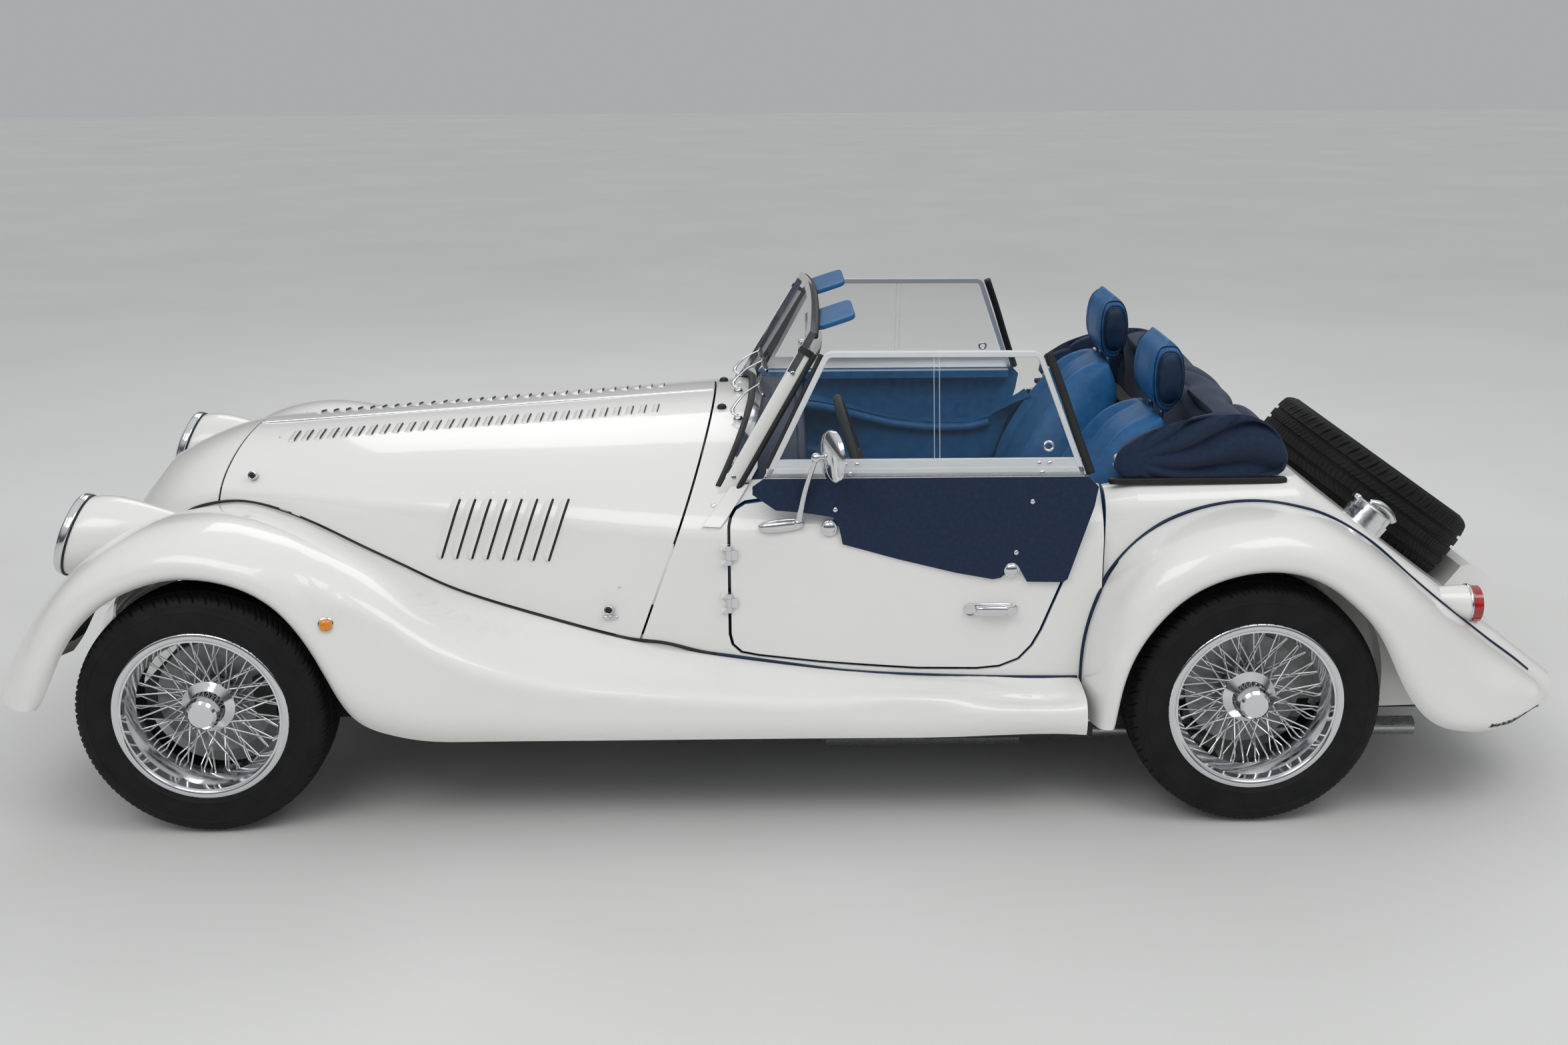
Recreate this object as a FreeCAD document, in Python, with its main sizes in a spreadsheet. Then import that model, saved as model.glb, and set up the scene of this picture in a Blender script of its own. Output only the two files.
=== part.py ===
# A two-seat roadster with an open cockpit, long louvred bonnet, swept wings and wire wheels.
# Frame: X runs to the rear, Y to the car's right, Z up. The origin is on the ground at the
# middle of the car's length and width. Stations are measured rearward from the front axle.
import FreeCAD, Part
import Sketcher
import math
import os
from types import SimpleNamespace

from FreeCAD import Placement, Rotation, Vector

X_AXIS = Vector(1, 0, 0)
Y_AXIS = Vector(0, 1, 0)
Z_AXIS = Vector(0, 0, 1)
ORIGIN = Vector(0, 0, 0)

# Driving dimensions in millimetres and degrees, one group for each assembly.
values = {
    # whole car
    "overall_length": 3830.0,
    "overall_width": 1650.0,
    "wheelbase": 2520.0,
    "front_overhang": 505.0,
    "half_track": 696.0,
    "panel_wall": 7.0,
    "panel_gap": 6.0,
    "seat_gap": 0.4,
    "overrun": 20.0,
    # wheels and tyres
    "tyre_radius": 304.0,
    "tyre_half_width": 98.0,
    "tread_half_width": 82.0,
    "tyre_wall": 12.0,
    "rim_radius": 207.0,
    "rim_half_width": 85.0,
    "rim_wall": 5.0,
    "flange_depth": 14.0,
    "bead_width": 22.0,
    "well_depth": 16.0,
    "well_half_width": 26.0,
    "well_slope": 14.0,
    "hub_radius": 44.0,
    "hub_reach": 34.0,
    "hub_flange_radius": 64.0,
    "hub_flange_wall": 12.0,
    "hub_flange_seat": 8.0,
    "hub_face": 58.0,
    "cap_radius": 36.0,
    "cap_height": 24.0,
    "cap_edge": 6.0,
    "spoke_radius": 2.1,
    "spoke_count": 36.0,
    "spoke_sweep": 26.0,
    "spoke_stagger": 3.2,
    "disc_radius": 142.0,
    "disc_wall": 20.0,
    "disc_inset": 52.0,
    "disc_hat_radius": 72.0,
    "spindle_radius": 24.0,
    "spare_lean": 35.0,
    "spare_station": 2985.0,
    "spare_height": 640.0,
    # steering and suspension
    "kingpin_inset": 84.0,
    "upright_length": 66.0,
    "upright_width": 34.0,
    "upright_height": 170.0,
    "arm_radius": 13.0,
    "arm_spread": 120.0,
    "arm_rise": 62.0,
    "arm_gap": 7.0,
    "rail_inset": 310.0,
    "rail_width": 46.0,
    "rail_height": 78.0,
    "rail_base": 115.0,
    "rail_front": 320.0,
    "axle_radius": 34.0,
    "axle_case_radius": 110.0,
    "caliper_length": 110.0,
    "caliper_height": 52.0,
    "caliper_width": 60.0,
    # body
    "arch_radius": 345.0,
    "seam_half_front": 335.0,
    "seam_half_rear": 625.0,
    "nose_height": 840.0,
    "scuttle_height": 922.0,
    "shoulder_front": 113.0,
    "shoulder_rear": 250.0,
    "front_seam_station": -20.0,
    "rear_seam_station": 1213.0,
    "front_seam_lean": 0.20,
    "rear_seam_lean": 0.36,
    "body_half_width": 668.0,
    "body_half_rear": 645.0,
    "body_base": 240.0,
    "hinge_gap": 1.5,
    "hinge_rod": 4.0,
    "door_front": 1264.0,
    "door_wall": 56.0,
    "door_gap": 7.5,
    "dash_station": 1440.0,
    "dash_wall": 18.0,
    "dash_base": 610.0,
    "cockpit_rear": 2160.0,
    "tail_half_width": 640.0,
    "tail_half_end": 600.0,
    "tail_round": 70.0,
    "deck_height": 816.0,
    "well_half_opening": 560.0,
    "floor_height": 165.0,
    "floor_wall": 28.0,
    "tub_half_width": 630.0,
    "sill_width": 42.0,
    "sill_height": 130.0,
    "tunnel_half_width": 115.0,
    "tunnel_height": 200.0,
    "bulkhead_station": 1190.0,
    "pad_half": 27.0,
    "pad_drop": 6.0,
    "pad_front_station": 1150.0,
    "pad_rear_station": 2080.0,
    "pad_inset": 600.0,
    "wheelhouse_radius": 352.0,
    "wheelhouse_inset": 572.0,
    "door_bottom_line": 420.0,
    # nose
    "grille_station": -248.0,
    "grille_top": 742.0,
    "grille_half_width": 148.0,
    "grille_depth": 130.0,
    "grille_base": 400.0,
    "grille_taper": 0.72,
    "grille_bulge": 42.0,
    "top_louvres": 29.0,
    "top_louvre_front": 0.111,
    "top_louvre_run": 0.773,
    "top_louvre_inner": 108.0,
    "top_louvre_outer": 188.0,
    "top_louvre_wide": 17.0,
    "top_louvre_rise": 5.0,
    "side_louvres": 8.0,
    "side_louvre_wide": 28.0,
    "side_louvre_rise": 8.0,
    "louvre_wall": 1.6,
    "louvre_toe": 0.12,
    "louvre_crest": 0.5,
    "louvre_brow": 0.7,
    "slat_count": 15.0,
    "slat_wall": 4.0,
    "slat_depth": 14.0,
    "slat_clearance": 4.0,
    "grille_rim": 8.0,
    "valance_half_width": 300.0,
    "valance_bow": 60.0,
    "lamp_station": -361.0,
    "lamp_half_spacing": 461.0,
    "lamp_height": 663.0,
    "lamp_radius": 102.0,
    "lamp_tilt": 20.0,
    "lamp_length": 290.0,
    "lamp_ring_lip": 3.0,
    "lamp_ring_depth": 16.0,
    "lamp_dome": 26.0,
    # tail, floor and running gear
    "spare_room": 12.0,
    "hood_rear": 2600.0,
    "floor_front": 1060.0,
    "rear_bulkhead": 2395.0,
    "rear_bulkhead_top": 800.0,
    "rail_rear": 3180.0,
    "engine_front": 180.0,
    "engine_length": 720.0,
    "engine_half_width": 200.0,
    "engine_base": 200.0,
    "engine_height": 480.0,
    # cockpit
    "dash_half_width": 590.0,
    "driver_offset": 345.0,
    "wheel_station": 1591.0,
    "wheel_height": 797.0,
    "wheel_lean": 19.0,
    "wheel_boss": 40.0,
    "column_radius": 20.0,
    "column_length": 560.0,
    "shaft_radius": 11.0,
    "shaft_engage": 90.0,
    "steer_radius": 178.0,
    "steer_grip": 12.0,
    "steer_boss_radius": 42.0,
    "steer_boss_depth": 28.0,
    "steer_spoke_width": 30.0,
    "steer_spoke_wall": 6.0,
    "seat_half_width": 215.0,
    "seat_round": 28.0,
    "headrest_half_width": 130.0,
    "seat_base_front": 1680.0,
    "seat_base_length": 380.0,
    "seat_base_top": 260.0,
    # screens and fittings
    "screen_station": 1325.0,
    "screen_sill": 925.0,
    "screen_lean": 30.5,
    "screen_lift": 2.0,
    "screen_foot": 566.0,
    "screen_top": 499.0,
    "screen_head": 1166.0,
    "screen_arch": 24.0,
    "screen_bar": 16.0,
    "screen_depth": 18.0,
    "stanchion_front": 1196.0,
    "stanchion_low": 722.0,
    "stanchion_rear": 1330.0,
    "stanchion_top": 880.0,
    "stanchion_width": 44.0,
    "stanchion_wall": 8.0,
    "glass_wall": 5.0,
    "side_top": 572.0,
    "side_head": 1136.0,
    "side_sill": 846.0,
    "side_tilt": 14.5,
    "side_wall": 16.0,
    "side_bar": 22.0,
    "side_divider": 1832.0,
    "side_glass_wall": 4.0,
    "side_panel_half": 672.0,
    "side_panel_wall": 5.0,
    "side_bridge_front": 1360.0,
    "side_bridge_length": 740.0,
    "handle_radius": 10.0,
    "handle_length": 132.0,
    "handle_stand": 34.0,
    "handle_station": 1825.0,
    "handle_height": 520.0,
    "mirror_station": 1400.0,
    "mirror_run": 70.0,
    "mirror_root": 12.0,
    "mirror_reach": 70.0,
    "mirror_low": 742.0,
    "mirror_high": 915.0,
    "mirror_arm": 7.0,
    "mirror_radius": 60.0,
    "mirror_depth": 24.0,
    "hinge_high": 657.0,
    "hinge_low": 536.0,
    "hinge_half": 24.0,
    "hinge_split": 0.5,
    "hinge_radius": 7.0,
    "hinge_stand": 8.0,
    "hinge_leaf": 20.0,
    # hood and tail details
    "hood_half_width": 606.0,
    "hood_round": 14.0,
    "hood_inner_half": 568.0,
    "hood_inner_rear": 2424.0,
    "deck_slope": 38.0,
    "filler_station": 2852.0,
    "filler_offset": 430.0,
    "filler_height": 650.0,
    "filler_radius": 58.0,
    "filler_rise": 36.0,
    "filler_lid": 18.0,
    "tail_lamp_station": 3096.0,
    "tail_lamp_length": 140.0,
    "tail_lamp_offset": 566.0,
    "tail_lamp_height": 486.0,
    "tail_lamp_radius": 48.0,
    "tail_lamp_lens": 20.0,
    "plinth_half_width": 160.0,
    "pipe_radius": 24.0,
    "pipe_wall": 3.0,
    "pipe_front": 1150.0,
    "pipe_rear": 3030.0,
    "pipe_offset": 450.0,
    "pipe_height": 112.0,
    "silencer_radius": 38.0,
    "silencer_length": 500.0,
    "silencer_front": 1500.0,
}

doc = FreeCAD.newDocument("roadster")
sheet = doc.addObject("Spreadsheet::Sheet", "Sizes")
for row, (alias, number) in enumerate(values.items(), start=1):
    sheet.set(f"A{row}", alias)
    sheet.set(f"B{row}", str(number))
    sheet.setAlias(f"B{row}", alias)
doc.recompute()


class Size(float):
    """A number that also carries the expression of sheet cells it comes from."""

    def __new__(cls, number, text):
        made = float.__new__(cls, number)
        made.text = text
        return made

    def joined(self, other, sign, number):
        words = other.text if isinstance(other, Size) else repr(float(other))
        return Size(number, f"({self.text} {sign} {words})")

    def __add__(self, other):
        return self.joined(other, "+", float(self) + float(other))

    def __sub__(self, other):
        return self.joined(other, "-", float(self) - float(other))

    def __mul__(self, other):
        return self.joined(other, "*", float(self) * float(other))

    def __truediv__(self, other):
        return self.joined(other, "/", float(self) / float(other))

    def __radd__(self, other):
        return self + other

    def __rmul__(self, other):
        return self * other

    def __rsub__(self, other):
        return (self * -1) + other

    def __neg__(self):
        return self * -1


d = SimpleNamespace(**{alias: Size(sheet.get(alias), f"Sizes.{alias}") for alias in values})
middle = d.overall_length / 2 - d.front_overhang
half_width = d.overall_width / 2
hub_height = d.tyre_radius


def station(measure):
    """X of a station measured rearward from the front axle."""
    return measure - middle


def bind(item, **links):
    """Bind properties of an object to sheet cells."""
    for name, size in links.items():
        path = name.replace("_", ".")
        if isinstance(size, Size):
            item.setExpression(path, size.text)
        else:
            item.setExpression(path, repr(float(size)))


def place(item, x=0, y=0, z=0):
    """Bind an object's place to sheet cells."""
    bind(item, Placement_Base_x=x, Placement_Base_y=y, Placement_Base_z=z)


def turned_to(direction):
    """Rotation that takes the Z axis to a direction."""
    return Rotation(Z_AXIS, Vector(direction))


def block(name, start, end):
    """A box between two corners given in sheet sizes."""
    item = doc.addObject("Part::Box", name)
    bind(item, Length=end[0] - start[0], Width=end[1] - start[1], Height=end[2] - start[2])
    place(item, *start)
    return item


def rod(name, radius, length, base, direction):
    """A round bar from a base point along a direction."""
    item = doc.addObject("Part::Cylinder", name)
    bind(item, Radius=radius, Height=length)
    item.Placement = Placement(ORIGIN, turned_to(direction))
    place(item, *base)
    return item


def join(name, members):
    item = doc.addObject("Part::MultiFuse", name)
    item.Shapes = list(members)
    return item


def take(name, base, tool):
    item = doc.addObject("Part::Cut", name)
    item.Base = base
    item.Tool = tool
    return item


def feature(name, shape):
    """An object whose shape is worked out from the sheet's sizes."""
    item = doc.addObject("Part::Feature", name)
    item.Shape = shape
    return item


nodes = []


def node(item, name):
    """Name an object as a piece of the car."""
    item.Label = name
    nodes.append(item)
    return item


def role(body, name):
    return next(plane for plane in body.Origin.OriginFeatures if plane.Role == name)


def outline_sketch(body, name, plane, corners):
    """A closed outline of straight lines whose corners are bound to sheet sizes."""
    sketch = body.newObject("Sketcher::SketchObject", name)
    sketch.AttachmentSupport = [(role(body, plane), "")]
    sketch.MapMode = "FlatFace"
    count = len(corners)
    for index, corner in enumerate(corners):
        follower = corners[(index + 1) % count]
        start = Vector(corner[0], corner[1], 0)
        end = Vector(follower[0], follower[1], 0)
        sketch.addGeometry(Part.LineSegment(start, end), False)
    for index in range(count):
        sketch.addConstraint(_joint(index, count))
    for index, corner in enumerate(corners):
        for kind, size in (("DistanceX", corner[0]), ("DistanceY", corner[1])):
            if float(size) == 0:
                link = "PointOnObject"
                axis = -2 if kind == "DistanceX" else -1
                sketch.addConstraint(_on_axis(index, axis))
                continue
            number = sketch.addConstraint(_reach(kind, index, size))
            if isinstance(size, Size):
                sketch.setExpression(f"Constraints[{number}]", size.text)
    return sketch


def _joint(index, count):
    return Sketcher.Constraint("Coincident", index, 2, (index + 1) % count, 1)


def _on_axis(index, axis):
    return Sketcher.Constraint("PointOnObject", index, 1, axis)


def _reach(kind, index, size):
    return Sketcher.Constraint(kind, -1, 1, index, 1, float(size))


def turned(name, corners, plane="XY_Plane", axis="V_Axis"):
    """A body turned from an outline whose corners are given in sheet sizes."""
    body = doc.addObject("PartDesign::Body", name)
    sketch = outline_sketch(body, name + "Outline", plane, corners)
    turn = body.newObject("PartDesign::Revolution", name + "Turn")
    turn.Profile = sketch
    turn.ReferenceAxis = (sketch, [axis])
    turn.Angle = 360
    return body


def padded(name, corners, length, plane="XZ_Plane", both=True):
    """A body extruded from an outline whose corners are given in sheet sizes."""
    body = doc.addObject("PartDesign::Body", name)
    sketch = outline_sketch(body, name + "Outline", plane, corners)
    pad = body.newObject("PartDesign::Pad", name + "Pad")
    pad.Profile = sketch
    bind(pad, Length=length)
    pad.Midplane = both
    return body


def spot(s, y, z):
    """A point from a station, a width and a height."""
    return Vector(station(s), y, z)


def line(start, end):
    return Part.LineSegment(start, end).toShape()


def curve(points):
    """A smooth edge through points."""
    spline = Part.BSplineCurve()
    spline.interpolate(list(points))
    return spline.toShape()


def solid_loft(wires, ruled=False):
    made = Part.makeLoft(wires, True, ruled)
    if made.Volume < 0:
        made.reverse()
    return made


def mirrored(shape):
    """The same shape on the other side of the car."""
    return shape.mirror(ORIGIN, Y_AXIS)


def slab(outline, near, far):
    """A side-view outline of station and height pairs, filled between two widths."""
    corners = [spot(s, near, z) for s, z in outline]
    face = Part.Face(Part.makePolygon(corners + corners[:1]))
    return face.extrude(Vector(0, far - near, 0))


def smooth_slab(outline, near, far):
    """As slab, with a smooth closed outline."""
    spline = Part.BSplineCurve()
    spline.interpolate([spot(s, near, z) for s, z in outline], True)
    face = Part.Face(Part.Wire([spline.toShape()]))
    return face.extrude(Vector(0, far - near, 0))


def box(start, end):
    """A plain box between two corners, for cuts."""
    lo = spot(*start)
    size = spot(*end) - lo
    return Part.makeBox(size.x, size.y, size.z, lo)


def table_value(rows, at):
    """Straight-line reading of a table of pairs."""
    if at <= rows[0][0]:
        return rows[0][1]
    for (a, va), (b, vb) in zip(rows, rows[1:]):
        if at <= b:
            return va + (vb - va) * (at - a) / (b - a)
    return rows[-1][1]


# main body envelope: bonnet, scuttle and cockpit sides in one run of sections
# Each row: share of the run from the front seam to the rear seam.
bonnet_run_shares = (0.0, 0.25, 0.5, 0.75, 1.0)
# Rows behind the rear seam: station share of the wheelbase, half-width share of the body.
cockpit_shares = ((0.5714, 0.998), (0.6746, 1.004), (0.7738, 0.998), (0.873, 0.972))


def envelope_section(top_station, lean, top, half, depth, base, grow=0.0):
    """Closed section in a leaning plane: flat base, straight sides and an elliptic roof."""
    def at(y, z):
        return spot(top_station - lean * (top - z), y, z)

    spring = top - depth
    half = half + grow
    depth = depth + grow
    roof = []
    steps = 8
    for index in range(2 * steps + 1):
        angle = math.pi * index / (2 * steps)
        roof.append(at(-half * math.cos(angle), spring + depth * math.sin(angle)))
    left = at(-half, base)
    right = at(half, base)
    edges = [line(left, roof[0]), curve(roof), line(roof[-1], right), line(right, left)]
    return Part.Wire(edges)


def envelope(grow=0.0):
    """Filled body from the front seam to the back of the cockpit, grown or shrunk."""
    wires = []
    for share in bonnet_run_shares:
        top_station = d.front_seam_station + share * (d.rear_seam_station - d.front_seam_station)
        lean = d.front_seam_lean + share * (d.rear_seam_lean - d.front_seam_lean)
        top = d.nose_height + share * (d.scuttle_height - d.nose_height)
        half = d.seam_half_front + share * (d.seam_half_rear - d.seam_half_front)
        depth = d.shoulder_front + share * (d.shoulder_rear - d.shoulder_front)
        section = (top_station, lean, top, half, depth, d.body_base - d.overrun)
        wires.append(envelope_section(*section, grow))
    for run, wide in cockpit_shares:
        section = (run * d.wheelbase, 0.0, d.scuttle_height, wide * d.body_half_width)
        wires.append(envelope_section(*section, d.shoulder_rear, d.body_base - d.overrun, grow))
    return solid_loft(wires)


def seam_slab(rows, lift, near, far, floor=0.0):
    """Everything under a seam line, for cutting panels along it."""
    points = [(s * d.wheelbase, z * d.scuttle_height + lift) for s, z in rows]
    outline = [(points[0][0], floor)] + points + [(points[-1][0], floor)]
    return slab(outline, near, far)


# Upper edge of the front wing where it meets the body: station and height shares.
wing_seam_shares = (
    (-0.1667, 0.4338), (-0.131, 0.5423), (-0.0952, 0.6508), (-0.0675, 0.7104), (-0.0464, 0.7473),
    (-0.0238, 0.7657), (-0.004, 0.7733), (0.0234, 0.769), (0.05, 0.7505), (0.0825, 0.7213),
    (0.1151, 0.6866), (0.1472, 0.6508), (0.1702, 0.6258), (0.1968, 0.5933), (0.229, 0.5629),
    (0.2639, 0.5369), (0.304, 0.5152), (0.3437, 0.4946), (0.3829, 0.474), (0.4063, 0.4664),
    (0.4353, 0.462), (0.4734, 0.4393), (0.5115, 0.4273), (0.5544, 0.41), (0.6258, 0.3894),
    (0.6817, 0.3796), (0.7377, 0.372), (0.8492, 0.3633),
)

full = envelope()
inner = envelope(-d.panel_wall)


def lean_slab(top_station, lean, top, forward):
    """Half-space in front of or behind a leaning seam plane, as a wide wedge."""
    reach = d.overall_length
    far = top_station - reach if forward else top_station + reach
    high = top + d.scuttle_height
    upper = top_station + lean * (high - top)
    lower = top_station - lean * top
    outline = [(upper, high), (far, high), (far, 0.0), (lower, 0.0)]
    return slab(outline, -d.overall_width, d.overall_width)


front_plane = (d.front_seam_station, d.front_seam_lean, d.nose_height)
rear_plane = (d.rear_seam_station, d.rear_seam_lean, d.scuttle_height)
seam_cut = seam_slab(wing_seam_shares, d.panel_gap, -d.overall_width, d.overall_width)

def skin_width(s, z):
    """Half width of the body's skin at a station and height."""
    probe = line(spot(s, -d.overall_width, z), spot(s, 0.0, z)).common(full)
    return -probe.BoundBox.YMin


# bonnet lids
bonnet_skin = full.cut(inner)
lids = bonnet_skin.cut(lean_slab(*front_plane, True)).cut(lean_slab(*rear_plane, False)).cut(seam_cut)
left_side = slab(
    [(-d.overall_length, 0.0), (d.overall_length, 0.0),
     (d.overall_length, d.overall_length), (-d.overall_length, d.overall_length)],
    -d.overall_width, -d.hinge_gap)
bonnet_left = lids.common(left_side)

# wings
# Section rows: pivot station and height, angle of the plane from the front horizontal, then
# (reach, width) pairs from the seam over the crown and down to the lip. Reach is measured from
# the pivot as a share of the arch radius, and width as a share of the car's half width.
front_round_shares = (
    (4, (1.2928, 0.4848), (1.4029, 0.6061), (1.4667, 0.7491), (1.4203, 0.8727), (1.2696, 0.96), (1.1594, 0.977), (1.1014, 0.96)),
    (14, (1.229, 0.4), (1.3391, 0.5697), (1.3971, 0.7636), (1.3507, 0.8921), (1.2116, 0.9685), (1.1072, 0.9818), (1.0261, 0.96)),
    (28, (1.1826, 0.3273), (1.287, 0.5333), (1.3449, 0.7733), (1.287, 0.9042), (1.171, 0.9733), (1.0783, 0.9842), (1.0029, 0.9588)),
    (44, (1.1536, 0.2727), (1.258, 0.5212), (1.313, 0.7758), (1.2667, 0.9091), (1.1594, 0.9745), (1.0754, 0.9842), (1, 0.9576)),
    (60, (1.1478, 0.3152), (1.2522, 0.5455), (1.3101, 0.7758), (1.2609, 0.9115), (1.1594, 0.9745), (1.0754, 0.9842), (1, 0.9576)),
    (75, (1.1536, 0.3636), (1.2522, 0.5697), (1.3101, 0.7758), (1.258, 0.9127), (1.1594, 0.9745), (1.0754, 0.9842), (1, 0.9576)),
    (90, (1.1797, 0.3939), (1.2638, 0.5939), (1.3101, 0.7782), (1.258, 0.9139), (1.1565, 0.9745), (1.0754, 0.9855), (1.0029, 0.9576)),
)
# Upright sections behind the wheel: station, then (height, width) pairs, heights as shares of
# the scuttle height.
front_run_shares = (
    (0.0397, (0.7592, 0.4267), (0.7918, 0.6182), (0.8102, 0.8024), (0.7831, 0.9261), (0.744, 0.977), (0.7158, 0.9867), (0.6876, 0.9588)),
    (0.0794, (0.7256, 0.4582), (0.7625, 0.6485), (0.7809, 0.8267), (0.7505, 0.9358), (0.7007, 0.9782), (0.6551, 0.9879), (0.6258, 0.9612)),
    (0.1151, (0.6876, 0.4873), (0.7234, 0.6788), (0.7408, 0.8461), (0.7072, 0.943), (0.6291, 0.9794), (0.5228, 0.9879), (0.4837, 0.9636)),
    (0.1468, (0.6529, 0.5139), (0.6833, 0.703), (0.6941, 0.863), (0.6594, 0.9479), (0.5423, 0.9794), (0.3579, 0.9879), (0.3254, 0.9648)),
    (0.1786, (0.6182, 0.5406), (0.6399, 0.7273), (0.6399, 0.8727), (0.6074, 0.9503), (0.4881, 0.9794), (0.3124, 0.9879), (0.282, 0.9661)),
    (0.2143, (0.577, 0.5697), (0.5857, 0.7515), (0.5662, 0.8824), (0.5336, 0.9527), (0.4447, 0.9794), (0.295, 0.9879), (0.2636, 0.9673)),
    (0.2619, (0.5401, 0.6061), (0.5315, 0.7758), (0.4989, 0.8897), (0.4685, 0.9539), (0.4056, 0.9782), (0.2907, 0.9842), (0.2614, 0.9685)),
    (0.3254, (0.5054, 0.6606), (0.4816, 0.8048), (0.4425, 0.897), (0.4187, 0.9552), (0.3753, 0.9745), (0.2885, 0.9794), (0.2614, 0.9685)),
    (0.3968, (0.4707, 0.7212), (0.4469, 0.8315), (0.4121, 0.9018), (0.3926, 0.9552), (0.3579, 0.9721), (0.2874, 0.977), (0.2614, 0.9685)),
    (0.4762, (0.4393, 0.7636), (0.4208, 0.8485), (0.3948, 0.9067), (0.3774, 0.9552), (0.3482, 0.9721), (0.2874, 0.977), (0.2614, 0.9685)),
    (0.5952, (0.3991, 0.7758), (0.3948, 0.8558), (0.3807, 0.9115), (0.3666, 0.9552), (0.3416, 0.9721), (0.2874, 0.977), (0.2614, 0.9685)),
    (0.7222, (0.3753, 0.7758), (0.3753, 0.8558), (0.3666, 0.9139), (0.3557, 0.9552), (0.3341, 0.9721), (0.2863, 0.977), (0.2625, 0.9685)),
    (0.8381, (0.3655, 0.7758), (0.3655, 0.8558), (0.3601, 0.9152), (0.3503, 0.9552), (0.3297, 0.9721), (0.2863, 0.977), (0.2636, 0.9685)),
)
# Rear wing rows: pivot station and height in shares of wheelbase and tyre radius, plane angle
# from the rear horizontal, then pairs as for the front wing.
rear_round_shares = (
    (187, (1.1681, 0.7709), (1.1594, 0.8364), (1.142, 0.8994), (1.113, 0.9503), (1.0725, 0.9782), (1.0319, 0.9855), (0.9971, 0.9709)),
    (176, (1.171, 0.7661), (1.1594, 0.8388), (1.1333, 0.9067), (1.0957, 0.9576), (1.0435, 0.9867), (1.0029, 0.9927), (0.9652, 0.9745)),
    (160, (1.2203, 0.7636), (1.2058, 0.8412), (1.1739, 0.9139), (1.1217, 0.9648), (1.058, 0.9927), (1.0058, 0.9988), (0.9594, 0.9758)),
    (140, (1.3072, 0.7612), (1.287, 0.8436), (1.2464, 0.9188), (1.171, 0.9709), (1.0899, 0.9952), (1.0203, 1), (0.9652, 0.977)),
    (118, (1.371, 0.7612), (1.3449, 0.8448), (1.2986, 0.9212), (1.2174, 0.9733), (1.1246, 0.9964), (1.0464, 1), (0.9884, 0.977)),
    (95, (1.3681, 0.7612), (1.3478, 0.8448), (1.3043, 0.9212), (1.2261, 0.9733), (1.1333, 0.9964), (1.0551, 1), (1, 0.977)),
    (72, (1.3594, 0.7612), (1.3391, 0.8448), (1.2957, 0.9212), (1.2203, 0.9733), (1.1275, 0.9964), (1.0522, 1), (0.9971, 0.977)),
    (52, (1.3536, 0.76), (1.3304, 0.8436), (1.2754, 0.9188), (1.1826, 0.9721), (1.0841, 0.9952), (1.0145, 1), (0.9623, 0.977)),
)
# Rows behind the rear wheel run between a lip point and a seam point: lip station and height,
# seam station and height, then (share of the way from lip to seam, width) pairs.
rear_tail_shares = (
    (1.1131, 0.5098, 1.1659, 0.6095, ((1.0, 0.7576), (0.96, 0.8412), (0.83, 0.9164), (0.58, 0.9709), (0.32, 0.9939), (0.13, 0.9988), (0.0, 0.977))),
    (1.1321, 0.4078, 1.2008, 0.5315, ((1.0, 0.7515), (0.95, 0.8364), (0.82, 0.9115), (0.58, 0.9661), (0.32, 0.9915), (0.11, 0.9964), (0.0, 0.9758))),
    (1.1591, 0.3069, 1.2254, 0.4794, ((1.0, 0.7442), (0.95, 0.8291), (0.82, 0.9042), (0.58, 0.9588), (0.32, 0.9842), (0.10, 0.9903), (0.0, 0.9709))),
    (1.196, 0.2603, 1.2444, 0.4393, ((1.0, 0.737), (0.95, 0.8194), (0.82, 0.8921), (0.58, 0.9455), (0.32, 0.9709), (0.10, 0.977), (0.0, 0.96))),
    (1.2262, 0.2538, 1.2603, 0.4078, ((1.0, 0.7321), (0.95, 0.8097), (0.82, 0.8776), (0.58, 0.9261), (0.32, 0.9491), (0.10, 0.9552), (0.0, 0.9406))),
    (1.254, 0.2711, 1.2754, 0.3774, ((1.0, 0.7273), (0.95, 0.7976), (0.82, 0.8558), (0.58, 0.897), (0.32, 0.9164), (0.10, 0.9212), (0.0, 0.9091))),
    (1.2802, 0.2907, 1.2905, 0.3449, ((1.0, 0.7273), (0.95, 0.783), (0.82, 0.8267), (0.58, 0.8558), (0.32, 0.8679), (0.10, 0.8715), (0.0, 0.863))),
)


def thin_section(points, inward):
    """Closed wall section: a smooth outer line and the same line stepped inward."""
    def frame(index):
        before = points[max(index - 1, 0)]
        after = points[min(index + 1, len(points) - 1)]
        along = Vector(after) - Vector(before)
        along.normalize()
        return along

    normal = inward.cross(frame(0))
    inside = []
    for index, point in enumerate(points):
        step = frame(index).cross(inward)
        step.normalize()
        inside.append(Vector(point) + step * d.panel_wall)
    edges = [
        curve(points),
        line(points[-1], inside[-1]),
        curve(inside[::-1]),
        line(inside[0], points[0]),
    ]
    return Part.Wire(edges)


def round_points(row, pivot_station, turn):
    """Points of one radial section, on the car's left."""
    angle = math.radians(row[0])
    points = []
    for reach, wide in row[1:]:
        away = reach * d.arch_radius
        along = turn * away * math.cos(angle)
        points.append(spot(pivot_station + along, -wide * half_width, hub_height + away * math.sin(angle)))
    return points


def upright_points(row):
    return [spot(row[0] * d.wheelbase, -wide * half_width, high * d.scuttle_height) for high, wide in row[1:]]


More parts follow.
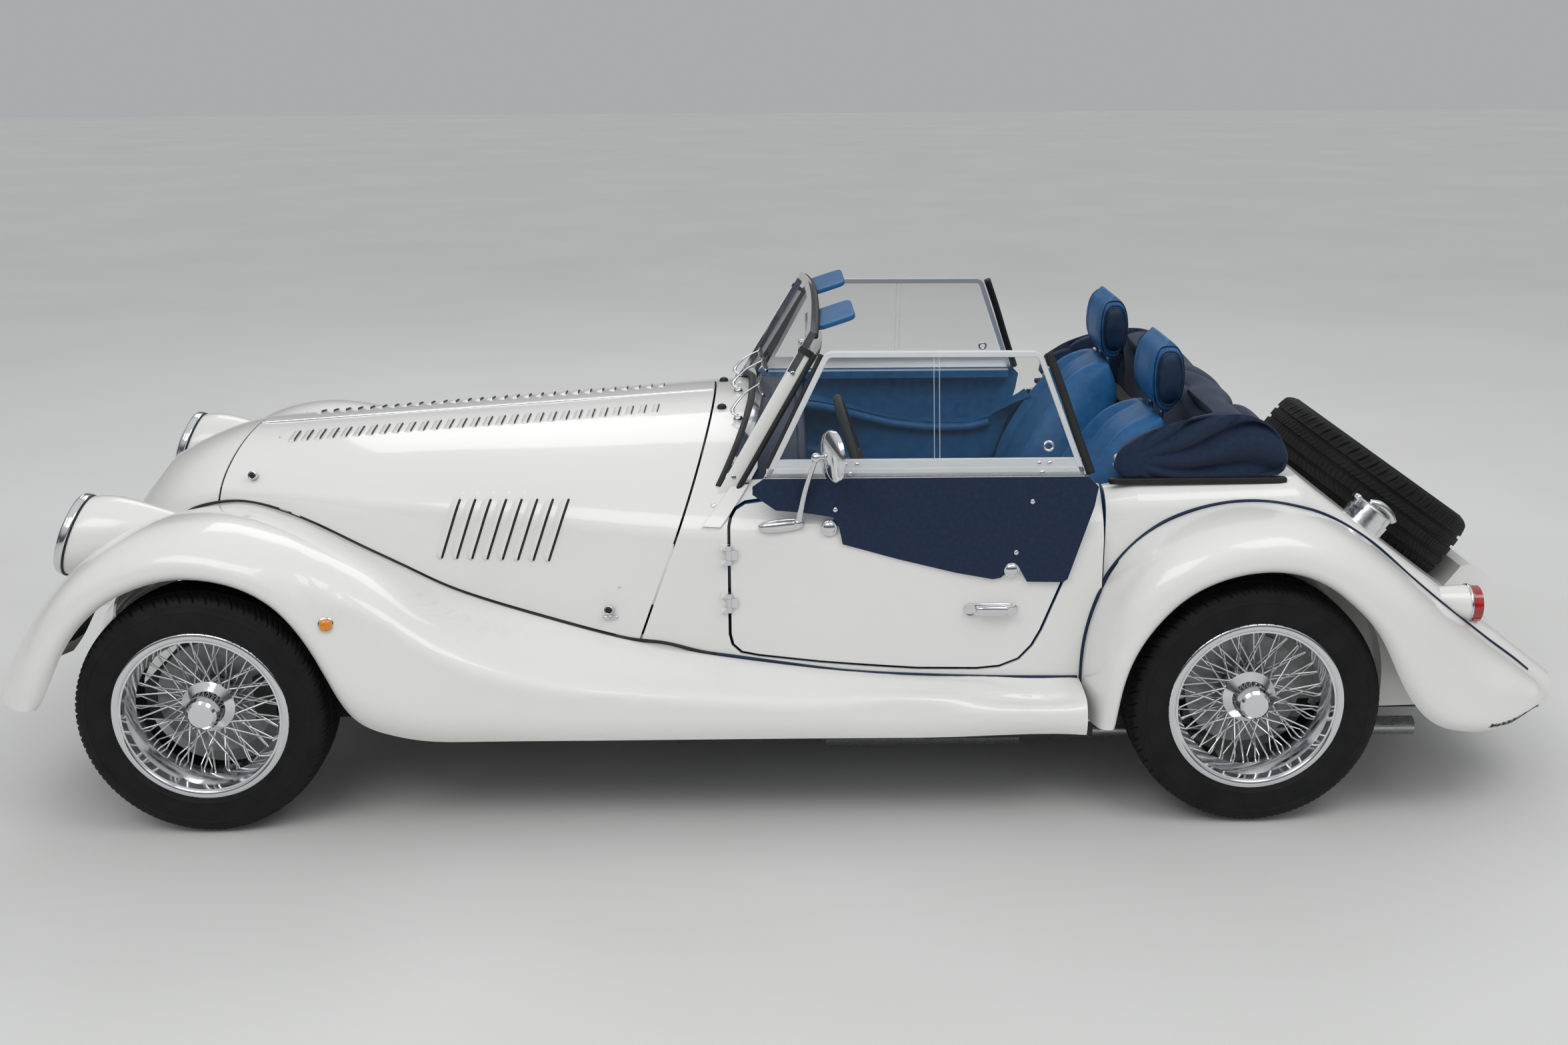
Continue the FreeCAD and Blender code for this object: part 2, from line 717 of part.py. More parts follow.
def tail_points(row):
    lip_s, lip_z, seam_s, seam_z, pairs = row
    points = []
    for share, wide in pairs:
        s = (lip_s + share * (seam_s - lip_s)) * d.wheelbase
        z = (lip_z + share * (seam_z - lip_z)) * d.scuttle_height
        points.append(spot(s, -wide * half_width, z))
    return points


def section_normal(points):
    """Normal of a section's plane, on the side the sections run towards."""
    flat = Vector(points[2]) - Vector(points[0])
    rise = Vector(points[2]) - Vector(points[-1])
    normal = flat.cross(rise)
    normal.normalize()
    return normal


def wing_shell(rows):
    return solid_loft([thin_section(points, section_normal(points)) for points in rows])


def wing_fill(rows):
    """The wing's outer surface closed straight from lip to seam."""
    return solid_loft([Part.Wire([curve(points), line(points[-1], points[0])]) for points in rows])


front_rows = [round_points(row, 0.0, -1) for row in front_round_shares]
front_rows += [upright_points(row) for row in front_run_shares]
rear_rows = [round_points(row, d.wheelbase, 1) for row in rear_round_shares]
rear_rows += [tail_points(row) for row in rear_tail_shares]

# nose cowl, grille and front valance
# Cowl sections from the bonnet seam to the grille: top station and height, lean, half width,
# arch depth and lower edge, as shares of the wheelbase, scuttle height and front seam width.
cowl_shares = (
    (-0.0103, 0.9089, 0.20, 0.995, 0.337, 0.6941),
    (-0.0421, 0.8905, 0.25, 0.93, 0.37, 0.6074),
    (-0.0698, 0.8623, 0.34, 0.80, 0.42, 0.4989),
    (-0.0897, 0.8351, 0.46, 0.64, 0.46, 0.4295),
    (-0.0984, 0.821, 0.55, 0.52, 0.46, 0.4121),
)
grille_shares = {"half": 0.47, "depth": 0.42, "drop": 0.03, "bulge": 0.13}


def cowl_fill(grow=0.0):
    wires = []
    for top_station, top, lean, half, depth, base in cowl_shares:
        size = d.seam_half_front
        wires.append(envelope_section(
            top_station * d.wheelbase, lean, top * d.scuttle_height,
            half * size, depth * size, base * d.scuttle_height, grow))
    return solid_loft(wires)


cowl_full = cowl_fill()
cowl_inner = cowl_fill(-d.panel_wall)
# Behind its front face the cowl is hollow, and its open sides stop above the wings.
behind_face = lean_slab(cowl_shares[-1][0] * d.wheelbase + d.panel_wall, cowl_shares[-1][2],
                        cowl_shares[-1][1] * d.scuttle_height, False)
nose_cowl = cowl_full.cut(cowl_inner.common(behind_face))
nose_cowl = nose_cowl.cut(seam_slab(wing_seam_shares, -d.panel_gap * 3, -d.overall_width, d.overall_width).common(behind_face))
front_fill = wing_fill(front_rows)
rear_fill = wing_fill(rear_rows)
front_wing = wing_shell(front_rows)
rear_wing = wing_shell(rear_rows)
body_grown = envelope(d.seat_gap)
cowl_grown = cowl_fill(d.seat_gap)
for solid in (body_grown, cowl_grown):
    front_wing = front_wing.cut(solid)
lid_clear = front_fill.translated(Vector(0, 0, d.panel_gap))
bonnet_left = max(bonnet_left.cut(lid_clear).Solids, key=lambda solid: solid.Volume)


# louvres: pressed blades that rise to the rear, open behind on the bonnet sides
# Rows of (share of the slot's length, share of the blade's width, share of its height).
blade_shares = ((0.0, 0.30, 0.10), (0.10, 1.0, 1.0), (0.90, 1.0, 1.0), (1.0, 0.30, 0.10))


def blade(start, end, ahead, wide, high, sink, trim):
    """Blade over a slot from start to end, its low edge ahead; trim draws it in for the hollow."""
    along = end - start
    outward = along.cross(ahead)
    if outward.z - outward.y < 0:
        outward = outward * -1
    outward.normalize()
    ahead = outward.cross(along)
    if ahead.x > 0:
        ahead = ahead * -1
    ahead.normalize()
    step = Vector(along)
    step.normalize()
    wires = []
    for run, width_share, rise_share in blade_shares:
        base = start + along * run + step * (trim * (1 - 2 * run))
        far = max(wide * width_share - trim * 2, trim)
        rise = max(high * rise_share - trim, trim / 4)
        behind = ahead * (-trim / 2)
        corners = [
            base + ahead * far - outward * sink,
            base + ahead * far + outward * (rise * d.louvre_toe),
            base + ahead * (far * d.louvre_crest) + outward * (rise * d.louvre_brow),
            base + behind + outward * rise,
            base + behind - outward * sink,
        ]
        wires.append(Part.makePolygon(corners + corners[:1]))
    return solid_loft(wires, True)


def roof_point(share, y):
    """Point on the bonnet's roof at a share of its run and a width."""
    top = d.nose_height + share * (d.scuttle_height - d.nose_height)
    half = d.seam_half_front + share * (d.seam_half_rear - d.seam_half_front)
    depth = d.shoulder_front + share * (d.shoulder_rear - d.shoulder_front)
    lean = d.front_seam_lean + share * (d.rear_seam_lean - d.front_seam_lean)
    drop = depth * (1 - math.sqrt(1 - (y / half) ** 2))
    top_station = d.front_seam_station + share * (d.rear_seam_station - d.front_seam_station)
    return spot(top_station - lean * drop, y, top - drop)


def skin_point(s, z):
    return spot(s, -skin_width(s, z), z)


slots = []
top_blades = []
for index in range(int(d.top_louvres)):
    share = d.top_louvre_front + index * d.top_louvre_run / (d.top_louvres - 1)
    start = roof_point(share, -d.top_louvre_inner)
    end = roof_point(share, -d.top_louvre_outer)
    ahead = roof_point(share - d.top_louvre_wide / d.wheelbase, -d.top_louvre_inner) - start
    top_blades.append((start, end, ahead, d.top_louvre_wide, d.top_louvre_rise))
side_louvre_shares = ((0.2389, 0.8297, 0.2119, 0.6508), (0.3472, 0.8438, 0.3222, 0.6659))
for index in range(int(d.side_louvres)):
    share = index / (d.side_louvres - 1)
    first, last = side_louvre_shares
    high_s, high_z, low_s, low_z = [a + (b - a) * share for a, b in zip(first, last)]
    start = skin_point(low_s * d.wheelbase, low_z * d.scuttle_height)
    end = skin_point(high_s * d.wheelbase, high_z * d.scuttle_height)
    ahead = skin_point(high_s * d.wheelbase - d.side_louvre_wide, high_z * d.scuttle_height) - end
    slots.append((start, end, ahead, d.side_louvre_wide, d.side_louvre_rise))
bonnet_left = bonnet_left.multiFuse([blade(*slot, d.panel_wall / 2, 0.0) for slot in top_blades + slots])
bonnet_left = bonnet_left.cut([blade(*slot, d.panel_wall * 3, d.louvre_wall) for slot in slots])
# A round rod on the bonnet's ridge is the hinge of both lids.
ridge_end = roof_point(1.0, 0.0)
ridge = ridge_end - roof_point(0.0, 0.0)
hinge_rod = Part.makeCylinder(d.hinge_rod, ridge.Length - d.panel_gap, roof_point(0.0, 0.0) + ridge * (d.panel_gap / 2 / ridge.Length), ridge)
rod_room = Part.makeCylinder(d.hinge_rod + d.seat_gap, ridge.Length * 1.1, roof_point(0.0, 0.0) - ridge * 0.05, ridge)
bonnet_left = bonnet_left.cut(rod_room)
bonnet_left = max(bonnet_left.Solids, key=lambda solid: solid.Volume)
node(feature("BonnetHinge", hinge_rod), "bonnet_hinge")
node(feature("BonnetLeft", bonnet_left), "bonnet_left")
node(feature("BonnetRight", mirrored(bonnet_left)), "bonnet_right")
node(feature("FrontWingLeft", front_wing), "front_wing_left")

# grille: an arched surround with upright bowed slats
def grille_point(y, z, bulge):
    top = d.grille_top
    lean = cowl_shares[-1][2]
    half = d.grille_half_width
    away = 1 - (y / half) ** 2
    return spot(d.grille_station - lean * (top - z) - bulge * away, y, z)


def grille_arch(inset, setback):
    """Closed arch outline in the cowl's front plane."""
    lean = cowl_shares[-1][2]
    half = d.grille_half_width - inset
    depth = d.grille_depth - inset
    bottom = d.grille_base + inset

    def at(y, z):
        return spot(d.grille_station - lean * (d.grille_top - z) + setback, y, z)

    spring = d.grille_top - d.grille_depth
    top = []
    steps = 6
    for index in range(2 * steps + 1):
        angle = math.pi * index / (2 * steps)
        top.append(at(-half * math.cos(angle), spring + depth * math.sin(angle)))
    base_half = half * d.grille_taper
    left = at(-base_half, bottom)
    right = at(base_half, bottom)
    return Part.Wire([line(left, top[0]), curve(top), line(top[-1], right), line(right, left)])


grille_opening = solid_loft([grille_arch(0.0, side * d.well_half_opening) for side in (-1, 1)], True)
nose_cowl = nose_cowl.cut(grille_opening)
nose_cowl = max(nose_cowl.Solids, key=lambda solid: solid.Volume)
node(feature("NoseCowl", nose_cowl), "nose_cowl")

slats = []
slat_count = int(d.slat_count)
for index in range(slat_count):
    share = 2 * (index + 0.5) / slat_count - 1
    y_top = share * d.grille_half_width
    room = math.sqrt(max(0.0, 1 - share ** 2))
    top = d.grille_top - d.grille_depth + d.grille_depth * room - d.slat_clearance
    low = d.grille_base + d.slat_clearance
    y_low = y_top * d.grille_taper
    front = d.slat_depth / 2
    upper = grille_point(y_top, top, d.grille_bulge * 0)
    lower = grille_point(y_low, low, d.grille_bulge * 0)
    mid = grille_point((y_top + y_low) / 2, (top + low) / 2, d.grille_bulge)
    wire = Part.Wire([Part.Arc(upper, mid, lower).toShape()])
    half = d.slat_wall / 2
    corner = [
        upper + Vector(-front, -half, 0), upper + Vector(front, -half, 0),
        upper + Vector(front, half, 0), upper + Vector(-front, half, 0)]
    profile = Part.Wire(Part.makePolygon(corner + corner[:1]).Edges)
    slats.append(wire.makePipeShell([profile], True, False))
surround = solid_loft([grille_arch(d.seat_gap, side * d.grille_rim) for side in (-1, 1)], True).cut(
    solid_loft([grille_arch(d.grille_rim, side * d.grille_rim * 2) for side in (-1, 1)], True))
grille = surround.multiFuse(slats)
node(feature("Grille", grille), "grille")

# front valance under the grille
valance_shares = ((-0.169, 0.4252), (-0.1738, 0.4056), (-0.1817, 0.3818), (-0.1857, 0.3525), (-0.1841, 0.3167), (-0.1754, 0.2842))
outer = [(s * d.wheelbase, z * d.scuttle_height) for s, z in valance_shares]


def valance_section(y):
    pull = d.valance_bow * (y / d.valance_half_width) ** 2
    return [spot(s + pull, y, z) for s, z in outer]


def valance_wire(y):
    points = valance_section(y)
    inside = [Vector(p.x + d.panel_wall, p.y, p.z) for p in points]
    return Part.Wire([curve(points), line(points[-1], inside[-1]), curve(inside[::-1]), line(inside[0], points[0])])


valance = solid_loft([valance_wire(d.valance_half_width * share) for share in (-1.0, -0.5, 0.0, 0.5, 1.0)])
valance = valance.cut(front_fill).cut(mirrored(front_fill)).cut(cowl_grown)
node(feature("FrontValance", valance), "front_valance")

# headlamps: tapering pods with a ring and lens
def ring_wire(centre, radius, tilt):
    axis = Vector(-math.cos(math.radians(tilt)), 0, math.sin(math.radians(tilt)))
    return Part.Wire([Part.Circle(centre, axis, radius).toShape()])


pod_shares = ((0.0, 1.0, 1.0, 0.0), (0.30, 0.93, 0.45, 0.01), (0.62, 0.66, 0.0, 0.03), (1.0, 0.22, 0.0, 0.06))
lamp_y = -d.lamp_half_spacing
pod_wires = []
for run, size, tilt, rise in pod_shares:
    centre = spot(d.lamp_station + run * d.lamp_length, lamp_y, d.lamp_height + rise * d.lamp_length)
    pod_wires.append(ring_wire(centre, d.lamp_radius * size, d.lamp_tilt * tilt))
pod = solid_loft(pod_wires).cut(front_fill).cut(front_wing).cut(cowl_grown)
pod = max(pod.Solids, key=lambda solid: solid.Volume)
node(feature("HeadlampPods", Part.Compound([pod, mirrored(pod)])), "headlamp_pods")

lamp_axis = Vector(-math.cos(math.radians(d.lamp_tilt)), 0, math.sin(math.radians(d.lamp_tilt)))
lamp_face = spot(d.lamp_station, lamp_y, d.lamp_height) + lamp_axis * d.seat_gap
ring_outer = Part.makeCylinder(d.lamp_radius + d.lamp_ring_lip, d.lamp_ring_depth, ORIGIN, Z_AXIS)
dome_radius = (d.lamp_radius ** 2 + d.lamp_dome ** 2) / (2 * d.lamp_dome)
dome = Part.makeSphere(dome_radius, Vector(0, 0, d.lamp_ring_depth + d.lamp_dome - dome_radius))
above = Part.makeBox(2 * dome_radius, 2 * dome_radius, dome_radius * 2,
                     Vector(-dome_radius, -dome_radius, d.lamp_ring_depth))
lens = ring_outer.fuse(dome.common(above).common(Part.makeCylinder(d.lamp_radius, 2 * dome_radius)))
lens.Placement = Placement(lamp_face, turned_to(lamp_axis))
node(feature("HeadlampLenses", Part.Compound([lens, mirrored(lens)])), "headlamp_lenses")

# body shell behind the bonnet: scuttle, sills and cockpit sides
door_outline_shares = (
    (0.5016, 0.4935), (0.5016, 0.7831), (0.5032, 0.8026), (0.5071, 0.82), (0.5159, 0.833), (0.5448, 0.8438), (0.5754, 0.8503),
    (0.5952, 0.8449), (0.619, 0.8221), (0.6508, 0.7918), (0.6849, 0.7636), (0.7179, 0.7495),
    (0.754, 0.743), (0.7877, 0.7462), (0.8095, 0.7657), (0.8294, 0.808), (0.8452, 0.8482), (0.85, 0.8677),
    (0.8353, 0.7831), (0.8167, 0.6345), (0.798, 0.5033), (0.7897, 0.461), (0.7778, 0.4252), (0.7599, 0.4056), (0.7381, 0.4002),
    (0.6806, 0.4035), (0.5881, 0.423), (0.5278, 0.4393), (0.5119, 0.4469), (0.504, 0.4664),
)


def door_outline(gap=0.0):
    """Door outline, stepped outward by a gap about its middle."""
    points = [(s * d.wheelbase, z * d.scuttle_height) for s, z in door_outline_shares]
    if gap == 0:
        return points
    face = slab(points, 0, 1)
    edge = Part.Wire(face.Faces[0].Edges)
    flat = Part.Face(Part.makePolygon([spot(s, 0, z) for s, z in points + points[:1]]))
    grown = flat.makeOffset2D(gap)
    return grown


door_prism = slab(door_outline(), -d.overall_width, -d.body_half_width / 2)
grown_face = door_outline(d.door_gap)
door_gap_prism = Part.Face(grown_face.Wires[0]).extrude(Vector(0, -d.overall_width, 0))
door_inner = envelope(-d.door_wall)
door_skin = full.cut(door_inner)
door_left = door_skin.common(door_prism)
# The shell ends at the dash above the door line and runs on below it to the tail.
body_shell = bonnet_skin.cut(lean_slab(rear_plane[0] + d.panel_gap, rear_plane[1], rear_plane[2], True))
rear_edge = [(s * d.wheelbase, z * d.scuttle_height) for s, z in door_outline_shares[17:22]]
behind_dash = slab(
    [(d.dash_station, d.door_bottom_line), (d.dash_station, d.overall_length), (d.overall_length, d.overall_length),
     (d.overall_length, rear_edge[0][1])] + rear_edge, -half_width, half_width)
body_shell = body_shell.cut(behind_dash)
body_shell = body_shell.cut(box((d.cockpit_rear, -half_width, 0.0), (d.overall_length, half_width, d.overall_length)))
lower = seam_slab(wing_seam_shares, -d.overrun, -half_width, half_width)
body_shell = body_shell.cut(lower)
for prism in (door_gap_prism, mirrored(door_gap_prism)):
    body_shell = body_shell.cut(prism)

# tail: tapered shell with a sloping deck, wheelhouses and a pan for the spare wheel
tail_side_shares = ((0.8595, 0.2169), (0.8595, 0.8677), (0.8889, 0.8807), (1.0476, 0.8894), (1.3183, 0.3254), (1.3119, 0.2668))
tail_plan_shares = ((0.8571, 1.0), (1.0476, 1.0), (1.3214, 0.0))


def tail_plan(inset):
    """Upright prism on the tail's plan outline, drawn in by an inset."""
    ends = [d.tail_half_end + share * (d.tail_half_width - d.tail_half_end) - inset for _, share in tail_plan_shares]
    spots = [share * d.wheelbase for share, _ in tail_plan_shares]
    corners = [Vector(station(s), y, 0) for s, y in zip(spots, ends)]
    corners[0].x -= d.overrun
    corners[-1].x += d.overrun
    corners += [Vector(p.x, -p.y, 0) for p in corners[::-1]]
    return Part.Face(Part.makePolygon(corners + corners[:1])).extrude(Vector(0, 0, d.overall_length / 2))


def tail_block(inset):
    """Tail filled solid, its outline drawn in by an inset."""
    points = [(s * d.wheelbase, z * d.scuttle_height) for s, z in tail_side_shares]
    slope = math.atan2(points[3][1] - points[4][1], points[4][0] - points[3][0])
    lift = inset * math.tan(slope / 2)
    outline = [
        (points[0][0] - inset, points[0][1]),
        (points[1][0] - inset, points[1][1] - inset),
        (points[2][0], points[2][1] - inset),
        (points[3][0] - lift, points[3][1] - inset),
        (points[4][0] - inset, points[4][1] - inset * math.tan(slope)),
        (points[5][0] - inset, points[5][1]),
        (points[5][0] - inset, points[0][1]),
    ]
    side = slab(outline, -half_width, half_width)
    body = side.common(tail_plan(inset))
    chosen = []
    for edge in body.Edges:
        ends = [v.Point for v in edge.Vertexes]
        if len(ends) < 2:
            continue
        middle_point = (ends[0] + ends[1]) / 2
        high = min(p.z for p in ends) > d.body_base + d.panel_wall * 2
        crosswise = abs(ends[0].y - ends[1].y) > d.tail_half_width
        upright = abs(ends[0].z - ends[1].z) > d.tail_half_width / 2 and abs(ends[0].x - ends[1].x) < d.overrun
        at_front = middle_point.x < station(d.cockpit_rear + d.overrun)
        if high and not crosswise and not at_front and not upright:
            chosen.append(edge)
    body = body.makeFillet(d.tail_round - inset, chosen)
    return body


tail_full = tail_block(0.0)
tail_inner = tail_block(d.panel_wall)
hub_rear = spot(d.wheelbase, 0, hub_height)


def wheelhouse(radius, inset):
    """Filled wheel space on the left, from an inset width outward."""
    start = Vector(hub_rear.x, -inset, hub_rear.z)
    drum = Part.makeCylinder(radius, half_width, start, -Y_AXIS)
    below = Part.makeBox(2 * radius, half_width, hub_rear.z, Vector(hub_rear.x - radius, -inset - half_width, 0))
    return drum.fuse(below)


house_space = wheelhouse(d.wheelhouse_radius, d.wheelhouse_inset)
house_wall = wheelhouse(d.wheelhouse_radius + d.panel_wall, d.wheelhouse_inset - d.panel_wall)
spare_axis = Vector(math.sin(math.radians(d.spare_lean)), 0, math.cos(math.radians(d.spare_lean)))
spare_centre = spot(d.spare_station, 0, d.spare_height)
pan_radius = d.tyre_radius + d.spare_room
pan_low = spare_centre - spare_axis * (d.tyre_half_width + d.seat_gap)
pan_space = Part.makeCylinder(pan_radius, d.overall_width, pan_low, spare_axis)
pan_wall = Part.makeCylinder(pan_radius + d.panel_wall, d.overall_width, pan_low - spare_axis * d.panel_wall, spare_axis)

tail = tail_full.cut(tail_inner)
tail = tail.fuse(pan_wall.common(tail_full))
for house in (house_wall, mirrored(house_wall)):
    tail = tail.fuse(house.common(tail_full))
tail = tail.cut(pan_space)
for house in (house_space, mirrored(house_space)):
    tail = tail.cut(house)
tail = tail.cut(box((d.cockpit_rear - d.overrun, -d.well_half_opening, d.door_bottom_line),
                    (d.hood_rear, d.well_half_opening, d.overall_length)))
tail = tail.cut(box((d.cockpit_rear - d.overrun, -half_width, 0.0), (d.overall_length, half_width, d.body_base)))
axle_slot = d.axle_radius + d.overrun
tail = tail.cut(Part.makeCylinder(axle_slot, d.overall_width, Vector(hub_rear.x, -half_width, hub_rear.z), Y_AXIS))
tail = tail.cut(box((d.wheelbase - axle_slot, -half_width, 0.0), (d.wheelbase + axle_slot, half_width, hub_height)))
tail = tail.removeSplitter()
front_trim = box((0.0, -half_width, 0.0), (d.cockpit_rear + d.seat_gap, half_width, d.overall_length))
tail = tail.cut(front_trim).cut(mirrored(door_gap_prism)).cut(door_gap_prism)
node(feature("TailBody", tail), "tail_body")

# The rear wing's inner edge follows the tail's side.
rear_wing = rear_wing.cut(tail_plan(-2 * d.seat_gap)).cut(body_grown)
rear_wing = max(rear_wing.Solids, key=lambda solid: solid.Volume)
node(feature("RearWingLeft", rear_wing), "rear_wing_left")
node(feature("RearWingRight", mirrored(rear_wing)), "rear_wing_right")
node(feature("FrontWingRight", mirrored(front_wing)), "front_wing_right")

# chassis and floor
floor_top = d.floor_height + d.floor_wall
floor_parts = [
    box((d.floor_front, -d.tub_half_width, d.floor_height), (d.cockpit_rear, d.tub_half_width, floor_top)),
    box((d.cockpit_rear, -d.wheelhouse_inset + d.panel_wall * 2, d.floor_height),
        (d.rear_bulkhead, d.wheelhouse_inset - d.panel_wall * 2, floor_top)),
    box((d.floor_front + d.overrun, -d.tunnel_half_width, d.floor_height),
        (d.rear_bulkhead, d.tunnel_half_width, floor_top + d.tunnel_height)),
    box((d.rear_bulkhead, -d.wheelhouse_inset + d.panel_wall * 2, d.floor_height),
        (d.rear_bulkhead + d.panel_wall, d.wheelhouse_inset - d.panel_wall * 2, d.rear_bulkhead_top)),
]
for side in (-1, 1):
    y_far = side * d.tub_half_width
    y_near = side * (d.tub_half_width - d.sill_width)
    floor_parts.append(box((d.floor_front, min(y_far, y_near), d.floor_height),
                           (d.cockpit_rear, max(y_far, y_near), d.floor_height + d.sill_height)))
    for pad in (d.pad_front_station, d.pad_rear_station):
        floor_parts.append(box((pad - d.pad_half, side * d.pad_inset - d.pad_half, d.floor_height - d.pad_drop),
                               (pad + d.pad_half, side * d.pad_inset + d.pad_half, floor_top)))
rails = []
rail_room = []
for side in (-1, 1):
    for spare_gap, found in ((0.0, rails), (d.seat_gap, rail_room)):
        rail_in = side * (d.rail_inset - d.rail_width / 2 - spare_gap)
        rail_out = side * (d.rail_inset + d.rail_width / 2 + spare_gap)
        found.append(box((-d.rail_front, min(rail_in, rail_out), d.rail_base),
                         (d.rail_rear, max(rail_in, rail_out), d.rail_base + d.rail_height + spare_gap)))
for s in (-d.rail_front, d.rail_rear - d.rail_width):
    rails.append(box((s, -d.rail_inset, d.rail_base + d.panel_wall),
                     (s + d.rail_width, d.rail_inset, d.rail_base + d.rail_height - d.panel_wall)))
node(feature("ChassisFrame", rails[0].multiFuse(rails[1:]).removeSplitter()), "chassis_frame")
bulkhead = envelope(-d.panel_wall - d.seat_gap).common(
    box((d.bulkhead_station, -half_width, floor_top - d.panel_wall), (d.bulkhead_station + d.panel_wall, half_width, d.overall_length)))
column_axis = Vector(-math.cos(math.radians(d.wheel_lean)), 0, -math.sin(math.radians(d.wheel_lean)))
wheel_centre = spot(d.wheel_station, -d.driver_offset, d.wheel_height)
column_start = wheel_centre + column_axis * d.wheel_boss
column_space = Part.makeCylinder(d.column_radius + d.panel_wall, d.column_length, column_start, column_axis)
floor_tub = floor_parts[0].multiFuse(floor_parts[1:]).cut([column_space] + rail_room).removeSplitter()
firewall = bulkhead.cut(floor_tub).cut([column_space] + rail_room)
firewall = max(firewall.Solids, key=lambda solid: solid.Volume)
node(feature("FloorTub", floor_tub), "floor_tub")
node(feature("Firewall", firewall), "firewall")

engine = box((d.engine_front, -d.engine_half_width, d.engine_base),
             (d.engine_front + d.engine_length, d.engine_half_width, d.engine_base + d.engine_height))
mounts = [
    box((d.engine_front + d.engine_length / 2 - d.rail_width, -d.rail_inset + d.rail_width / 2 + d.seat_gap, d.rail_base + d.panel_wall * 2),
        (d.engine_front + d.engine_length / 2 + d.rail_width, d.rail_inset - d.rail_width / 2 - d.seat_gap, d.engine_base + d.panel_wall * 4))]
engine = engine.multiFuse(mounts).removeSplitter()
node(feature("EngineBlock", engine), "engine_block")

# dashboard
dash_shape = envelope(-d.panel_wall - d.seat_gap).common(
    box((d.dash_station - d.dash_wall, -half_width, d.dash_base), (d.dash_station, half_width, d.overall_length)))
for prism in (door_gap_prism, mirrored(door_gap_prism)):
    dash_shape = dash_shape.cut(prism)
dash_shape = dash_shape.common(box((0.0, -d.dash_half_width, 0.0), (d.overall_length, d.dash_half_width, d.overall_length)))
dash_shape = dash_shape.cut(column_space)
node(feature("Dashboard", dash_shape), "dashboard")

column = Part.makeCylinder(d.column_radius, d.column_length, column_start, column_axis)
column = column.cut(Part.makeCylinder(d.shaft_radius + d.seat_gap, d.column_length, column_start, column_axis))
column_clip = box((d.dash_station - d.dash_wall - d.column_radius * 3, -d.driver_offset - d.column_radius / 2, d.dash_base),
                  (d.dash_station - d.dash_wall - d.seat_gap, -d.driver_offset + d.column_radius / 2, d.wheel_height))
column = column.fuse(column_clip.common(envelope(-d.panel_wall * 2))).cut(
    Part.makeCylinder(d.shaft_radius + d.seat_gap, d.column_length, column_start, column_axis))
node(feature("SteeringColumn", column), "steering_column")

rim = Part.makeTorus(d.steer_radius, d.steer_grip, ORIGIN, Z_AXIS)
boss = Part.makeCylinder(d.steer_boss_radius, d.steer_boss_depth, Vector(0, 0, -d.steer_boss_depth / 2), Z_AXIS)
steer_parts = [boss]
for turn in (90, 210, 330):
    arm = Part.makeBox(d.steer_radius, d.steer_spoke_width, d.steer_spoke_wall,
                       Vector(0, -d.steer_spoke_width / 2, -d.steer_spoke_wall / 2))
    arm.rotate(ORIGIN, Z_AXIS, turn)
    steer_parts.append(arm)
shaft = Part.makeCylinder(d.shaft_radius, d.wheel_boss + d.shaft_engage, ORIGIN, -Z_AXIS)
steer = rim.multiFuse(steer_parts + [shaft])
steer.Placement = Placement(wheel_centre, turned_to(-column_axis))
node(feature("SteeringWheel", steer), "steering_wheel")

# seats
seat_shares = (
    (0.6567, 0.2603), (0.6444, 0.3579), (0.6508, 0.461), (0.6746, 0.4935), (0.7341, 0.4664), (0.7778, 0.4772),
    (0.7976, 0.5748), (0.8175, 0.6941), (0.8452, 0.7918), (0.873, 0.8894), (0.8976, 0.9924),
    (0.9127, 1.0282), (0.9333, 1.0195), (0.9468, 0.9544), (0.9325, 0.8134), (0.9087, 0.6508), (0.881, 0.4881), (0.8532, 0.3525), (0.8254, 0.2798),
    (0.7857, 0.2603), (0.746, 0.256), (0.7063, 0.2538), (0.6786, 0.2516))
headrest_shares = (
    (0.9087, 1.0325), (0.9032, 1.0954), (0.9048, 1.1768), (0.9143, 1.2223), (0.9274, 1.2343), (0.9421, 1.2213),
    (0.9524, 1.1735), (0.9548, 1.0846), (0.9476, 1.026), (0.9294, 0.9978))


def drawn_in(outline, inset):
    """Closed outline stepped inward along its own normals."""
    count = len(outline)
    area = sum(outline[i - 1][0] * outline[i][1] - outline[i][0] * outline[i - 1][1] for i in range(count))
    turn = 1 if area > 0 else -1
    moved = []
    for index, (s, z) in enumerate(outline):
        before = outline[index - 1]
        after = outline[(index + 1) % count]
        run = math.hypot(after[0] - before[0], after[1] - before[1])
        moved.append((s - turn * inset * (after[1] - before[1]) / run, z + turn * inset * (after[0] - before[0]) / run))
    return moved


# Rounding of a cushion's ends: share of the radius inward from the end, and drawn-in share.
cushion_round_shares = ((0.0, 1.0), (0.12, 0.52), (0.42, 0.16), (1.0, 0.0))


def cushion(outline, near, far, radius):
    """A smooth side-view outline filled between two widths, with rounded ends."""
    def rim_at(y, inset):
        spline = Part.BSplineCurve()
        spline.buildFromPoles([spot(s, y, z) for s, z in drawn_in(outline, inset)], True, 3)
        return Part.Wire([spline.toShape()])

    left = solid_loft([rim_at(near + away * radius, drawn * radius) for away, drawn in cushion_round_shares])
    right = solid_loft([rim_at(far - away * radius, drawn * radius) for away, drawn in cushion_round_shares])
    core = solid_loft([rim_at(near + radius, 0.0), rim_at(far - radius, 0.0)], True)
    return core.multiFuse([left, right])


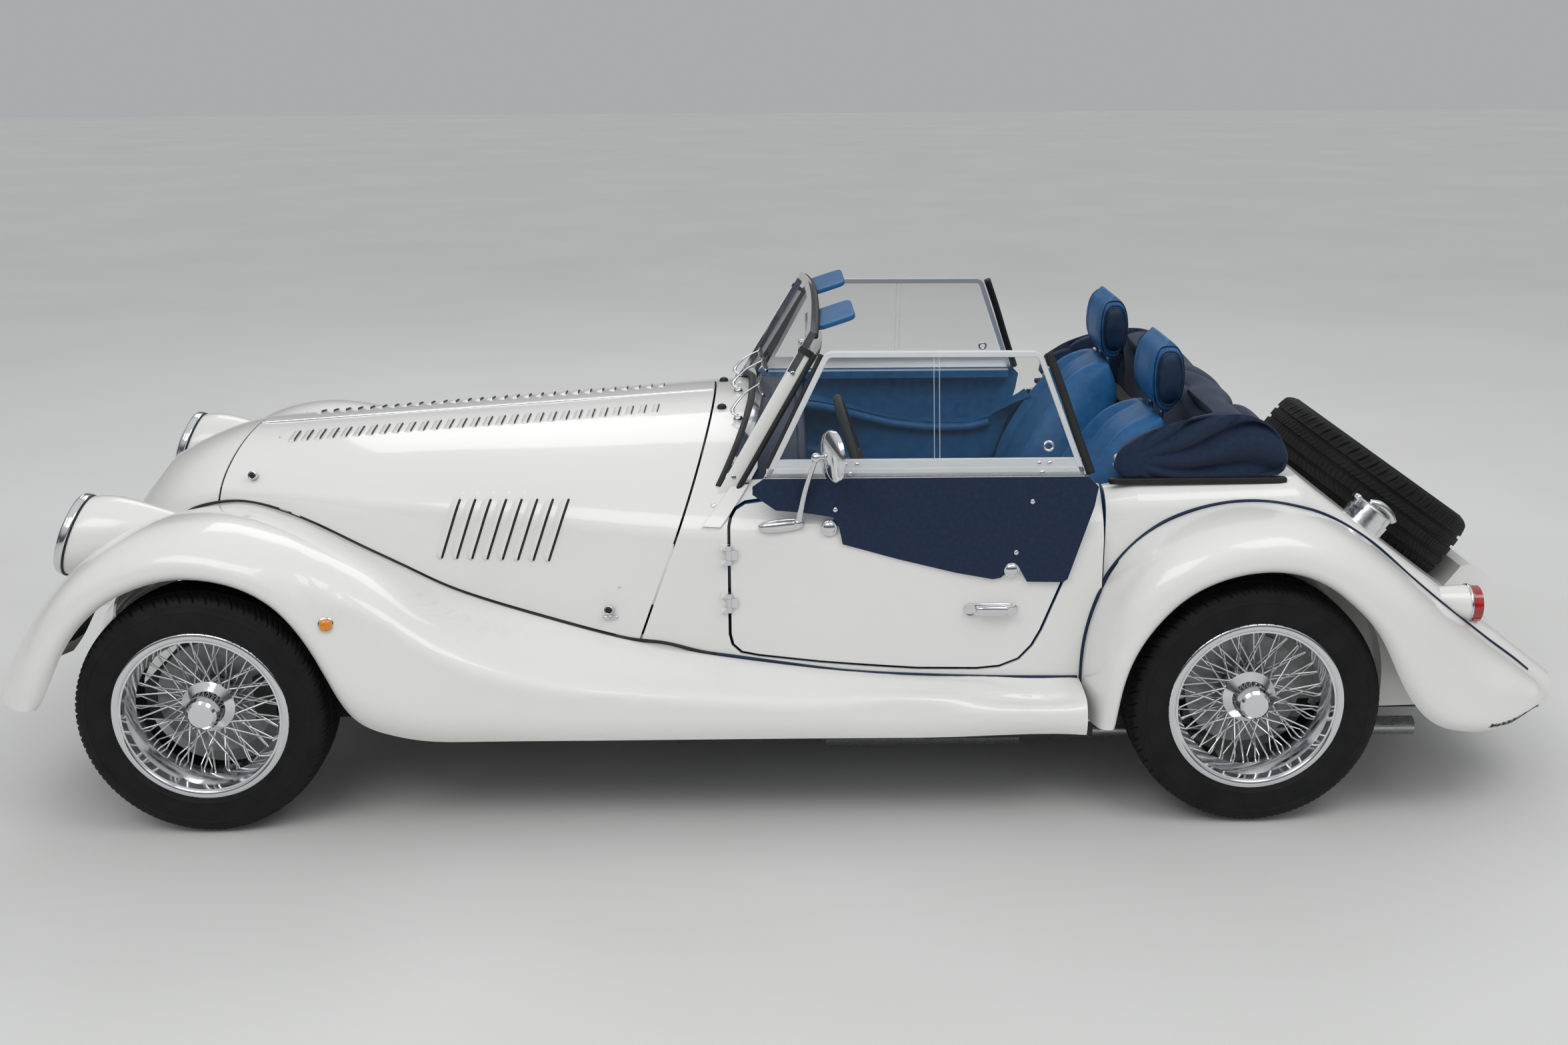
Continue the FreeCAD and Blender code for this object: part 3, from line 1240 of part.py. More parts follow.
def seat(side):
    near = side * d.driver_offset - d.seat_half_width
    body = cushion([(s * d.wheelbase, z * d.scuttle_height) for s, z in seat_shares], near, near + 2 * d.seat_half_width, d.seat_round)
    near = side * d.driver_offset - d.headrest_half_width
    rest = cushion([(s * d.wheelbase, z * d.scuttle_height) for s, z in headrest_shares], near, near + 2 * d.headrest_half_width, d.seat_round)
    base = box((d.seat_base_front, side * d.driver_offset - d.seat_half_width / 2, floor_top + d.seat_gap),
               (d.seat_base_front + d.seat_base_length, side * d.driver_offset + d.seat_half_width / 2, d.seat_base_top))
    return body.multiFuse([rest, base])


node(feature("SeatLeft", seat(-1)), "seat_left")
node(feature("SeatRight", seat(1)), "seat_right")

# windscreen: a leaned frame standing on the scuttle, with its glass
screen_sill_shares = ((0.0, 1.0033), (0.1818, 0.9989), (0.3697, 0.9751), (0.5164, 0.9349), (0.6315, 0.8807), (0.6861, 0.8351))
lean_angle = math.radians(d.screen_lean)


def screen_point(y, z, out=0.0):
    """Point of the windscreen plane at a width and height, moved along the plane's normal."""
    s = d.screen_station + math.tan(lean_angle) * (z - d.screen_sill)
    return spot(s - out * math.cos(lean_angle), y, z + out * math.sin(lean_angle))


def screen_outline(inset, out):
    """Closed frame outline: crowned sill, straight pillars and an arched head."""
    sill = []
    for share, high in screen_sill_shares:
        y = share * half_width
        sill.append((min(y, d.screen_foot - inset), high * d.scuttle_height + inset + d.screen_lift))
    foot = sill[-1]
    top_y = d.screen_top - inset
    top_z = d.screen_head - inset
    right_sill = [screen_point(y, z, out) for y, z in sill]
    left_sill = [screen_point(-y, z, out) for y, z in sill[:0:-1]]
    base = curve(left_sill + right_sill)
    crown = Part.Arc(screen_point(-top_y, top_z, out), screen_point(0, top_z + d.screen_arch, out), screen_point(top_y, top_z, out)).toShape()
    left = line(screen_point(-top_y, top_z, out), left_sill[0])
    right = line(right_sill[-1], screen_point(top_y, top_z, out))
    return Part.Wire([base, right, crown, left])


def screen_solid(inset, depth):
    face = Part.Face(screen_outline(inset, -depth / 2))
    normal = Vector(-math.cos(lean_angle), 0, math.sin(lean_angle))
    return face.extrude(normal * depth)


screen_frame = screen_solid(0.0, d.screen_depth).cut(screen_solid(d.screen_bar, d.screen_depth * 2))
screen_frame = screen_frame.cut(envelope(d.seat_gap))
for side in (-1, 1):
    foot = [(d.stanchion_front, d.stanchion_low), (d.stanchion_front + d.stanchion_width, d.stanchion_low - d.seat_gap),
            (d.stanchion_rear, d.stanchion_top - d.stanchion_width), (d.stanchion_rear, d.stanchion_top)]
    blade = slab(foot, side * d.screen_foot - d.stanchion_width, side * d.screen_foot + d.stanchion_width)
    strip = envelope(d.stanchion_wall + d.seat_gap).cut(envelope(d.seat_gap)).common(
        slab(foot, min(0, side * half_width), max(0, side * half_width)))
    screen_frame = screen_frame.fuse(strip)
node(feature("WindscreenFrame", screen_frame), "windscreen_frame")
glass = screen_solid(d.screen_bar + d.seat_gap, d.glass_wall).cut(envelope(d.seat_gap))
node(feature("WindscreenGlass", glass), "windscreen_glass")

# side screens on the doors
side_frame_shares = ((0.5925, 1.2321), (0.796, 1.2299), (0.8381, 0.9176), (0.5337, 0.9176))
side_panel_shares = (
    (0.523, 0.8807), (0.523, 0.9024), (0.5341, 0.9241), (0.8381, 0.9241), (0.8484, 0.8948), (0.8452, 0.8416), (0.8226, 0.6464), (0.8183, 0.6377),
    (0.7837, 0.6399), (0.7762, 0.6768), (0.7698, 0.6768), (0.7583, 0.6508), (0.7512, 0.6475), (0.7159, 0.6659), (0.6611, 0.7039), (0.6079, 0.7462),
    (0.6044, 0.7928), (0.5988, 0.8189), (0.5881, 0.8243), (0.5698, 0.8319), (0.5448, 0.8384))


def inset_outline(points, inset):
    """Straight-sided outline drawn in by an inset."""
    flat = Part.Face(Part.makePolygon([Vector(s, z, 0) for s, z in points + points[:1]]))
    drawn = flat.makeOffset2D(-inset) if inset else flat
    return [(v.X, v.Y) for v in drawn.OuterWire.OrderedVertexes]


def side_slab(points, out, wall):
    """Outline in the side screen's tilted plane, thickened outward."""
    tilt = math.radians(d.side_tilt)
    def at(s, z, away):
        y = d.side_top + (d.side_head - z) * math.tan(tilt)
        return spot(s, -(y + away), z)
    near = [at(s, z, out) for s, z in points]
    far = [at(s, z, out + wall) for s, z in points]
    return solid_loft([Part.makePolygon(near + near[:1]), Part.makePolygon(far + far[:1])], True)


frame_outline = [(s * d.wheelbase, z * d.scuttle_height) for s, z in side_frame_shares]
side_frame = side_slab(frame_outline, 0.0, d.side_wall).cut(
    side_slab(inset_outline(frame_outline, d.side_bar), -d.overrun, d.overrun * 3))
divider = box((d.side_divider, -half_width, d.side_sill - d.overrun), (d.side_divider + d.side_bar / 2, 0.0, d.side_head))
side_frame = side_frame.fuse(side_slab(frame_outline, 0.0, d.side_wall).common(divider))
side_panel = slab([(s * d.wheelbase, z * d.scuttle_height) for s, z in side_panel_shares],
                  -d.side_panel_half - d.side_panel_wall, -d.side_panel_half)
bridge = box((d.side_bridge_front, -d.side_panel_half - d.seat_gap, d.side_sill - d.side_bar),
             (d.side_bridge_front + d.side_bridge_length, -d.side_top - d.side_bar * 2, d.side_sill + d.seat_gap))
side_screen = side_frame.multiFuse([side_panel, bridge])
side_glass = side_slab(inset_outline(frame_outline, d.side_bar + d.seat_gap), d.side_wall / 2, d.side_glass_wall).cut(
    box((d.side_divider - d.seat_gap, -half_width, 0.0), (d.side_divider + d.side_bar / 2 + d.seat_gap, 0.0, d.overall_length)))
node(feature("SideScreenLeft", side_screen), "side_screen_left")
node(feature("SideScreenRight", mirrored(side_screen)), "side_screen_right")
node(feature("SideGlassLeft", side_glass), "side_glass_left")
node(feature("SideGlassRight", mirrored(side_glass)), "side_glass_right")

# door hinges, handle and mirror
hinge_y = skin_width(d.door_front, d.hinge_high) + d.hinge_stand
hinge_s = d.door_front - d.door_gap / 2


def hinge_leaf(high, low_share, high_share, s_from, s_to):
    """Flat leaf from the hinge pin to the skin."""
    return box((s_from, -hinge_y - d.hinge_radius / 2, high + low_share * d.hinge_half),
               (s_to, -hinge_y + d.hinge_radius / 2, high + high_share * d.hinge_half))


pins = []
barrels = []
for high in (d.hinge_low, d.hinge_high):
    base = spot(hinge_s, -hinge_y, high - d.hinge_half)
    pins.append(Part.makeCylinder(d.hinge_radius / 2, 2 * d.hinge_half, base, Z_AXIS))
    for share in (-1.0, d.hinge_split):
        knuckle_base = spot(hinge_s, -hinge_y, high + share * d.hinge_half)
        pins.append(Part.makeCylinder(d.hinge_radius, (1 - d.hinge_split) * d.hinge_half, knuckle_base, Z_AXIS))
        lug = box((hinge_s - d.hinge_leaf, -hinge_y - d.hinge_radius / 2, high + share * d.hinge_half),
                  (hinge_s, -hinge_y + d.hinge_stand + d.panel_wall, high + (share + 1 - d.hinge_split) * d.hinge_half))
        pins.append(lug)
    middle_low = high - (d.hinge_split * d.hinge_half - d.seat_gap)
    length = 2 * (d.hinge_split * d.hinge_half - d.seat_gap)
    barrel = Part.makeCylinder(d.hinge_radius, length, spot(hinge_s, -hinge_y, middle_low), Z_AXIS)
    leaf = box((hinge_s, -hinge_y - d.hinge_radius / 2, middle_low),
               (hinge_s + d.hinge_leaf, -hinge_y + d.hinge_stand + d.panel_wall, middle_low + length))
    bore = Part.makeCylinder(d.hinge_radius / 2 + d.seat_gap / 2, d.hinge_half * 2, base, Z_AXIS)
    barrels.append(barrel.fuse(leaf.cut(full)).cut(bore))
hinge_pins = pins[0].multiFuse(pins[1:]).cut(full)
# The door skin stands clear of the knuckles as it swings.
for high in (d.hinge_low, d.hinge_high):
    swing_base = spot(hinge_s, -hinge_y, high - d.hinge_half - d.panel_wall)
    door_left = door_left.cut(Part.makeCylinder(d.hinge_radius + d.seat_gap, 2 * (d.hinge_half + d.panel_wall), swing_base, Z_AXIS))
node(feature("DoorLeft", door_left), "door_left")
node(feature("DoorRight", mirrored(door_left)), "door_right")


def door_fittings():
    skin = d.body_half_width
    handle = Part.makeCylinder(d.handle_radius, d.handle_length, spot(d.handle_station, -skin - d.handle_stand, d.handle_height), X_AXIS)
    foot = Part.makeCylinder(d.handle_radius, d.handle_stand, spot(d.handle_station + d.handle_radius * 2, -skin - d.handle_stand, d.handle_height), Y_AXIS)
    post = [spot(d.mirror_station, -skin + d.mirror_root, d.mirror_low),
            spot(d.mirror_station + d.mirror_run / 2, -skin - d.mirror_reach / 2, d.mirror_low + (d.mirror_high - d.mirror_low) * 0.45),
            spot(d.mirror_station + d.mirror_run, -skin - d.mirror_reach, d.mirror_high)]
    bar = Part.Wire([curve(post)])
    ring = Part.Wire([Part.Circle(post[0], post[1] - post[0], d.mirror_arm).toShape()])
    arm = bar.makePipeShell([ring], True, False)
    disc = Part.makeCylinder(d.mirror_radius, d.mirror_depth, post[2], X_AXIS)
    return handle.multiFuse([foot, arm, disc])


body_shell = body_shell.fuse(hinge_pins).fuse(mirrored(hinge_pins))
node(feature("Scuttle", body_shell), "scuttle")


fittings = door_fittings().cut(full).cut(side_screen)
fittings = Part.Compound([solid for solid in fittings.Solids if solid.Volume > d.mirror_arm ** 3] + barrels)
node(feature("DoorFittingsLeft", fittings), "door_fittings_left")
node(feature("DoorFittingsRight", mirrored(fittings)), "door_fittings_right")

# folded hood behind the seats
hood_shares = ((0.8643, 0.9176), (0.8675, 0.9588), (0.8889, 1.0022), (0.9306, 1.0521), (0.9675, 1.0694), (1, 1.0629), (1.0222, 1.026),
               (1.0341, 0.974), (1.0389, 0.9241), (1.0317, 0.8894), (1.0159, 0.8764),
               (0.9841, 0.872), (0.9524, 0.872), (0.9206, 0.872), (0.8929, 0.8742), (0.8746, 0.8829))
hood = cushion([(s * d.wheelbase, z * d.scuttle_height) for s, z in hood_shares], -d.hood_half_width, d.hood_half_width, d.hood_round)
hood = hood.cut(box((0.0, -d.hood_inner_half, 0.0), (d.hood_inner_rear, d.hood_inner_half, d.overall_length)))
hood = max(hood.cut(tail_full.translated(Z_AXIS * d.seat_gap)).Solids, key=lambda solid: solid.Volume)
node(feature("FoldedHood", hood), "folded_hood")

# tail details: filler, lamps, number plinth and exhaust
deck_normal = Vector(math.sin(math.radians(d.deck_slope)), 0, math.cos(math.radians(d.deck_slope)))
filler_base = spot(d.filler_station, -d.filler_offset, d.filler_height)
filler = Part.makeCylinder(d.filler_radius, d.filler_rise, filler_base, deck_normal)
filler_lid = Part.makeCylinder(d.filler_radius * 0.92, d.filler_lid, filler_base + deck_normal * d.filler_rise, deck_normal)
node(feature("FuelFiller", filler.fuse(filler_lid).cut(tail_full)), "fuel_filler")

lamp_wires = []
for share, size in ((0.0, 0.35), (0.45, 0.8), (1.0, 1.0)):
    centre = spot(d.tail_lamp_station - d.tail_lamp_length * (1 - share), -d.tail_lamp_offset, d.tail_lamp_height + d.tail_lamp_radius * (1 - size) * 0.6)
    lamp_wires.append(Part.Wire([Part.Circle(centre, X_AXIS, d.tail_lamp_radius * size).toShape()]))
tail_pod = solid_loft(lamp_wires).fuse(Part.makeCylinder(
    d.tail_lamp_radius * 0.94, d.tail_lamp_lens, spot(d.tail_lamp_station, -d.tail_lamp_offset, d.tail_lamp_height), X_AXIS))
tail_pod = tail_pod.cut(tail_full).cut(rear_fill).cut(rear_wing)
tail_pod = max(tail_pod.Solids, key=lambda solid: solid.Volume)
node(feature("TailLamps", Part.Compound([tail_pod, mirrored(tail_pod)])), "tail_lamps")

plinth_shares = ((1.2659, 0.423), (1.2841, 0.4902), (1.2944, 0.4967), (1.3159, 0.4599), (1.3194, 0.4393), (1.3194, 0.3254), (1.3095, 0.3145))
plinth = slab([(s * d.wheelbase, z * d.scuttle_height) for s, z in plinth_shares], -d.plinth_half_width, d.plinth_half_width)
plinth = plinth.cut(tail_full.translated(deck_normal * d.seat_gap)).cut(Part.makeCylinder(d.tyre_radius + d.panel_gap * 2, d.overall_width, pan_low, spare_axis))
plinth = max(plinth.Solids, key=lambda solid: solid.Volume)
node(feature("PlatePlinth", plinth), "plate_plinth")

pipe = Part.makeCylinder(d.pipe_radius, d.pipe_rear - d.pipe_front, spot(d.pipe_front, -d.pipe_offset, d.pipe_height), X_AXIS)
silencer = Part.makeCylinder(d.silencer_radius, d.silencer_length, spot(d.silencer_front, -d.pipe_offset, d.pipe_height), X_AXIS)
hanger_tops = []
for s in (d.pipe_front + d.overrun * 2, d.pipe_rear - d.overrun * 9):
    hanger_tops.append(box((s, -d.pipe_offset - d.pipe_radius / 2, d.pipe_height), (s + d.pipe_radius, -d.pipe_offset + d.pipe_radius / 2, d.floor_height - d.seat_gap)))
pipe_bore = Part.makeCylinder(d.pipe_radius - d.pipe_wall, d.overrun * 10, spot(d.pipe_rear - d.overrun * 9, -d.pipe_offset, d.pipe_height), X_AXIS)
exhaust = pipe.multiFuse([silencer] + hanger_tops[:1]).cut(pipe_bore)
node(feature("Exhaust", exhaust), "exhaust")

# tyres, wire wheels and brake discs, turned about the wheel's own axis
bead_radius = d.rim_radius - d.flange_depth
bead_half = d.rim_half_width - d.rim_wall


def tyre_corners():
    outer = (
        (bead_radius + d.seat_gap, bead_half - d.seat_gap),
        (d.rim_radius + d.seat_gap, bead_half - d.seat_gap),
        (d.rim_radius + d.tyre_wall, bead_half + d.tyre_wall / 2),
        (d.rim_radius + d.tyre_wall * 2.5, d.tyre_half_width - d.tyre_wall / 5),
        (d.rim_radius + d.tyre_wall * 4, d.tyre_half_width),
        (d.tyre_radius - d.tyre_wall * 2, d.tyre_half_width - d.tyre_wall / 4),
        (d.tyre_radius - d.tyre_wall, d.tread_half_width + d.tyre_wall / 2),
        (d.tyre_radius - d.tyre_wall / 4, d.tread_half_width - d.tyre_wall / 3),
        (d.tyre_radius, d.tread_half_width - d.tyre_wall * 1.5),
    )
    inner = (
        (d.tyre_radius - d.tyre_wall, d.tread_half_width - d.tyre_wall * 2),
        (d.tyre_radius - d.tyre_wall * 2, d.tread_half_width),
        (d.rim_radius + d.tyre_wall * 4, d.tyre_half_width - d.tyre_wall),
        (d.rim_radius + d.tyre_wall, bead_half - d.tyre_wall / 2),
        (bead_radius + d.seat_gap, bead_half - d.tyre_wall),
    )
    left = [(r, -y) for r, y in outer]
    right = [(r, y) for r, y in outer[::-1]]
    hollow_right = [(r, y) for r, y in inner[::-1]]
    hollow_left = [(r, -y) for r, y in inner]
    return left + right + hollow_right + hollow_left


def rim_corners():
    """Half section of the rim, mirrored about the wheel's middle plane."""
    outside = (
        (d.rim_radius, d.rim_half_width),
        (d.rim_radius, d.rim_half_width - d.rim_wall),
        (bead_radius, d.rim_half_width - d.rim_wall),
        (bead_radius, d.rim_half_width - d.rim_wall - d.bead_width),
        (bead_radius - d.well_depth, d.well_half_width),
    )
    inside = (
        (bead_radius - d.well_depth - d.rim_wall, d.well_half_width),
        (bead_radius - d.rim_wall, d.rim_half_width - d.rim_wall - d.bead_width),
        (bead_radius - d.rim_wall, d.rim_half_width),
    )
    right = list(outside)
    left = [(r, -y) for r, y in outside[::-1]]
    under_left = [(r, -y) for r, y in inside[::-1]]
    under_right = list(inside)
    return right + left + under_left + under_right


def revolve_corners(corners):
    points = [Vector(r, y, 0) for r, y in corners]
    face = Part.Face(Part.makePolygon(points + points[:1]))
    made = face.revolve(ORIGIN, Y_AXIS, 360)
    return made if made.Volume > 0 else face.revolve(ORIGIN, -Y_AXIS, 360)


def wire_wheel():
    """Rim, hub with its spoke flange, knock-off cap and two crossed rows of spokes."""
    rim_part = revolve_corners(rim_corners())
    hub = revolve_corners((
        (0.0, -d.hub_reach), (d.hub_radius + d.hub_flange_wall, -d.hub_reach),
        (d.hub_radius + d.hub_flange_wall, -d.hub_reach + d.hub_flange_wall),
        (d.hub_radius, -d.hub_reach + d.hub_flange_wall), (d.hub_radius, d.hub_flange_seat),
        (d.hub_flange_radius, d.hub_flange_seat), (d.hub_flange_radius, d.hub_flange_seat + d.hub_flange_wall),
        (d.hub_radius, d.hub_flange_seat + d.hub_flange_wall * 2), (d.cap_radius, d.hub_face),
        (d.cap_radius + d.cap_edge, d.hub_face), (d.cap_radius + d.cap_edge, d.hub_face + d.cap_edge),
        (d.cap_radius, d.hub_face + d.cap_height - d.cap_edge), (d.cap_radius - d.cap_edge, d.hub_face + d.cap_height),
        (0.0, d.hub_face + d.cap_height)))
    spokes = []
    rows = (
        (d.hub_radius, d.hub_flange_wall - d.hub_reach, bead_radius - d.well_depth - d.rim_wall, d.well_half_width / 2, 0.0),
        (d.hub_flange_radius - d.spoke_radius, d.hub_flange_seat + d.hub_flange_wall / 2,
         bead_radius - d.well_depth - d.rim_wall, -d.well_half_width / 2, 0.5),
    )
    count = int(d.spoke_count)
    for hub_r, hub_y, rim_r, rim_y, phase in rows:
        for index in range(count):
            way = 1 if index % 2 else -1
            at_rim = 2 * math.pi * (index + phase) / count
            at_hub = at_rim + way * math.radians(d.spoke_sweep)
            inner_end = Vector(hub_r * math.cos(at_hub), hub_y + way * d.spoke_stagger, hub_r * math.sin(at_hub))
            outer_end = Vector((rim_r + d.rim_wall / 2) * math.cos(at_rim), rim_y + way * d.spoke_stagger,
                               (rim_r + d.rim_wall / 2) * math.sin(at_rim))
            run = outer_end - inner_end
            spokes.append(Part.makeCylinder(d.spoke_radius, run.Length, inner_end, run))
    return rim_part.multiFuse([hub] + spokes)


wheel_shape = wire_wheel()
corners_of_tyre = tyre_corners()
wheel_places = {
    "front_left": (0.0, -1), "front_right": (0.0, 1),
    "rear_left": (d.wheelbase, -1), "rear_right": (d.wheelbase, 1),
}
disc_corners = (
    (d.spindle_radius + d.seat_gap, -d.disc_inset + d.disc_wall / 2),
    (d.spindle_radius + d.seat_gap, -d.disc_inset - d.disc_wall / 2),
    (d.disc_radius, -d.disc_inset - d.disc_wall / 2),
    (d.disc_radius, -d.disc_inset + d.disc_wall / 2),
)
for name, (s, side) in wheel_places.items():
    centre = spot(s, side * d.half_track, hub_height)
    spin = Rotation(Z_AXIS, 180 if side < 0 else 0)
    for prefix, corners in (("tyre_", corners_of_tyre), ("brake_disc_", disc_corners)):
        item = turned(prefix.title().replace("_", "") + name.title().replace("_", ""), corners)
        item.Placement = Placement(centre, spin)
        node(item, prefix + name)
    wheel = feature("WireWheel" + name.title().replace("_", ""), wheel_shape)
    wheel.Placement = Placement(centre, spin)
    node(wheel, "wire_wheel_" + name)

lay = turned_to(Vector(spare_axis)).multiply(Rotation(X_AXIS, 90))
spare_tyre = turned("SpareTyre", corners_of_tyre)
spare_tyre.Placement = Placement(spare_centre, lay)
node(spare_tyre, "spare_tyre")
spare_wheel = feature("SpareWheel", wheel_shape)
spare_wheel.Placement = Placement(spare_centre, lay)
node(spare_wheel, "spare_wheel")

# knuckles, suspension arms and rear axle
pin_y = d.half_track - d.kingpin_inset
disc_in = d.half_track - d.disc_inset - d.disc_wall / 2
hub_in = d.half_track - d.hub_reach


def knuckle():
    half_high = d.upright_height / 2
    upright = Part.makeBox(d.upright_length, d.upright_width, d.upright_height,
                           spot(-d.upright_length / 2, -pin_y - d.upright_width / 2, hub_height - half_high))
    spindle = Part.makeCylinder(d.spindle_radius, hub_in - pin_y - d.seat_gap, spot(0.0, -pin_y, hub_height), -Y_AXIS)
    caliper = Part.makeBox(d.caliper_height, d.caliper_width, d.caliper_length,
                           spot(d.disc_radius - d.caliper_height + d.panel_wall, -disc_in - d.caliper_width * 0.6, hub_height - d.caliper_length / 2))
    slot = Part.makeCylinder(d.disc_radius + d.panel_gap, d.disc_wall + 2 * d.panel_gap,
                             spot(0.0, -disc_in + d.panel_gap, hub_height), -Y_AXIS)
    bridge_arm = Part.makeBox(d.disc_radius, d.upright_width / 2, d.caliper_height / 2,
                              spot(0.0, -pin_y - d.upright_width / 2, hub_height - d.caliper_height / 4))
    bore = Part.makeCylinder(d.arm_radius + d.seat_gap, hub_height * 2, spot(0.0, -pin_y, 0.0), Z_AXIS)
    shape = upright.fuse(caliper.cut(slot)).fuse(bridge_arm)
    shape = shape.cut(bore).fuse(spindle.cut(bore))
    return shape


left_knuckle = knuckle()
node(feature("FrontKnuckleLeft", left_knuckle), "front_knuckle_left")
node(feature("FrontKnuckleRight", mirrored(left_knuckle)), "front_knuckle_right")

arms = []
rail_out = d.rail_inset + d.rail_width / 2
for side in (-1, 1):
    half_pin = d.upright_height / 2 + d.arm_gap + d.arm_radius
    arms.append(Part.makeCylinder(d.arm_radius, 2 * half_pin, spot(0.0, side * pin_y, hub_height - half_pin), Z_AXIS))
    for level in (-1, 1):
        tip = spot(0.0, side * pin_y, hub_height + level * half_pin)
        for way in (-1, 1):
            root = spot(way * d.arm_spread / 2, side * (rail_out + d.arm_radius), hub_height + level * d.arm_rise)
            run = root - tip
            arms.append(Part.makeCylinder(d.arm_radius, run.Length, tip, run))
        tip_ball = Part.makeSphere(d.arm_radius * 1.5, tip)
        arms.append(tip_ball)
    tower_low = d.rail_base + d.rail_height
    plate_in = rail_out + d.seat_gap
    plate_out = rail_out + d.arm_radius * 1.5
    arms.append(box((-d.arm_spread, min(side * plate_in, side * plate_out), hub_height - d.arm_rise - d.arm_radius * 1.5),
                    (d.arm_spread, max(side * plate_in, side * plate_out), hub_height + d.arm_rise * 1.5)))
    arms.append(box((-d.arm_spread, min(side * plate_out, side * (rail_out - d.rail_width)), tower_low + d.seat_gap),
                    (d.arm_spread, max(side * plate_out, side * (rail_out - d.rail_width)), hub_height + d.arm_rise * 2)))
cross = box((-d.rail_width, -rail_out + d.rail_width, hub_height + d.arm_rise), (d.rail_width, rail_out - d.rail_width, hub_height + d.arm_rise + d.rail_width))
front_suspension = cross.multiFuse(arms)
rails = [part for part in floor_parts[3:]]
node(feature("FrontSuspension", front_suspension), "front_suspension")

axle_half = hub_in - d.seat_gap
axle = Part.makeCylinder(d.axle_radius, 2 * (disc_in - d.panel_gap), spot(d.wheelbase, -disc_in + d.panel_gap, hub_height + 0.0), Y_AXIS)
case = Part.makeSphere(d.axle_case_radius, spot(d.wheelbase, 0.0, hub_height))
axle = axle.fuse(case)
stub = Part.makeCylinder(d.spindle_radius, 2 * axle_half, spot(d.wheelbase, -axle_half, hub_height), Y_AXIS)
axle = axle.fuse(stub)
for side in (-1, 1):
    pad_near = side * (d.rail_inset - d.rail_width / 2)
    pad_far = side * (d.rail_inset + d.rail_width / 2)
    axle = axle.fuse(box((d.wheelbase - d.axle_radius, min(pad_near, pad_far), d.rail_base + d.rail_height + d.seat_gap),
                         (d.wheelbase + d.axle_radius, max(pad_near, pad_far), hub_height)))
node(feature("RearSuspension", axle), "rear_suspension")

doc.recompute()
faults = [item.Label for item in doc.Objects if {"Invalid", "Error"} & set(item.State)]
faults += [item.Label for item in nodes if item.Shape.isNull() or not item.Shape.isValid()]
if faults:
    raise RuntimeError("failed pieces: " + ", ".join(faults))
os.makedirs("parts", exist_ok=True)
for item in nodes:
    item.Shape.exportStep(f"parts/{item.Label}.step")
    bounds = item.Shape.BoundBox
    print(item.Label, len(item.Shape.Solids), round(item.Shape.Volume / 1000.0), bounds)
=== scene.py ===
import bpy
import bmesh
import math
import numpy as np
from mathutils import Matrix, Vector
from mathutils.bvhtree import BVHTree


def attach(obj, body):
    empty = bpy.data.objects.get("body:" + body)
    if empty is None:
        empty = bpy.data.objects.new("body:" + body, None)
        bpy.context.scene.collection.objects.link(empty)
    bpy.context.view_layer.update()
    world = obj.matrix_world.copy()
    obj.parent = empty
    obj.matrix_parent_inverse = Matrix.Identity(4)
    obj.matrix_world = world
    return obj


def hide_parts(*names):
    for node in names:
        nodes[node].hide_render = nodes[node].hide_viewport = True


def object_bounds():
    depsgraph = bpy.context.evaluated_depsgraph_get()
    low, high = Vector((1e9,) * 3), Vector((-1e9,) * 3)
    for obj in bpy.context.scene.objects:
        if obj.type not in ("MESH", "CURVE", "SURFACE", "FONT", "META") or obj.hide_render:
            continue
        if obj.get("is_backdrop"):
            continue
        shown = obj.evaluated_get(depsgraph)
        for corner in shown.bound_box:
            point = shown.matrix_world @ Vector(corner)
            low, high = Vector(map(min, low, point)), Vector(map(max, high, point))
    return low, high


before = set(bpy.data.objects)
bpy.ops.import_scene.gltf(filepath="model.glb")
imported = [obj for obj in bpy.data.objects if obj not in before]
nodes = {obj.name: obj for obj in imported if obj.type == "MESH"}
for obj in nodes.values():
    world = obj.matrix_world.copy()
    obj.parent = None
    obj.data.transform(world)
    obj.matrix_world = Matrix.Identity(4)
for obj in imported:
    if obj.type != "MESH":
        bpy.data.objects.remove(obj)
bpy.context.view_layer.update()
print("frame loaded")

frontAxle = -1.410  # the frame's x of the front axle; stations run rearward from it


def at(s, y, z):  # a point from millimetres behind the front axle, across and up
    return np.array([s / 1000 + frontAxle, y / 1000, z / 1000])


def besideAt(place, sign):  # the same, on the left for sign -1 and on the right for sign 1
    return at(place[0], sign * place[1], place[2])


# colours and nodes
def hexLinear(text, alpha=1.0):  # sRGB hex to the linear values that sockets take
    parts = [int(text[i:i + 2], 16) / 255 for i in (1, 3, 5)]
    return [p / 12.92 if p <= 0.04045 else ((p + 0.055) / 1.055) ** 2.4 for p in parts] + [alpha]


def addNode(tree, kind, settings=None, links=None):  # one node, its settings, and what feeds it
    made = tree.nodes.new(kind)
    for name, value in (settings or {}).items():
        if isinstance(name, int) or name in made.inputs:
            made.inputs[name].default_value = value
        else:
            setattr(made, name, value)
    for name, source in (links or {}).items():
        tree.links.new(source, made.inputs[name])
    return made


def ramp(tree, source, stops):  # a colour ramp from (place, hex) stops
    made = addNode(tree, "ShaderNodeValToRGB", links={"Fac": source})
    while len(made.color_ramp.elements) < len(stops):
        made.color_ramp.elements.new(0.5)
    for element, (place, colour) in zip(made.color_ramp.elements, stops):
        element.position = place
        element.color = hexLinear(colour) if isinstance(colour, str) else [colour] * 3 + [1]
    return made


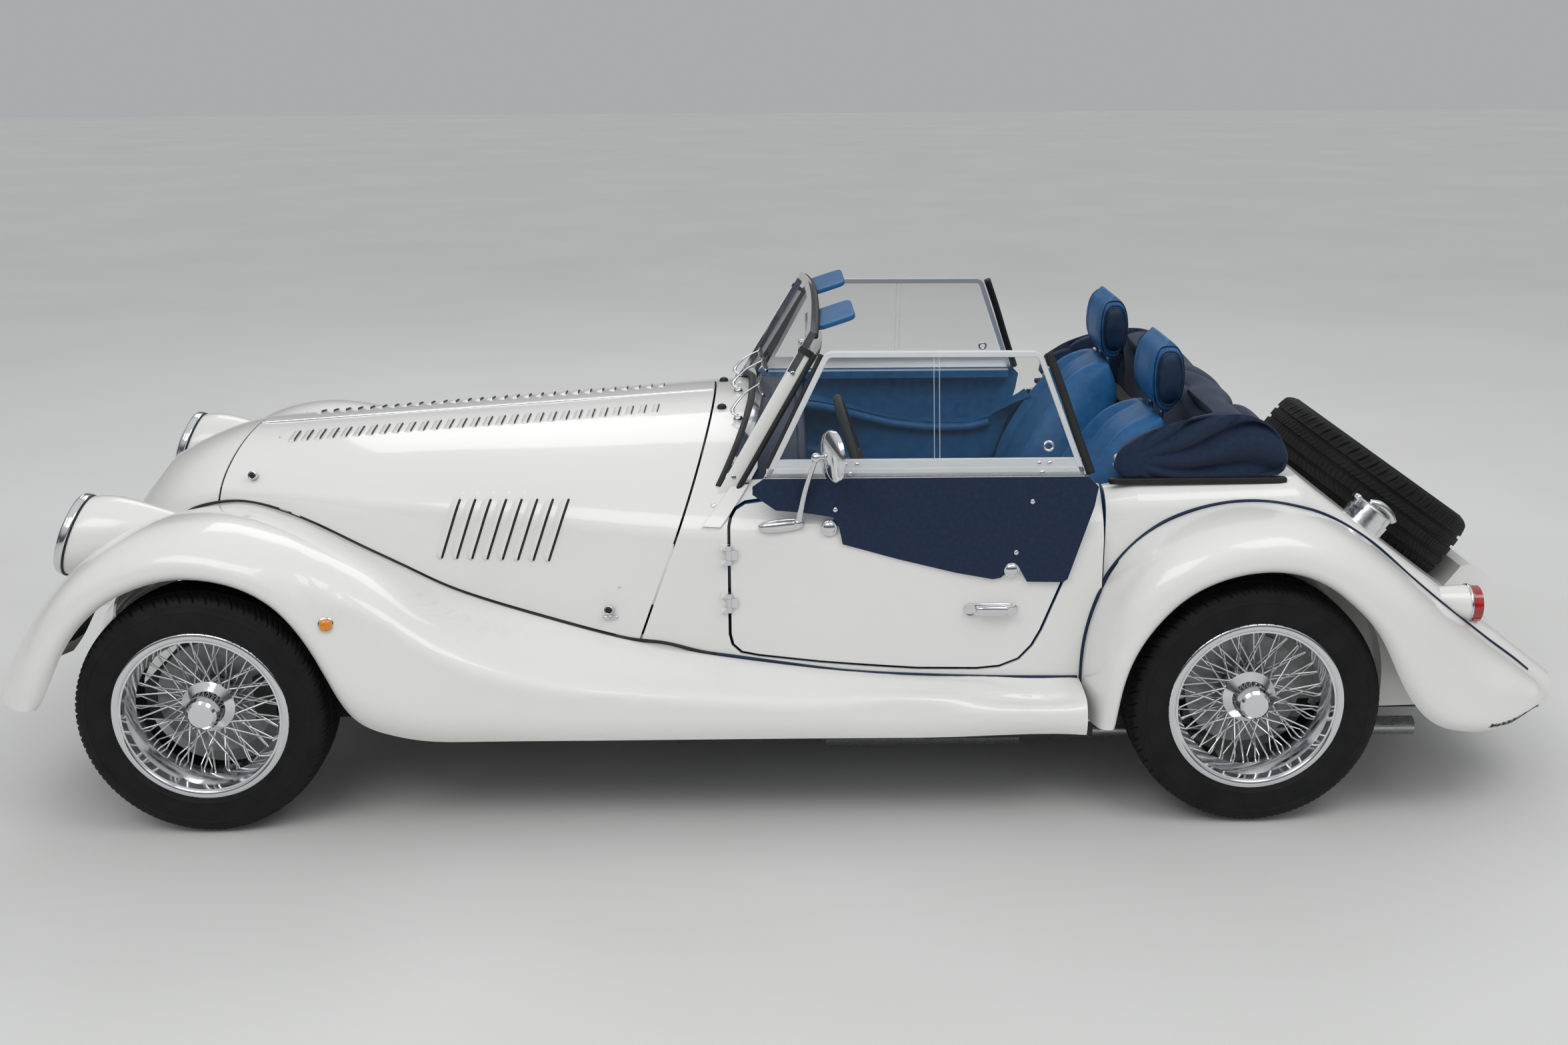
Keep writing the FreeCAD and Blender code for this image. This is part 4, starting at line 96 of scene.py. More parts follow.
def finish(name, **sockets):  # a Principled material; socket names with underscores for spaces
    made = bpy.data.materials.new(name)
    made.use_nodes = True
    tree = made.node_tree
    shader = tree.nodes["Principled BSDF"]
    for socket, value in sockets.items():
        shader.inputs[socket.replace("_", " ")].default_value = value
    place = addNode(tree, "ShaderNodeTexCoord").outputs["Object"]
    return made, tree, shader, place


def grainBump(
        tree, shader, place, scale, distance, strength=0.3, detail=3.0, kind="ShaderNodeTexNoise",
        output=None):
    # Fine relief: scale is 1 over the grain in metres, distance its height in metres.
    noise = addNode(
        tree, kind,
        {"Scale": scale} if kind != "ShaderNodeTexNoise" else {"Scale": scale, "Detail": detail},
        {"Vector": place})
    height = noise.outputs[output] if output else noise.outputs[0]
    bump = addNode(tree, "ShaderNodeBump", {"Distance": distance, "Strength": strength}, {"Height": height})
    tree.links.new(bump.outputs["Normal"], shader.inputs["Normal"])
    return noise


def roughnessDrift(tree, shader, place, scale, low, high):
    # roughness = low + (high - low) (noise - 0.35) / 0.30
    noise = addNode(tree, "ShaderNodeTexNoise", {"Scale": scale, "Detail": 4.0}, {"Vector": place})
    spread = addNode(
        tree, "ShaderNodeMapRange", {"From Min": 0.35, "From Max": 0.65, "To Min": low, "To Max": high},
        {"Value": noise.outputs[0]})
    tree.links.new(spread.outputs["Result"], shader.inputs["Roughness"])


def colourDrift(tree, shader, place, scale, dark, light, detail=4.0):
    # The base colour runs from dark to light while the noise runs from 0.3 to 0.7.
    noise = addNode(tree, "ShaderNodeTexNoise", {"Scale": scale, "Detail": detail}, {"Vector": place})
    tint = ramp(tree, noise.outputs[0], [(0.3, dark), (0.7, light)])
    tree.links.new(tint.outputs["Color"], shader.inputs["Base Color"])
    return tint


# two-pack pearl enamel, sprayed: a warm white with a soft sheen and a clear lacquer over it
pearlEnamel, t, s, p = finish("pearlEnamel", Roughness=0.34, Coat_Weight=0.7, Coat_Roughness=0.06)
colourDrift(t, s, p, 1.6, "#E3E2DE", "#E7E6E3", 2.0)
grainBump(t, s, p, 420, 0.00004, 0.25)

# chrome plate on brass and steel: a hard mirror with the faintest haze
chromePlate, t, s, p = finish("chromePlate", Metallic=1.0, Base_Color=hexLinear("#DDDFE1"))
roughnessDrift(t, s, p, 26, 0.04, 0.12)

# chromed wire and rim: bright, a touch hazier than the lamps' plate
wireChrome, t, s, p = finish("wireChrome", Metallic=1.0, Base_Color=hexLinear("#E2E3E5"))
roughnessDrift(t, s, p, 60, 0.05, 0.13)

# anodised aluminium extrusion: silver with a drawn grain along the bar
anodisedAluminium, t, s, p = finish("anodisedAluminium", Metallic=0.55, Base_Color=hexLinear("#E6E8E9"))
stretch = addNode(t, "ShaderNodeMapping", {"Scale": (30, 900, 900)}, {"Vector": p}).outputs["Vector"]
drawn = addNode(t, "ShaderNodeTexNoise", {"Scale": 1.0, "Detail": 2.0}, {"Vector": stretch})
haze = addNode(
    t, "ShaderNodeMapRange", {"From Min": 0.3, "From Max": 0.7, "To Min": 0.28, "To Max": 0.42},
    {"Value": drawn.outputs[0]})
t.links.new(haze.outputs["Result"], s.inputs["Roughness"])

# cast aluminium, machine polished: the filler cap and its lever
polishedAluminium, t, s, p = finish("polishedAluminium", Metallic=1.0, Base_Color=hexLinear("#E0E1E2"))
roughnessDrift(t, s, p, 90, 0.12, 0.24)

# cast iron disc, ground: fine rings about the axle and a dull grey
groundIron, t, s, p = finish("groundIron", Metallic=0.85, Roughness=0.42)
colourDrift(t, s, p, 40, "#7E7F80", "#9B9C9C")
grainBump(t, s, p, 700, 0.0001, 0.3)

# tyre compound, moulded: near black, matt, greyer where it has run
tyreRubber, t, s, p = finish("tyreRubber", Roughness=0.66, Specular_IOR_Level=0.22)
colourDrift(t, s, p, 22, "#121213", "#1B1B1C")
grainBump(t, s, p, 900, 0.00012, 0.35)

# upholstery hide, blue, embossed: pebble grain about 1 mm, soft sheen
blueHide, t, s, p = finish("blueHide", Roughness=0.46, Specular_IOR_Level=0.3)
colourDrift(t, s, p, 40, "#1B5384", "#226397")
grainBump(t, s, p, 950, 0.00018, 0.5, kind="ShaderNodeTexVoronoi", output="Distance")

# upholstery hide, navy: the side panels of the seats and the piped edges
navyHide, t, s, p = finish("navyHide", Roughness=0.48, Specular_IOR_Level=0.3)
colourDrift(t, s, p, 40, "#0C2039", "#102A47")
grainBump(t, s, p, 950, 0.00018, 0.5, kind="ShaderNodeTexVoronoi", output="Distance")

# acrylic mohair hood cloth, woven: threads about 0.9 mm, drawn at 2 mm so that they show
navyCloth, t, s, p = finish("navyCloth", Roughness=0.92, Sheen_Weight=0.08, Sheen_Roughness=0.55)
colourDrift(t, s, p, 90, "#0A1D38", "#0F2745")
across = addNode(
    t, "ShaderNodeTexWave", {"Scale": 160.0, "Distortion": 0.6, "bands_direction": "X"}, {"Vector": p})
along = addNode(
    t, "ShaderNodeTexWave", {"Scale": 160.0, "Distortion": 0.6, "bands_direction": "Z"}, {"Vector": p})
weave = addNode(t, "ShaderNodeMath", {"operation": "MULTIPLY"}, {0: across.outputs[1], 1: along.outputs[1]})
bump = addNode(t, "ShaderNodeBump", {"Distance": 0.0004, "Strength": 0.5}, {"Height": weave.outputs[0]})
t.links.new(bump.outputs["Normal"], s.inputs["Normal"])

# toughened glass: clear, with a faint cold tint
clearGlass, t, s, p = finish(
    "clearGlass", Roughness=0.01, IOR=1.45, Alpha=0.07, Base_Color=hexLinear("#5E6C70"))
# lamp glass, fluted: clear and bright over the reflector
lampGlass, t, s, p = finish(
    "lampGlass", Roughness=0.05, IOR=1.5, Alpha=0.3, Base_Color=hexLinear("#EEF2F3"), Coat_Weight=0.8,
    Coat_Roughness=0.02)

# black powder coat: frame, axles and brackets under the body
blackCoat, t, s, p = finish("blackCoat", Roughness=0.5)
colourDrift(t, s, p, 18, "#1A1A1B", "#242526")
grainBump(t, s, p, 500, 0.0001, 0.3)

# moulded black synthetic rubber: seals, strips and pads
sealRubber, t, s, p = finish("sealRubber", Roughness=0.6)
colourDrift(t, s, p, 40, "#101011", "#19191A")
grainBump(t, s, p, 800, 0.0001, 0.3)

# moulded acrylic lenses: red for the tail, amber for the wing repeater
redAcrylic, t, s, p = finish("redAcrylic", Roughness=0.12, IOR=1.49, Coat_Weight=1.0, Coat_Roughness=0.03)
colourDrift(t, s, p, 60, "#8E0B0C", "#B81414")
amberAcrylic, t, s, p = finish(
    "amberAcrylic", Roughness=0.12, IOR=1.49, Coat_Weight=1.0, Coat_Roughness=0.03)
colourDrift(t, s, p, 120, "#C8720E", "#E9951B")

# wool carpet, cut pile: deep blue loops of about 3 mm
blueCarpet, t, s, p = finish("blueCarpet", Roughness=0.95, Sheen_Weight=0.3, Sheen_Roughness=0.6)
colourDrift(t, s, p, 300, "#131C33", "#20304F")
grainBump(t, s, p, 340, 0.002, 0.7)

# stainless tube, brushed: the exhaust's ends
brushedStainless, t, s, p = finish("brushedStainless", Metallic=1.0, Base_Color=hexLinear("#BFC0C0"))
roughnessDrift(t, s, p, 70, 0.22, 0.38)
print("materials made")


# surfaces
def surface(name, points, closeAcross=False, closeAlong=False, caps=False):
    # A grid of points (along, across, 3) as a smooth quad surface; caps close its ends with a fan.
    along, across = points.shape[:2]
    index = np.arange(along * across).reshape(along, across)
    if closeAcross:
        index = np.hstack([index, index[:, :1]])
    if closeAlong:
        index = np.vstack([index, index[:1]])
    quads = np.stack([index[:-1, :-1], index[1:, :-1], index[1:, 1:], index[:-1, 1:]], -1).reshape(-1, 4)
    faces = quads.tolist()
    verts = points.reshape(-1, 3)
    if caps:
        ends = np.array([points[0].mean(0), points[-1].mean(0)])
        first = len(verts)
        verts = np.vstack([verts, ends])
        ring = index[0]
        faces += [[int(a), int(b), first] for a, b in zip(ring[:-1], ring[1:])]
        ring = index[-1]
        faces += [[int(b), int(a), first + 1] for a, b in zip(ring[:-1], ring[1:])]
    return meshOf(name, verts, faces)


def meshOf(name, verts, faces, smooth=True):  # doubles merged and faces turned outward
    mesh = bpy.data.meshes.new(name)
    mesh.from_pydata(np.asarray(verts, float).tolist(), [], faces)
    work = bmesh.new()
    work.from_mesh(mesh)
    bmesh.ops.remove_doubles(work, verts=work.verts, dist=1e-6)
    bmesh.ops.recalc_face_normals(work, faces=work.faces)
    work.to_mesh(mesh)
    work.free()
    mesh.polygons.foreach_set("use_smooth", [smooth] * len(mesh.polygons))
    return mesh


def piece(name, mesh, material, body, angle=None):
    # Puts a mesh in the scene, riding on a body; edges sharper than the angle in degrees stay sharp.
    made = bpy.data.objects.new(name, mesh)
    bpy.context.scene.collection.objects.link(made)
    for one in (material if isinstance(material, (list, tuple)) else [material]):
        mesh.materials.append(one)
    if angle is not None:
        sharpen(mesh, angle)
    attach(made, body)
    return made


def sharpen(mesh, angle):  # edges that turn more than the angle stay sharp
    mesh.set_sharp_from_angle(angle=math.radians(angle))


def unit(v):  # vectors over their own lengths
    return v / np.maximum(np.linalg.norm(v, axis=-1, keepdims=True), 1e-12)


def tubePoints(path, radius, sides=12, up=(0, 0, 1), closed=False, flat=1.0):
    # A round section carried along a path: each point is
    # centre + radius (cos turn side + flat sin turn rise).
    path = np.asarray(path, float)
    if closed:
        step = np.roll(path, -1, 0) - np.roll(path, 1, 0)
    else:
        step = np.gradient(path, axis=0)
    tangent = unit(step)
    side = unit(np.cross(tangent, np.asarray(up, float)))
    rise = np.cross(side, tangent)
    turn = np.linspace(0, 2 * math.pi, sides, endpoint=False)
    radius = np.broadcast_to(np.asarray(radius, float), (len(path),))[:, None, None]
    ring = np.cos(turn)[None, :, None] * side[:, None] + flat * np.sin(turn)[None, :, None] * rise[:, None]
    return path[:, None] + radius * ring


def tube(name, path, radius, sides=12, up=(0, 0, 1), closed=False, flat=1.0):
    # The points of tubePoints as a mesh; an open path's ends are closed with a fan.
    return surface(
        name, tubePoints(path, radius, sides, up, closed, flat), closeAcross=True, closeAlong=closed,
        caps=not closed)


def smoothPath(points, count):
    # A cubic through the points, by even steps of their own run: between a and b, with slopes ta
    # and tb, (2u^3 - 3u^2 + 1) a + (u^3 - 2u^2 + u) ta + (3u^2 - 2u^3) b + (u^3 - u^2) tb.
    points = np.asarray(points, float)
    run = np.r_[0, np.cumsum(np.linalg.norm(np.diff(points, axis=0), axis=1))]
    wanted = np.linspace(0, run[-1], count)
    slopes = np.gradient(points, run, axis=0)
    cell = np.clip(np.searchsorted(run, wanted, side="right") - 1, 0, len(run) - 2)
    width = (run[cell + 1] - run[cell])[:, None]
    u = ((wanted - run[cell])[:, None]) / width
    a, b = points[cell], points[cell + 1]
    ta, tb = slopes[cell] * width, slopes[cell + 1] * width
    fromA, fromB = 2 * u ** 3 - 3 * u ** 2 + 1, 3 * u ** 2 - 2 * u ** 3
    return fromA * a + (u ** 3 - 2 * u ** 2 + u) * ta + fromB * b + (u ** 3 - u ** 2) * tb


def axisFrame(axis):  # the axis as a unit vector, and two unit vectors across it
    axis = unit(np.asarray(axis, float))
    helper = np.array([0, 0, 1.0]) if abs(axis[2]) < 0.9 else np.array([1.0, 0, 0])
    right = unit(np.cross(axis, helper))
    return axis, right, np.cross(axis, right)


def lathe(name, profile, centre, axis, turns=64, closed=False):
    # A profile of (along, radius) pairs turned about an axis through centre: each point is
    # centre + along axis + radius (cos turn right + sin turn rise).
    axis, right, rise = axisFrame(axis)
    profile = np.asarray(profile, float)
    turn = np.linspace(0, 2 * math.pi, turns, endpoint=False)
    ring = np.cos(turn)[None, :, None] * right + np.sin(turn)[None, :, None] * rise
    points = np.asarray(centre, float) + profile[:, 0, None, None] * axis + profile[:, 1, None, None] * ring
    return surface(name, points, closeAcross=True, closeAlong=closed, caps=not closed)


def softBox(name, centre, size, axes=None, power=6.0, steps=(24, 32)):
    # A rounded block: a superellipsoid |x|^n + |y|^n + |z|^n = 1, scaled to half the size.
    lat = np.linspace(-math.pi / 2, math.pi / 2, steps[0])[:, None]
    lon = np.linspace(0, 2 * math.pi, steps[1], endpoint=False)[None, :]
    ball = np.stack([np.cos(lat) * np.cos(lon), np.cos(lat) * np.sin(lon), np.sin(lat) + 0 * lon], -1)
    reach = (np.abs(ball) ** power).sum(-1, keepdims=True) ** (-1 / power)
    points = ball * reach * (np.asarray(size, float) / 2)
    if axes is not None:
        points = points @ np.asarray(axes, float)
    return surface(name, points + np.asarray(centre, float), closeAcross=True)


def leaned(angle):  # the three axes after a turn about Y that lifts +X towards +Z
    return np.array(
        [[math.cos(angle), 0, math.sin(angle)], [0, 1, 0], [-math.sin(angle), 0, math.cos(angle)]])


def joinMeshes(name, meshes):  # several small meshes as one piece
    verts, faces, base = [], [], 0
    for mesh in meshes:
        co = np.zeros(len(mesh.vertices) * 3)
        mesh.vertices.foreach_get("co", co)
        verts.append(co.reshape(-1, 3))
        faces += [[v + base for v in poly.vertices] for poly in mesh.polygons]
        base += len(mesh.vertices)
        bpy.data.meshes.remove(mesh)
    made = bpy.data.meshes.new(name)
    made.from_pydata(np.vstack(verts).tolist(), [], faces)
    made.polygons.foreach_set("use_smooth", [True] * len(made.polygons))
    return made


def meshPoints(node):  # a node's vertices as an array
    co = np.zeros(len(nodes[node].data.vertices) * 3)
    nodes[node].data.vertices.foreach_get("co", co)
    return co.reshape(-1, 3)


def treeOf(*names):  # the surfaces of some nodes, for finding the nearest point on them
    verts, faces, base = [], [], 0
    for name in names:
        mesh = nodes[name].data
        verts.append(meshPoints(name))
        faces += [[v + base for v in poly.vertices] for poly in mesh.polygons]
        base += len(mesh.vertices)
    return BVHTree.FromPolygons(np.vstack(verts).tolist(), faces)


sides = {"left": -1, "right": 1}
wheelNames = ("front_left", "front_right", "rear_left", "rear_right")

# the CAD nodes' own finishes
paint = {
    pearlEnamel: [
        "front_wing_left", "front_wing_right", "rear_wing_left", "rear_wing_right", "nose_cowl",
        "front_valance", "headlamp_pods", "scuttle", "tail_body", "bonnet_left", "bonnet_right",
        "door_left", "door_right", "plate_plinth"],
    chromePlate: [
        "grille", "bonnet_hinge", "windscreen_frame", "door_fittings_left", "door_fittings_right"],
    wireChrome: ["spare_wheel"] + ["wire_wheel_" + w for w in wheelNames],
    anodisedAluminium: ["side_screen_left", "side_screen_right"], polishedAluminium: ["fuel_filler"],
    groundIron: ["brake_disc_" + w for w in wheelNames],
    tyreRubber: ["spare_tyre"] + ["tyre_" + w for w in wheelNames],
    blueHide: ["seat_left", "seat_right", "dashboard"], navyCloth: ["folded_hood"],
    clearGlass: ["windscreen_glass", "side_glass_left", "side_glass_right"], lampGlass: ["headlamp_lenses"],
    blackCoat: [
        "floor_tub", "chassis_frame", "firewall", "engine_block", "front_suspension", "rear_suspension",
        "front_knuckle_left", "front_knuckle_right"],
    sealRubber: ["steering_column", "steering_wheel"], redAcrylic: ["tail_lamps"],
    brushedStainless: ["exhaust"],
}
for material, names in paint.items():
    for name in names:
        mesh = nodes[name].data
        mesh.materials.clear()
        mesh.materials.append(material)
        mesh.polygons.foreach_set("material_index", np.zeros(len(mesh.polygons), dtype=np.int32))
print("nodes painted")

# tyres: a moulded section turned about the axle, its tread cut by grooves and sipes
tyre = {
    "radius": 0.3038, "crownDrop": 0.0078, "crownHalf": 0.081, "crownPower": 3.2, "grooves": (0.048, 0.017),
    "grooveTop": 0.0048, "grooveFloor": 0.0038, "grooveDepth": 0.0065, "pitches": 60, "columns": 8,
    "slant": 1.7, "shoulderSipe": 0.0050, "ribSipe": 0.0022}
spareCentre = at(2985, 0, 640)
spareLean = math.radians(35)


def tyreSection():
    # Half a section from bead to crown as (radius, width), mirrored. On the crown the radius is
    # radius - crownDrop (|width| / crownHalf)^crownPower; grooves are flat-bottomed notches in it.
    side = [
        (0.2085, 0.0850), (0.2130, 0.0880), (0.2200, 0.0915), (0.2215, 0.0930), (0.2235, 0.0925),
        (0.2330, 0.0955), (0.2440, 0.0972), (0.2560, 0.0978), (0.2660, 0.0972), (0.2670, 0.0982),
        (0.2690, 0.0968), (0.2780, 0.0945), (0.2870, 0.0900), (0.2930, 0.0850)]
    crown = [0.0810, 0.0765, 0.0700, 0.0620]
    for place in tyre["grooves"]:
        crown += [
            place + tyre["grooveTop"], place + tyre["grooveFloor"], place - tyre["grooveFloor"],
            place - tyre["grooveTop"]]
        if place > 0.02:
            crown += [0.0325]
    crown += [0.0]
    right = side + [
        (tyre["radius"] - tyre["crownDrop"] * (abs(y) / tyre["crownHalf"]) ** tyre["crownPower"], y)
        for y in crown]
    return np.array(right + [(r, -y) for r, y in right[::-1][1:]])


def treadTyre(name, centre, axis, body, replaced):
    # Points: centre + width along the axle + radius about it, less the depth of any groove or
    # sipe there.
    section = tyreSection()
    radius, width = section[:, 0], section[:, 1]
    count = tyre["pitches"] * tyre["columns"]
    turn = np.linspace(0, 2 * math.pi, count, endpoint=False)[:, None]
    lead = np.where(np.abs(width) > 0.03, 1, 0.6)[None, :]  # the middle rib's sipes slant less
    slanted = turn + tyre["slant"] * np.clip(np.abs(width), 0, 0.09)[None, :] * lead
    column = (np.arange(count) % tyre["columns"])[:, None]
    onTread = np.abs(width) < 0.082
    groove = np.min(np.abs(np.abs(width)[:, None] - np.array([tyre["grooves"]])), 1) < 0.0042
    depth = np.where(groove & onTread, tyre["grooveDepth"], 0.0)[None, :] + np.zeros((count, 1))
    shoulder = (np.abs(width) > 0.053) & (np.abs(width) < 0.090)
    rib = (np.abs(width) < 0.043)
    cut = np.where((column == 0) & shoulder[None, :], tyre["shoulderSipe"], 0.0)
    cut = np.maximum(cut, np.where((column == 4) & shoulder[None, :], tyre["ribSipe"], 0.0))
    cut = np.maximum(cut, np.where((column % 4 == 2) & rib[None, :], tyre["ribSipe"], 0.0))
    reach = radius[None, :] - np.maximum(depth, cut)
    inside = np.array([  # the carcass's inner wall
        (0.2085, -0.074), (0.225, -0.080), (0.25, -0.085), (0.275, -0.080), (0.288, -0.06), (0.292, 0.0),
        (0.288, 0.06), (0.275, 0.080), (0.25, 0.085), (0.225, 0.080), (0.2085, 0.074)])
    reach = np.hstack([reach, np.broadcast_to(inside[:, 0], (count, len(inside)))])
    width = np.r_[width, inside[:, 1]]
    slanted = np.hstack([slanted, np.broadcast_to(turn, (count, len(inside)))])
    axis, right, rise = axisFrame(axis)
    points = (np.asarray(centre) + width[None, :, None] * axis
              + reach[..., None] * (np.cos(slanted)[..., None] * right + np.sin(slanted)[..., None] * rise))
    made = piece(
        name, surface(name, points, closeAcross=True, closeAlong=True), tyreRubber, body,
        angle=38)
    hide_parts(replaced)


wheelCentres = {
    "front_left": at(0, -696, 304), "front_right": at(0, 696, 304), "rear_left": at(2520, -696, 304),
    "rear_right": at(2520, 696, 304)}
for name in wheelNames:
    treadTyre("tread_" + name, wheelCentres[name], (0, 1, 0), "wheel_" + name, "tyre_" + name)
spareAxis = np.array([math.sin(spareLean), 0, math.cos(spareLean)])
treadTyre("tread_spare", spareCentre, spareAxis, "chassis", "spare_tyre")

# the rim's rolled lip: half an ellipse across the flange, turned about the axle
rim = {"inner": 0.1925, "outer": 0.2120, "bulge": 0.0052}
rimMiddle, rimHalf = (rim["outer"] + rim["inner"]) / 2, (rim["outer"] - rim["inner"]) / 2
lipProfile = [
    (rim["bulge"] * math.sin(a), rimMiddle + rimHalf * math.cos(a)) for a in np.linspace(0, math.pi, 16)]
lipProfile += [(-0.003, rim["inner"]), (-0.003, rim["outer"])]
for name in wheelNames + ("spare",):
    spare = name == "spare"
    node = "spare_wheel" if spare else "wire_wheel_" + name
    centre = spareCentre if spare else wheelCentres[name]
    axis = spareAxis if spare else np.array([0, -1.0 if "left" in name else 1.0, 0])
    offset = meshPoints(node) - centre
    along = offset @ axis
    radius = np.linalg.norm(offset - along[:, None] * axis, axis=1)
    face = along[(radius > 0.198) & (radius < 0.2125)].max()
    piece(
        "rim_lip_" + name, lathe("rim_lip", lipProfile, centre + axis * face, axis, 120, closed=True),
        chromePlate, "chassis" if spare else "wheel_" + name)
print("tyres moulded")


def eased(line, passes=6):
    # Each pass gives every inner point 1/4 of the one before, 1/2 of its own and 1/4 of the next.
    line = line.copy()
    for _ in range(passes):
        line[1:-1] = 0.25 * line[:-2] + 0.5 * line[1:-1] + 0.25 * line[2:]
    return line


# seats: hide over foam, with raised bolsters and a sewn, fluted centre panel
seat = {
    "middle": 0.345, "bolster": 0.030, "bolsterPlace": 0.80, "seamPlace": 0.60, "seamDepth": 0.005,
    "flutes": 4, "fluteDepth": 0.004, "backHalf": [0.190, 0.212, 0.214, 0.205, 0.180, 0.150, 0.130],
    "baseHalf": [0.205, 0.212, 0.213, 0.210, 0.200], "runner": (1860, 345, 233),
    "runnerSize": (0.38, 0.20, 0.076)}
headrest = {
    "half": [0.112, 0.126, 0.128, 0.122, 0.105], "middle": (2341, 1040), "ovalHalf": (0.030, 0.064),
    "hoops": (1.04, 1.22), "pipe": 0.0024, "posts": (-0.06, 0.06), "postFoot": (2338, 915),
    "postHead": (2341, 975), "post": 0.006}


def padSurface(frontLine, backLine, middleY, halfWidths, bolster, flutes, steps=(96, 128), endRound=5.0):
    # A side line in front and one behind; across, a rounded rectangle: y = half sgn(cos) |cos|^0.42,
    # depth = reach sgn(sin) |sin|^0.62. On the front, bolsters stand out as exp(-x^2) bells, seams
    # sink as narrow ones, and flutes sink by fluteDepth (1 - |sin|^0.35).
    along = np.linspace(0, 1, steps[0])
    front = smoothPath(frontLine, steps[0])
    back = smoothPath(backLine, steps[0])
    half = np.interp(along, np.linspace(0, 1, len(halfWidths)), halfWidths)
    pinch = (1 - np.abs(2 * along - 1) ** endRound) ** (1 / 2.4)
    turn = np.linspace(0, 2 * math.pi, steps[1], endpoint=False)
    c, s = np.cos(turn), np.sin(turn)
    across = np.sign(c) * np.abs(c) ** 0.42
    thick = np.sign(s) * np.abs(s) ** 0.62
    share = np.abs(across)
    puff = np.exp(-((share - seat["bolsterPlace"]) / 0.15) ** 2) * bolster
    puff -= np.exp(-((share - seat["seamPlace"]) / 0.022) ** 2) * seat["seamDepth"]
    ribs = np.abs(np.sin(math.pi * flutes * (share / seat["seamPlace"]))) ** 0.35
    sunk = seat["fluteDepth"] - seat["fluteDepth"] * ribs
    puff -= np.where(share < seat["seamPlace"] - 0.05, sunk, 0.0)
    puff = np.where(s > 0.15, puff, 0.0)
    mid = (front + back) / 2
    reach = (front - back) / 2
    out = unit(reach)
    raised = out[:, None] * (puff[None, :] * pinch[:, None])[..., None]
    points = mid[:, None] + thick[None, :, None] * reach[:, None] * pinch[:, None, None] + raised
    shrink = 0.90 + 0.10 * pinch
    points[..., 1] = middleY + across[None, :] * (half * shrink)[:, None]
    return points


def sideLine(pairs):  # (station, height) pairs as points in the middle plane
    return np.array([at(s, 0, z) for s, z in pairs])


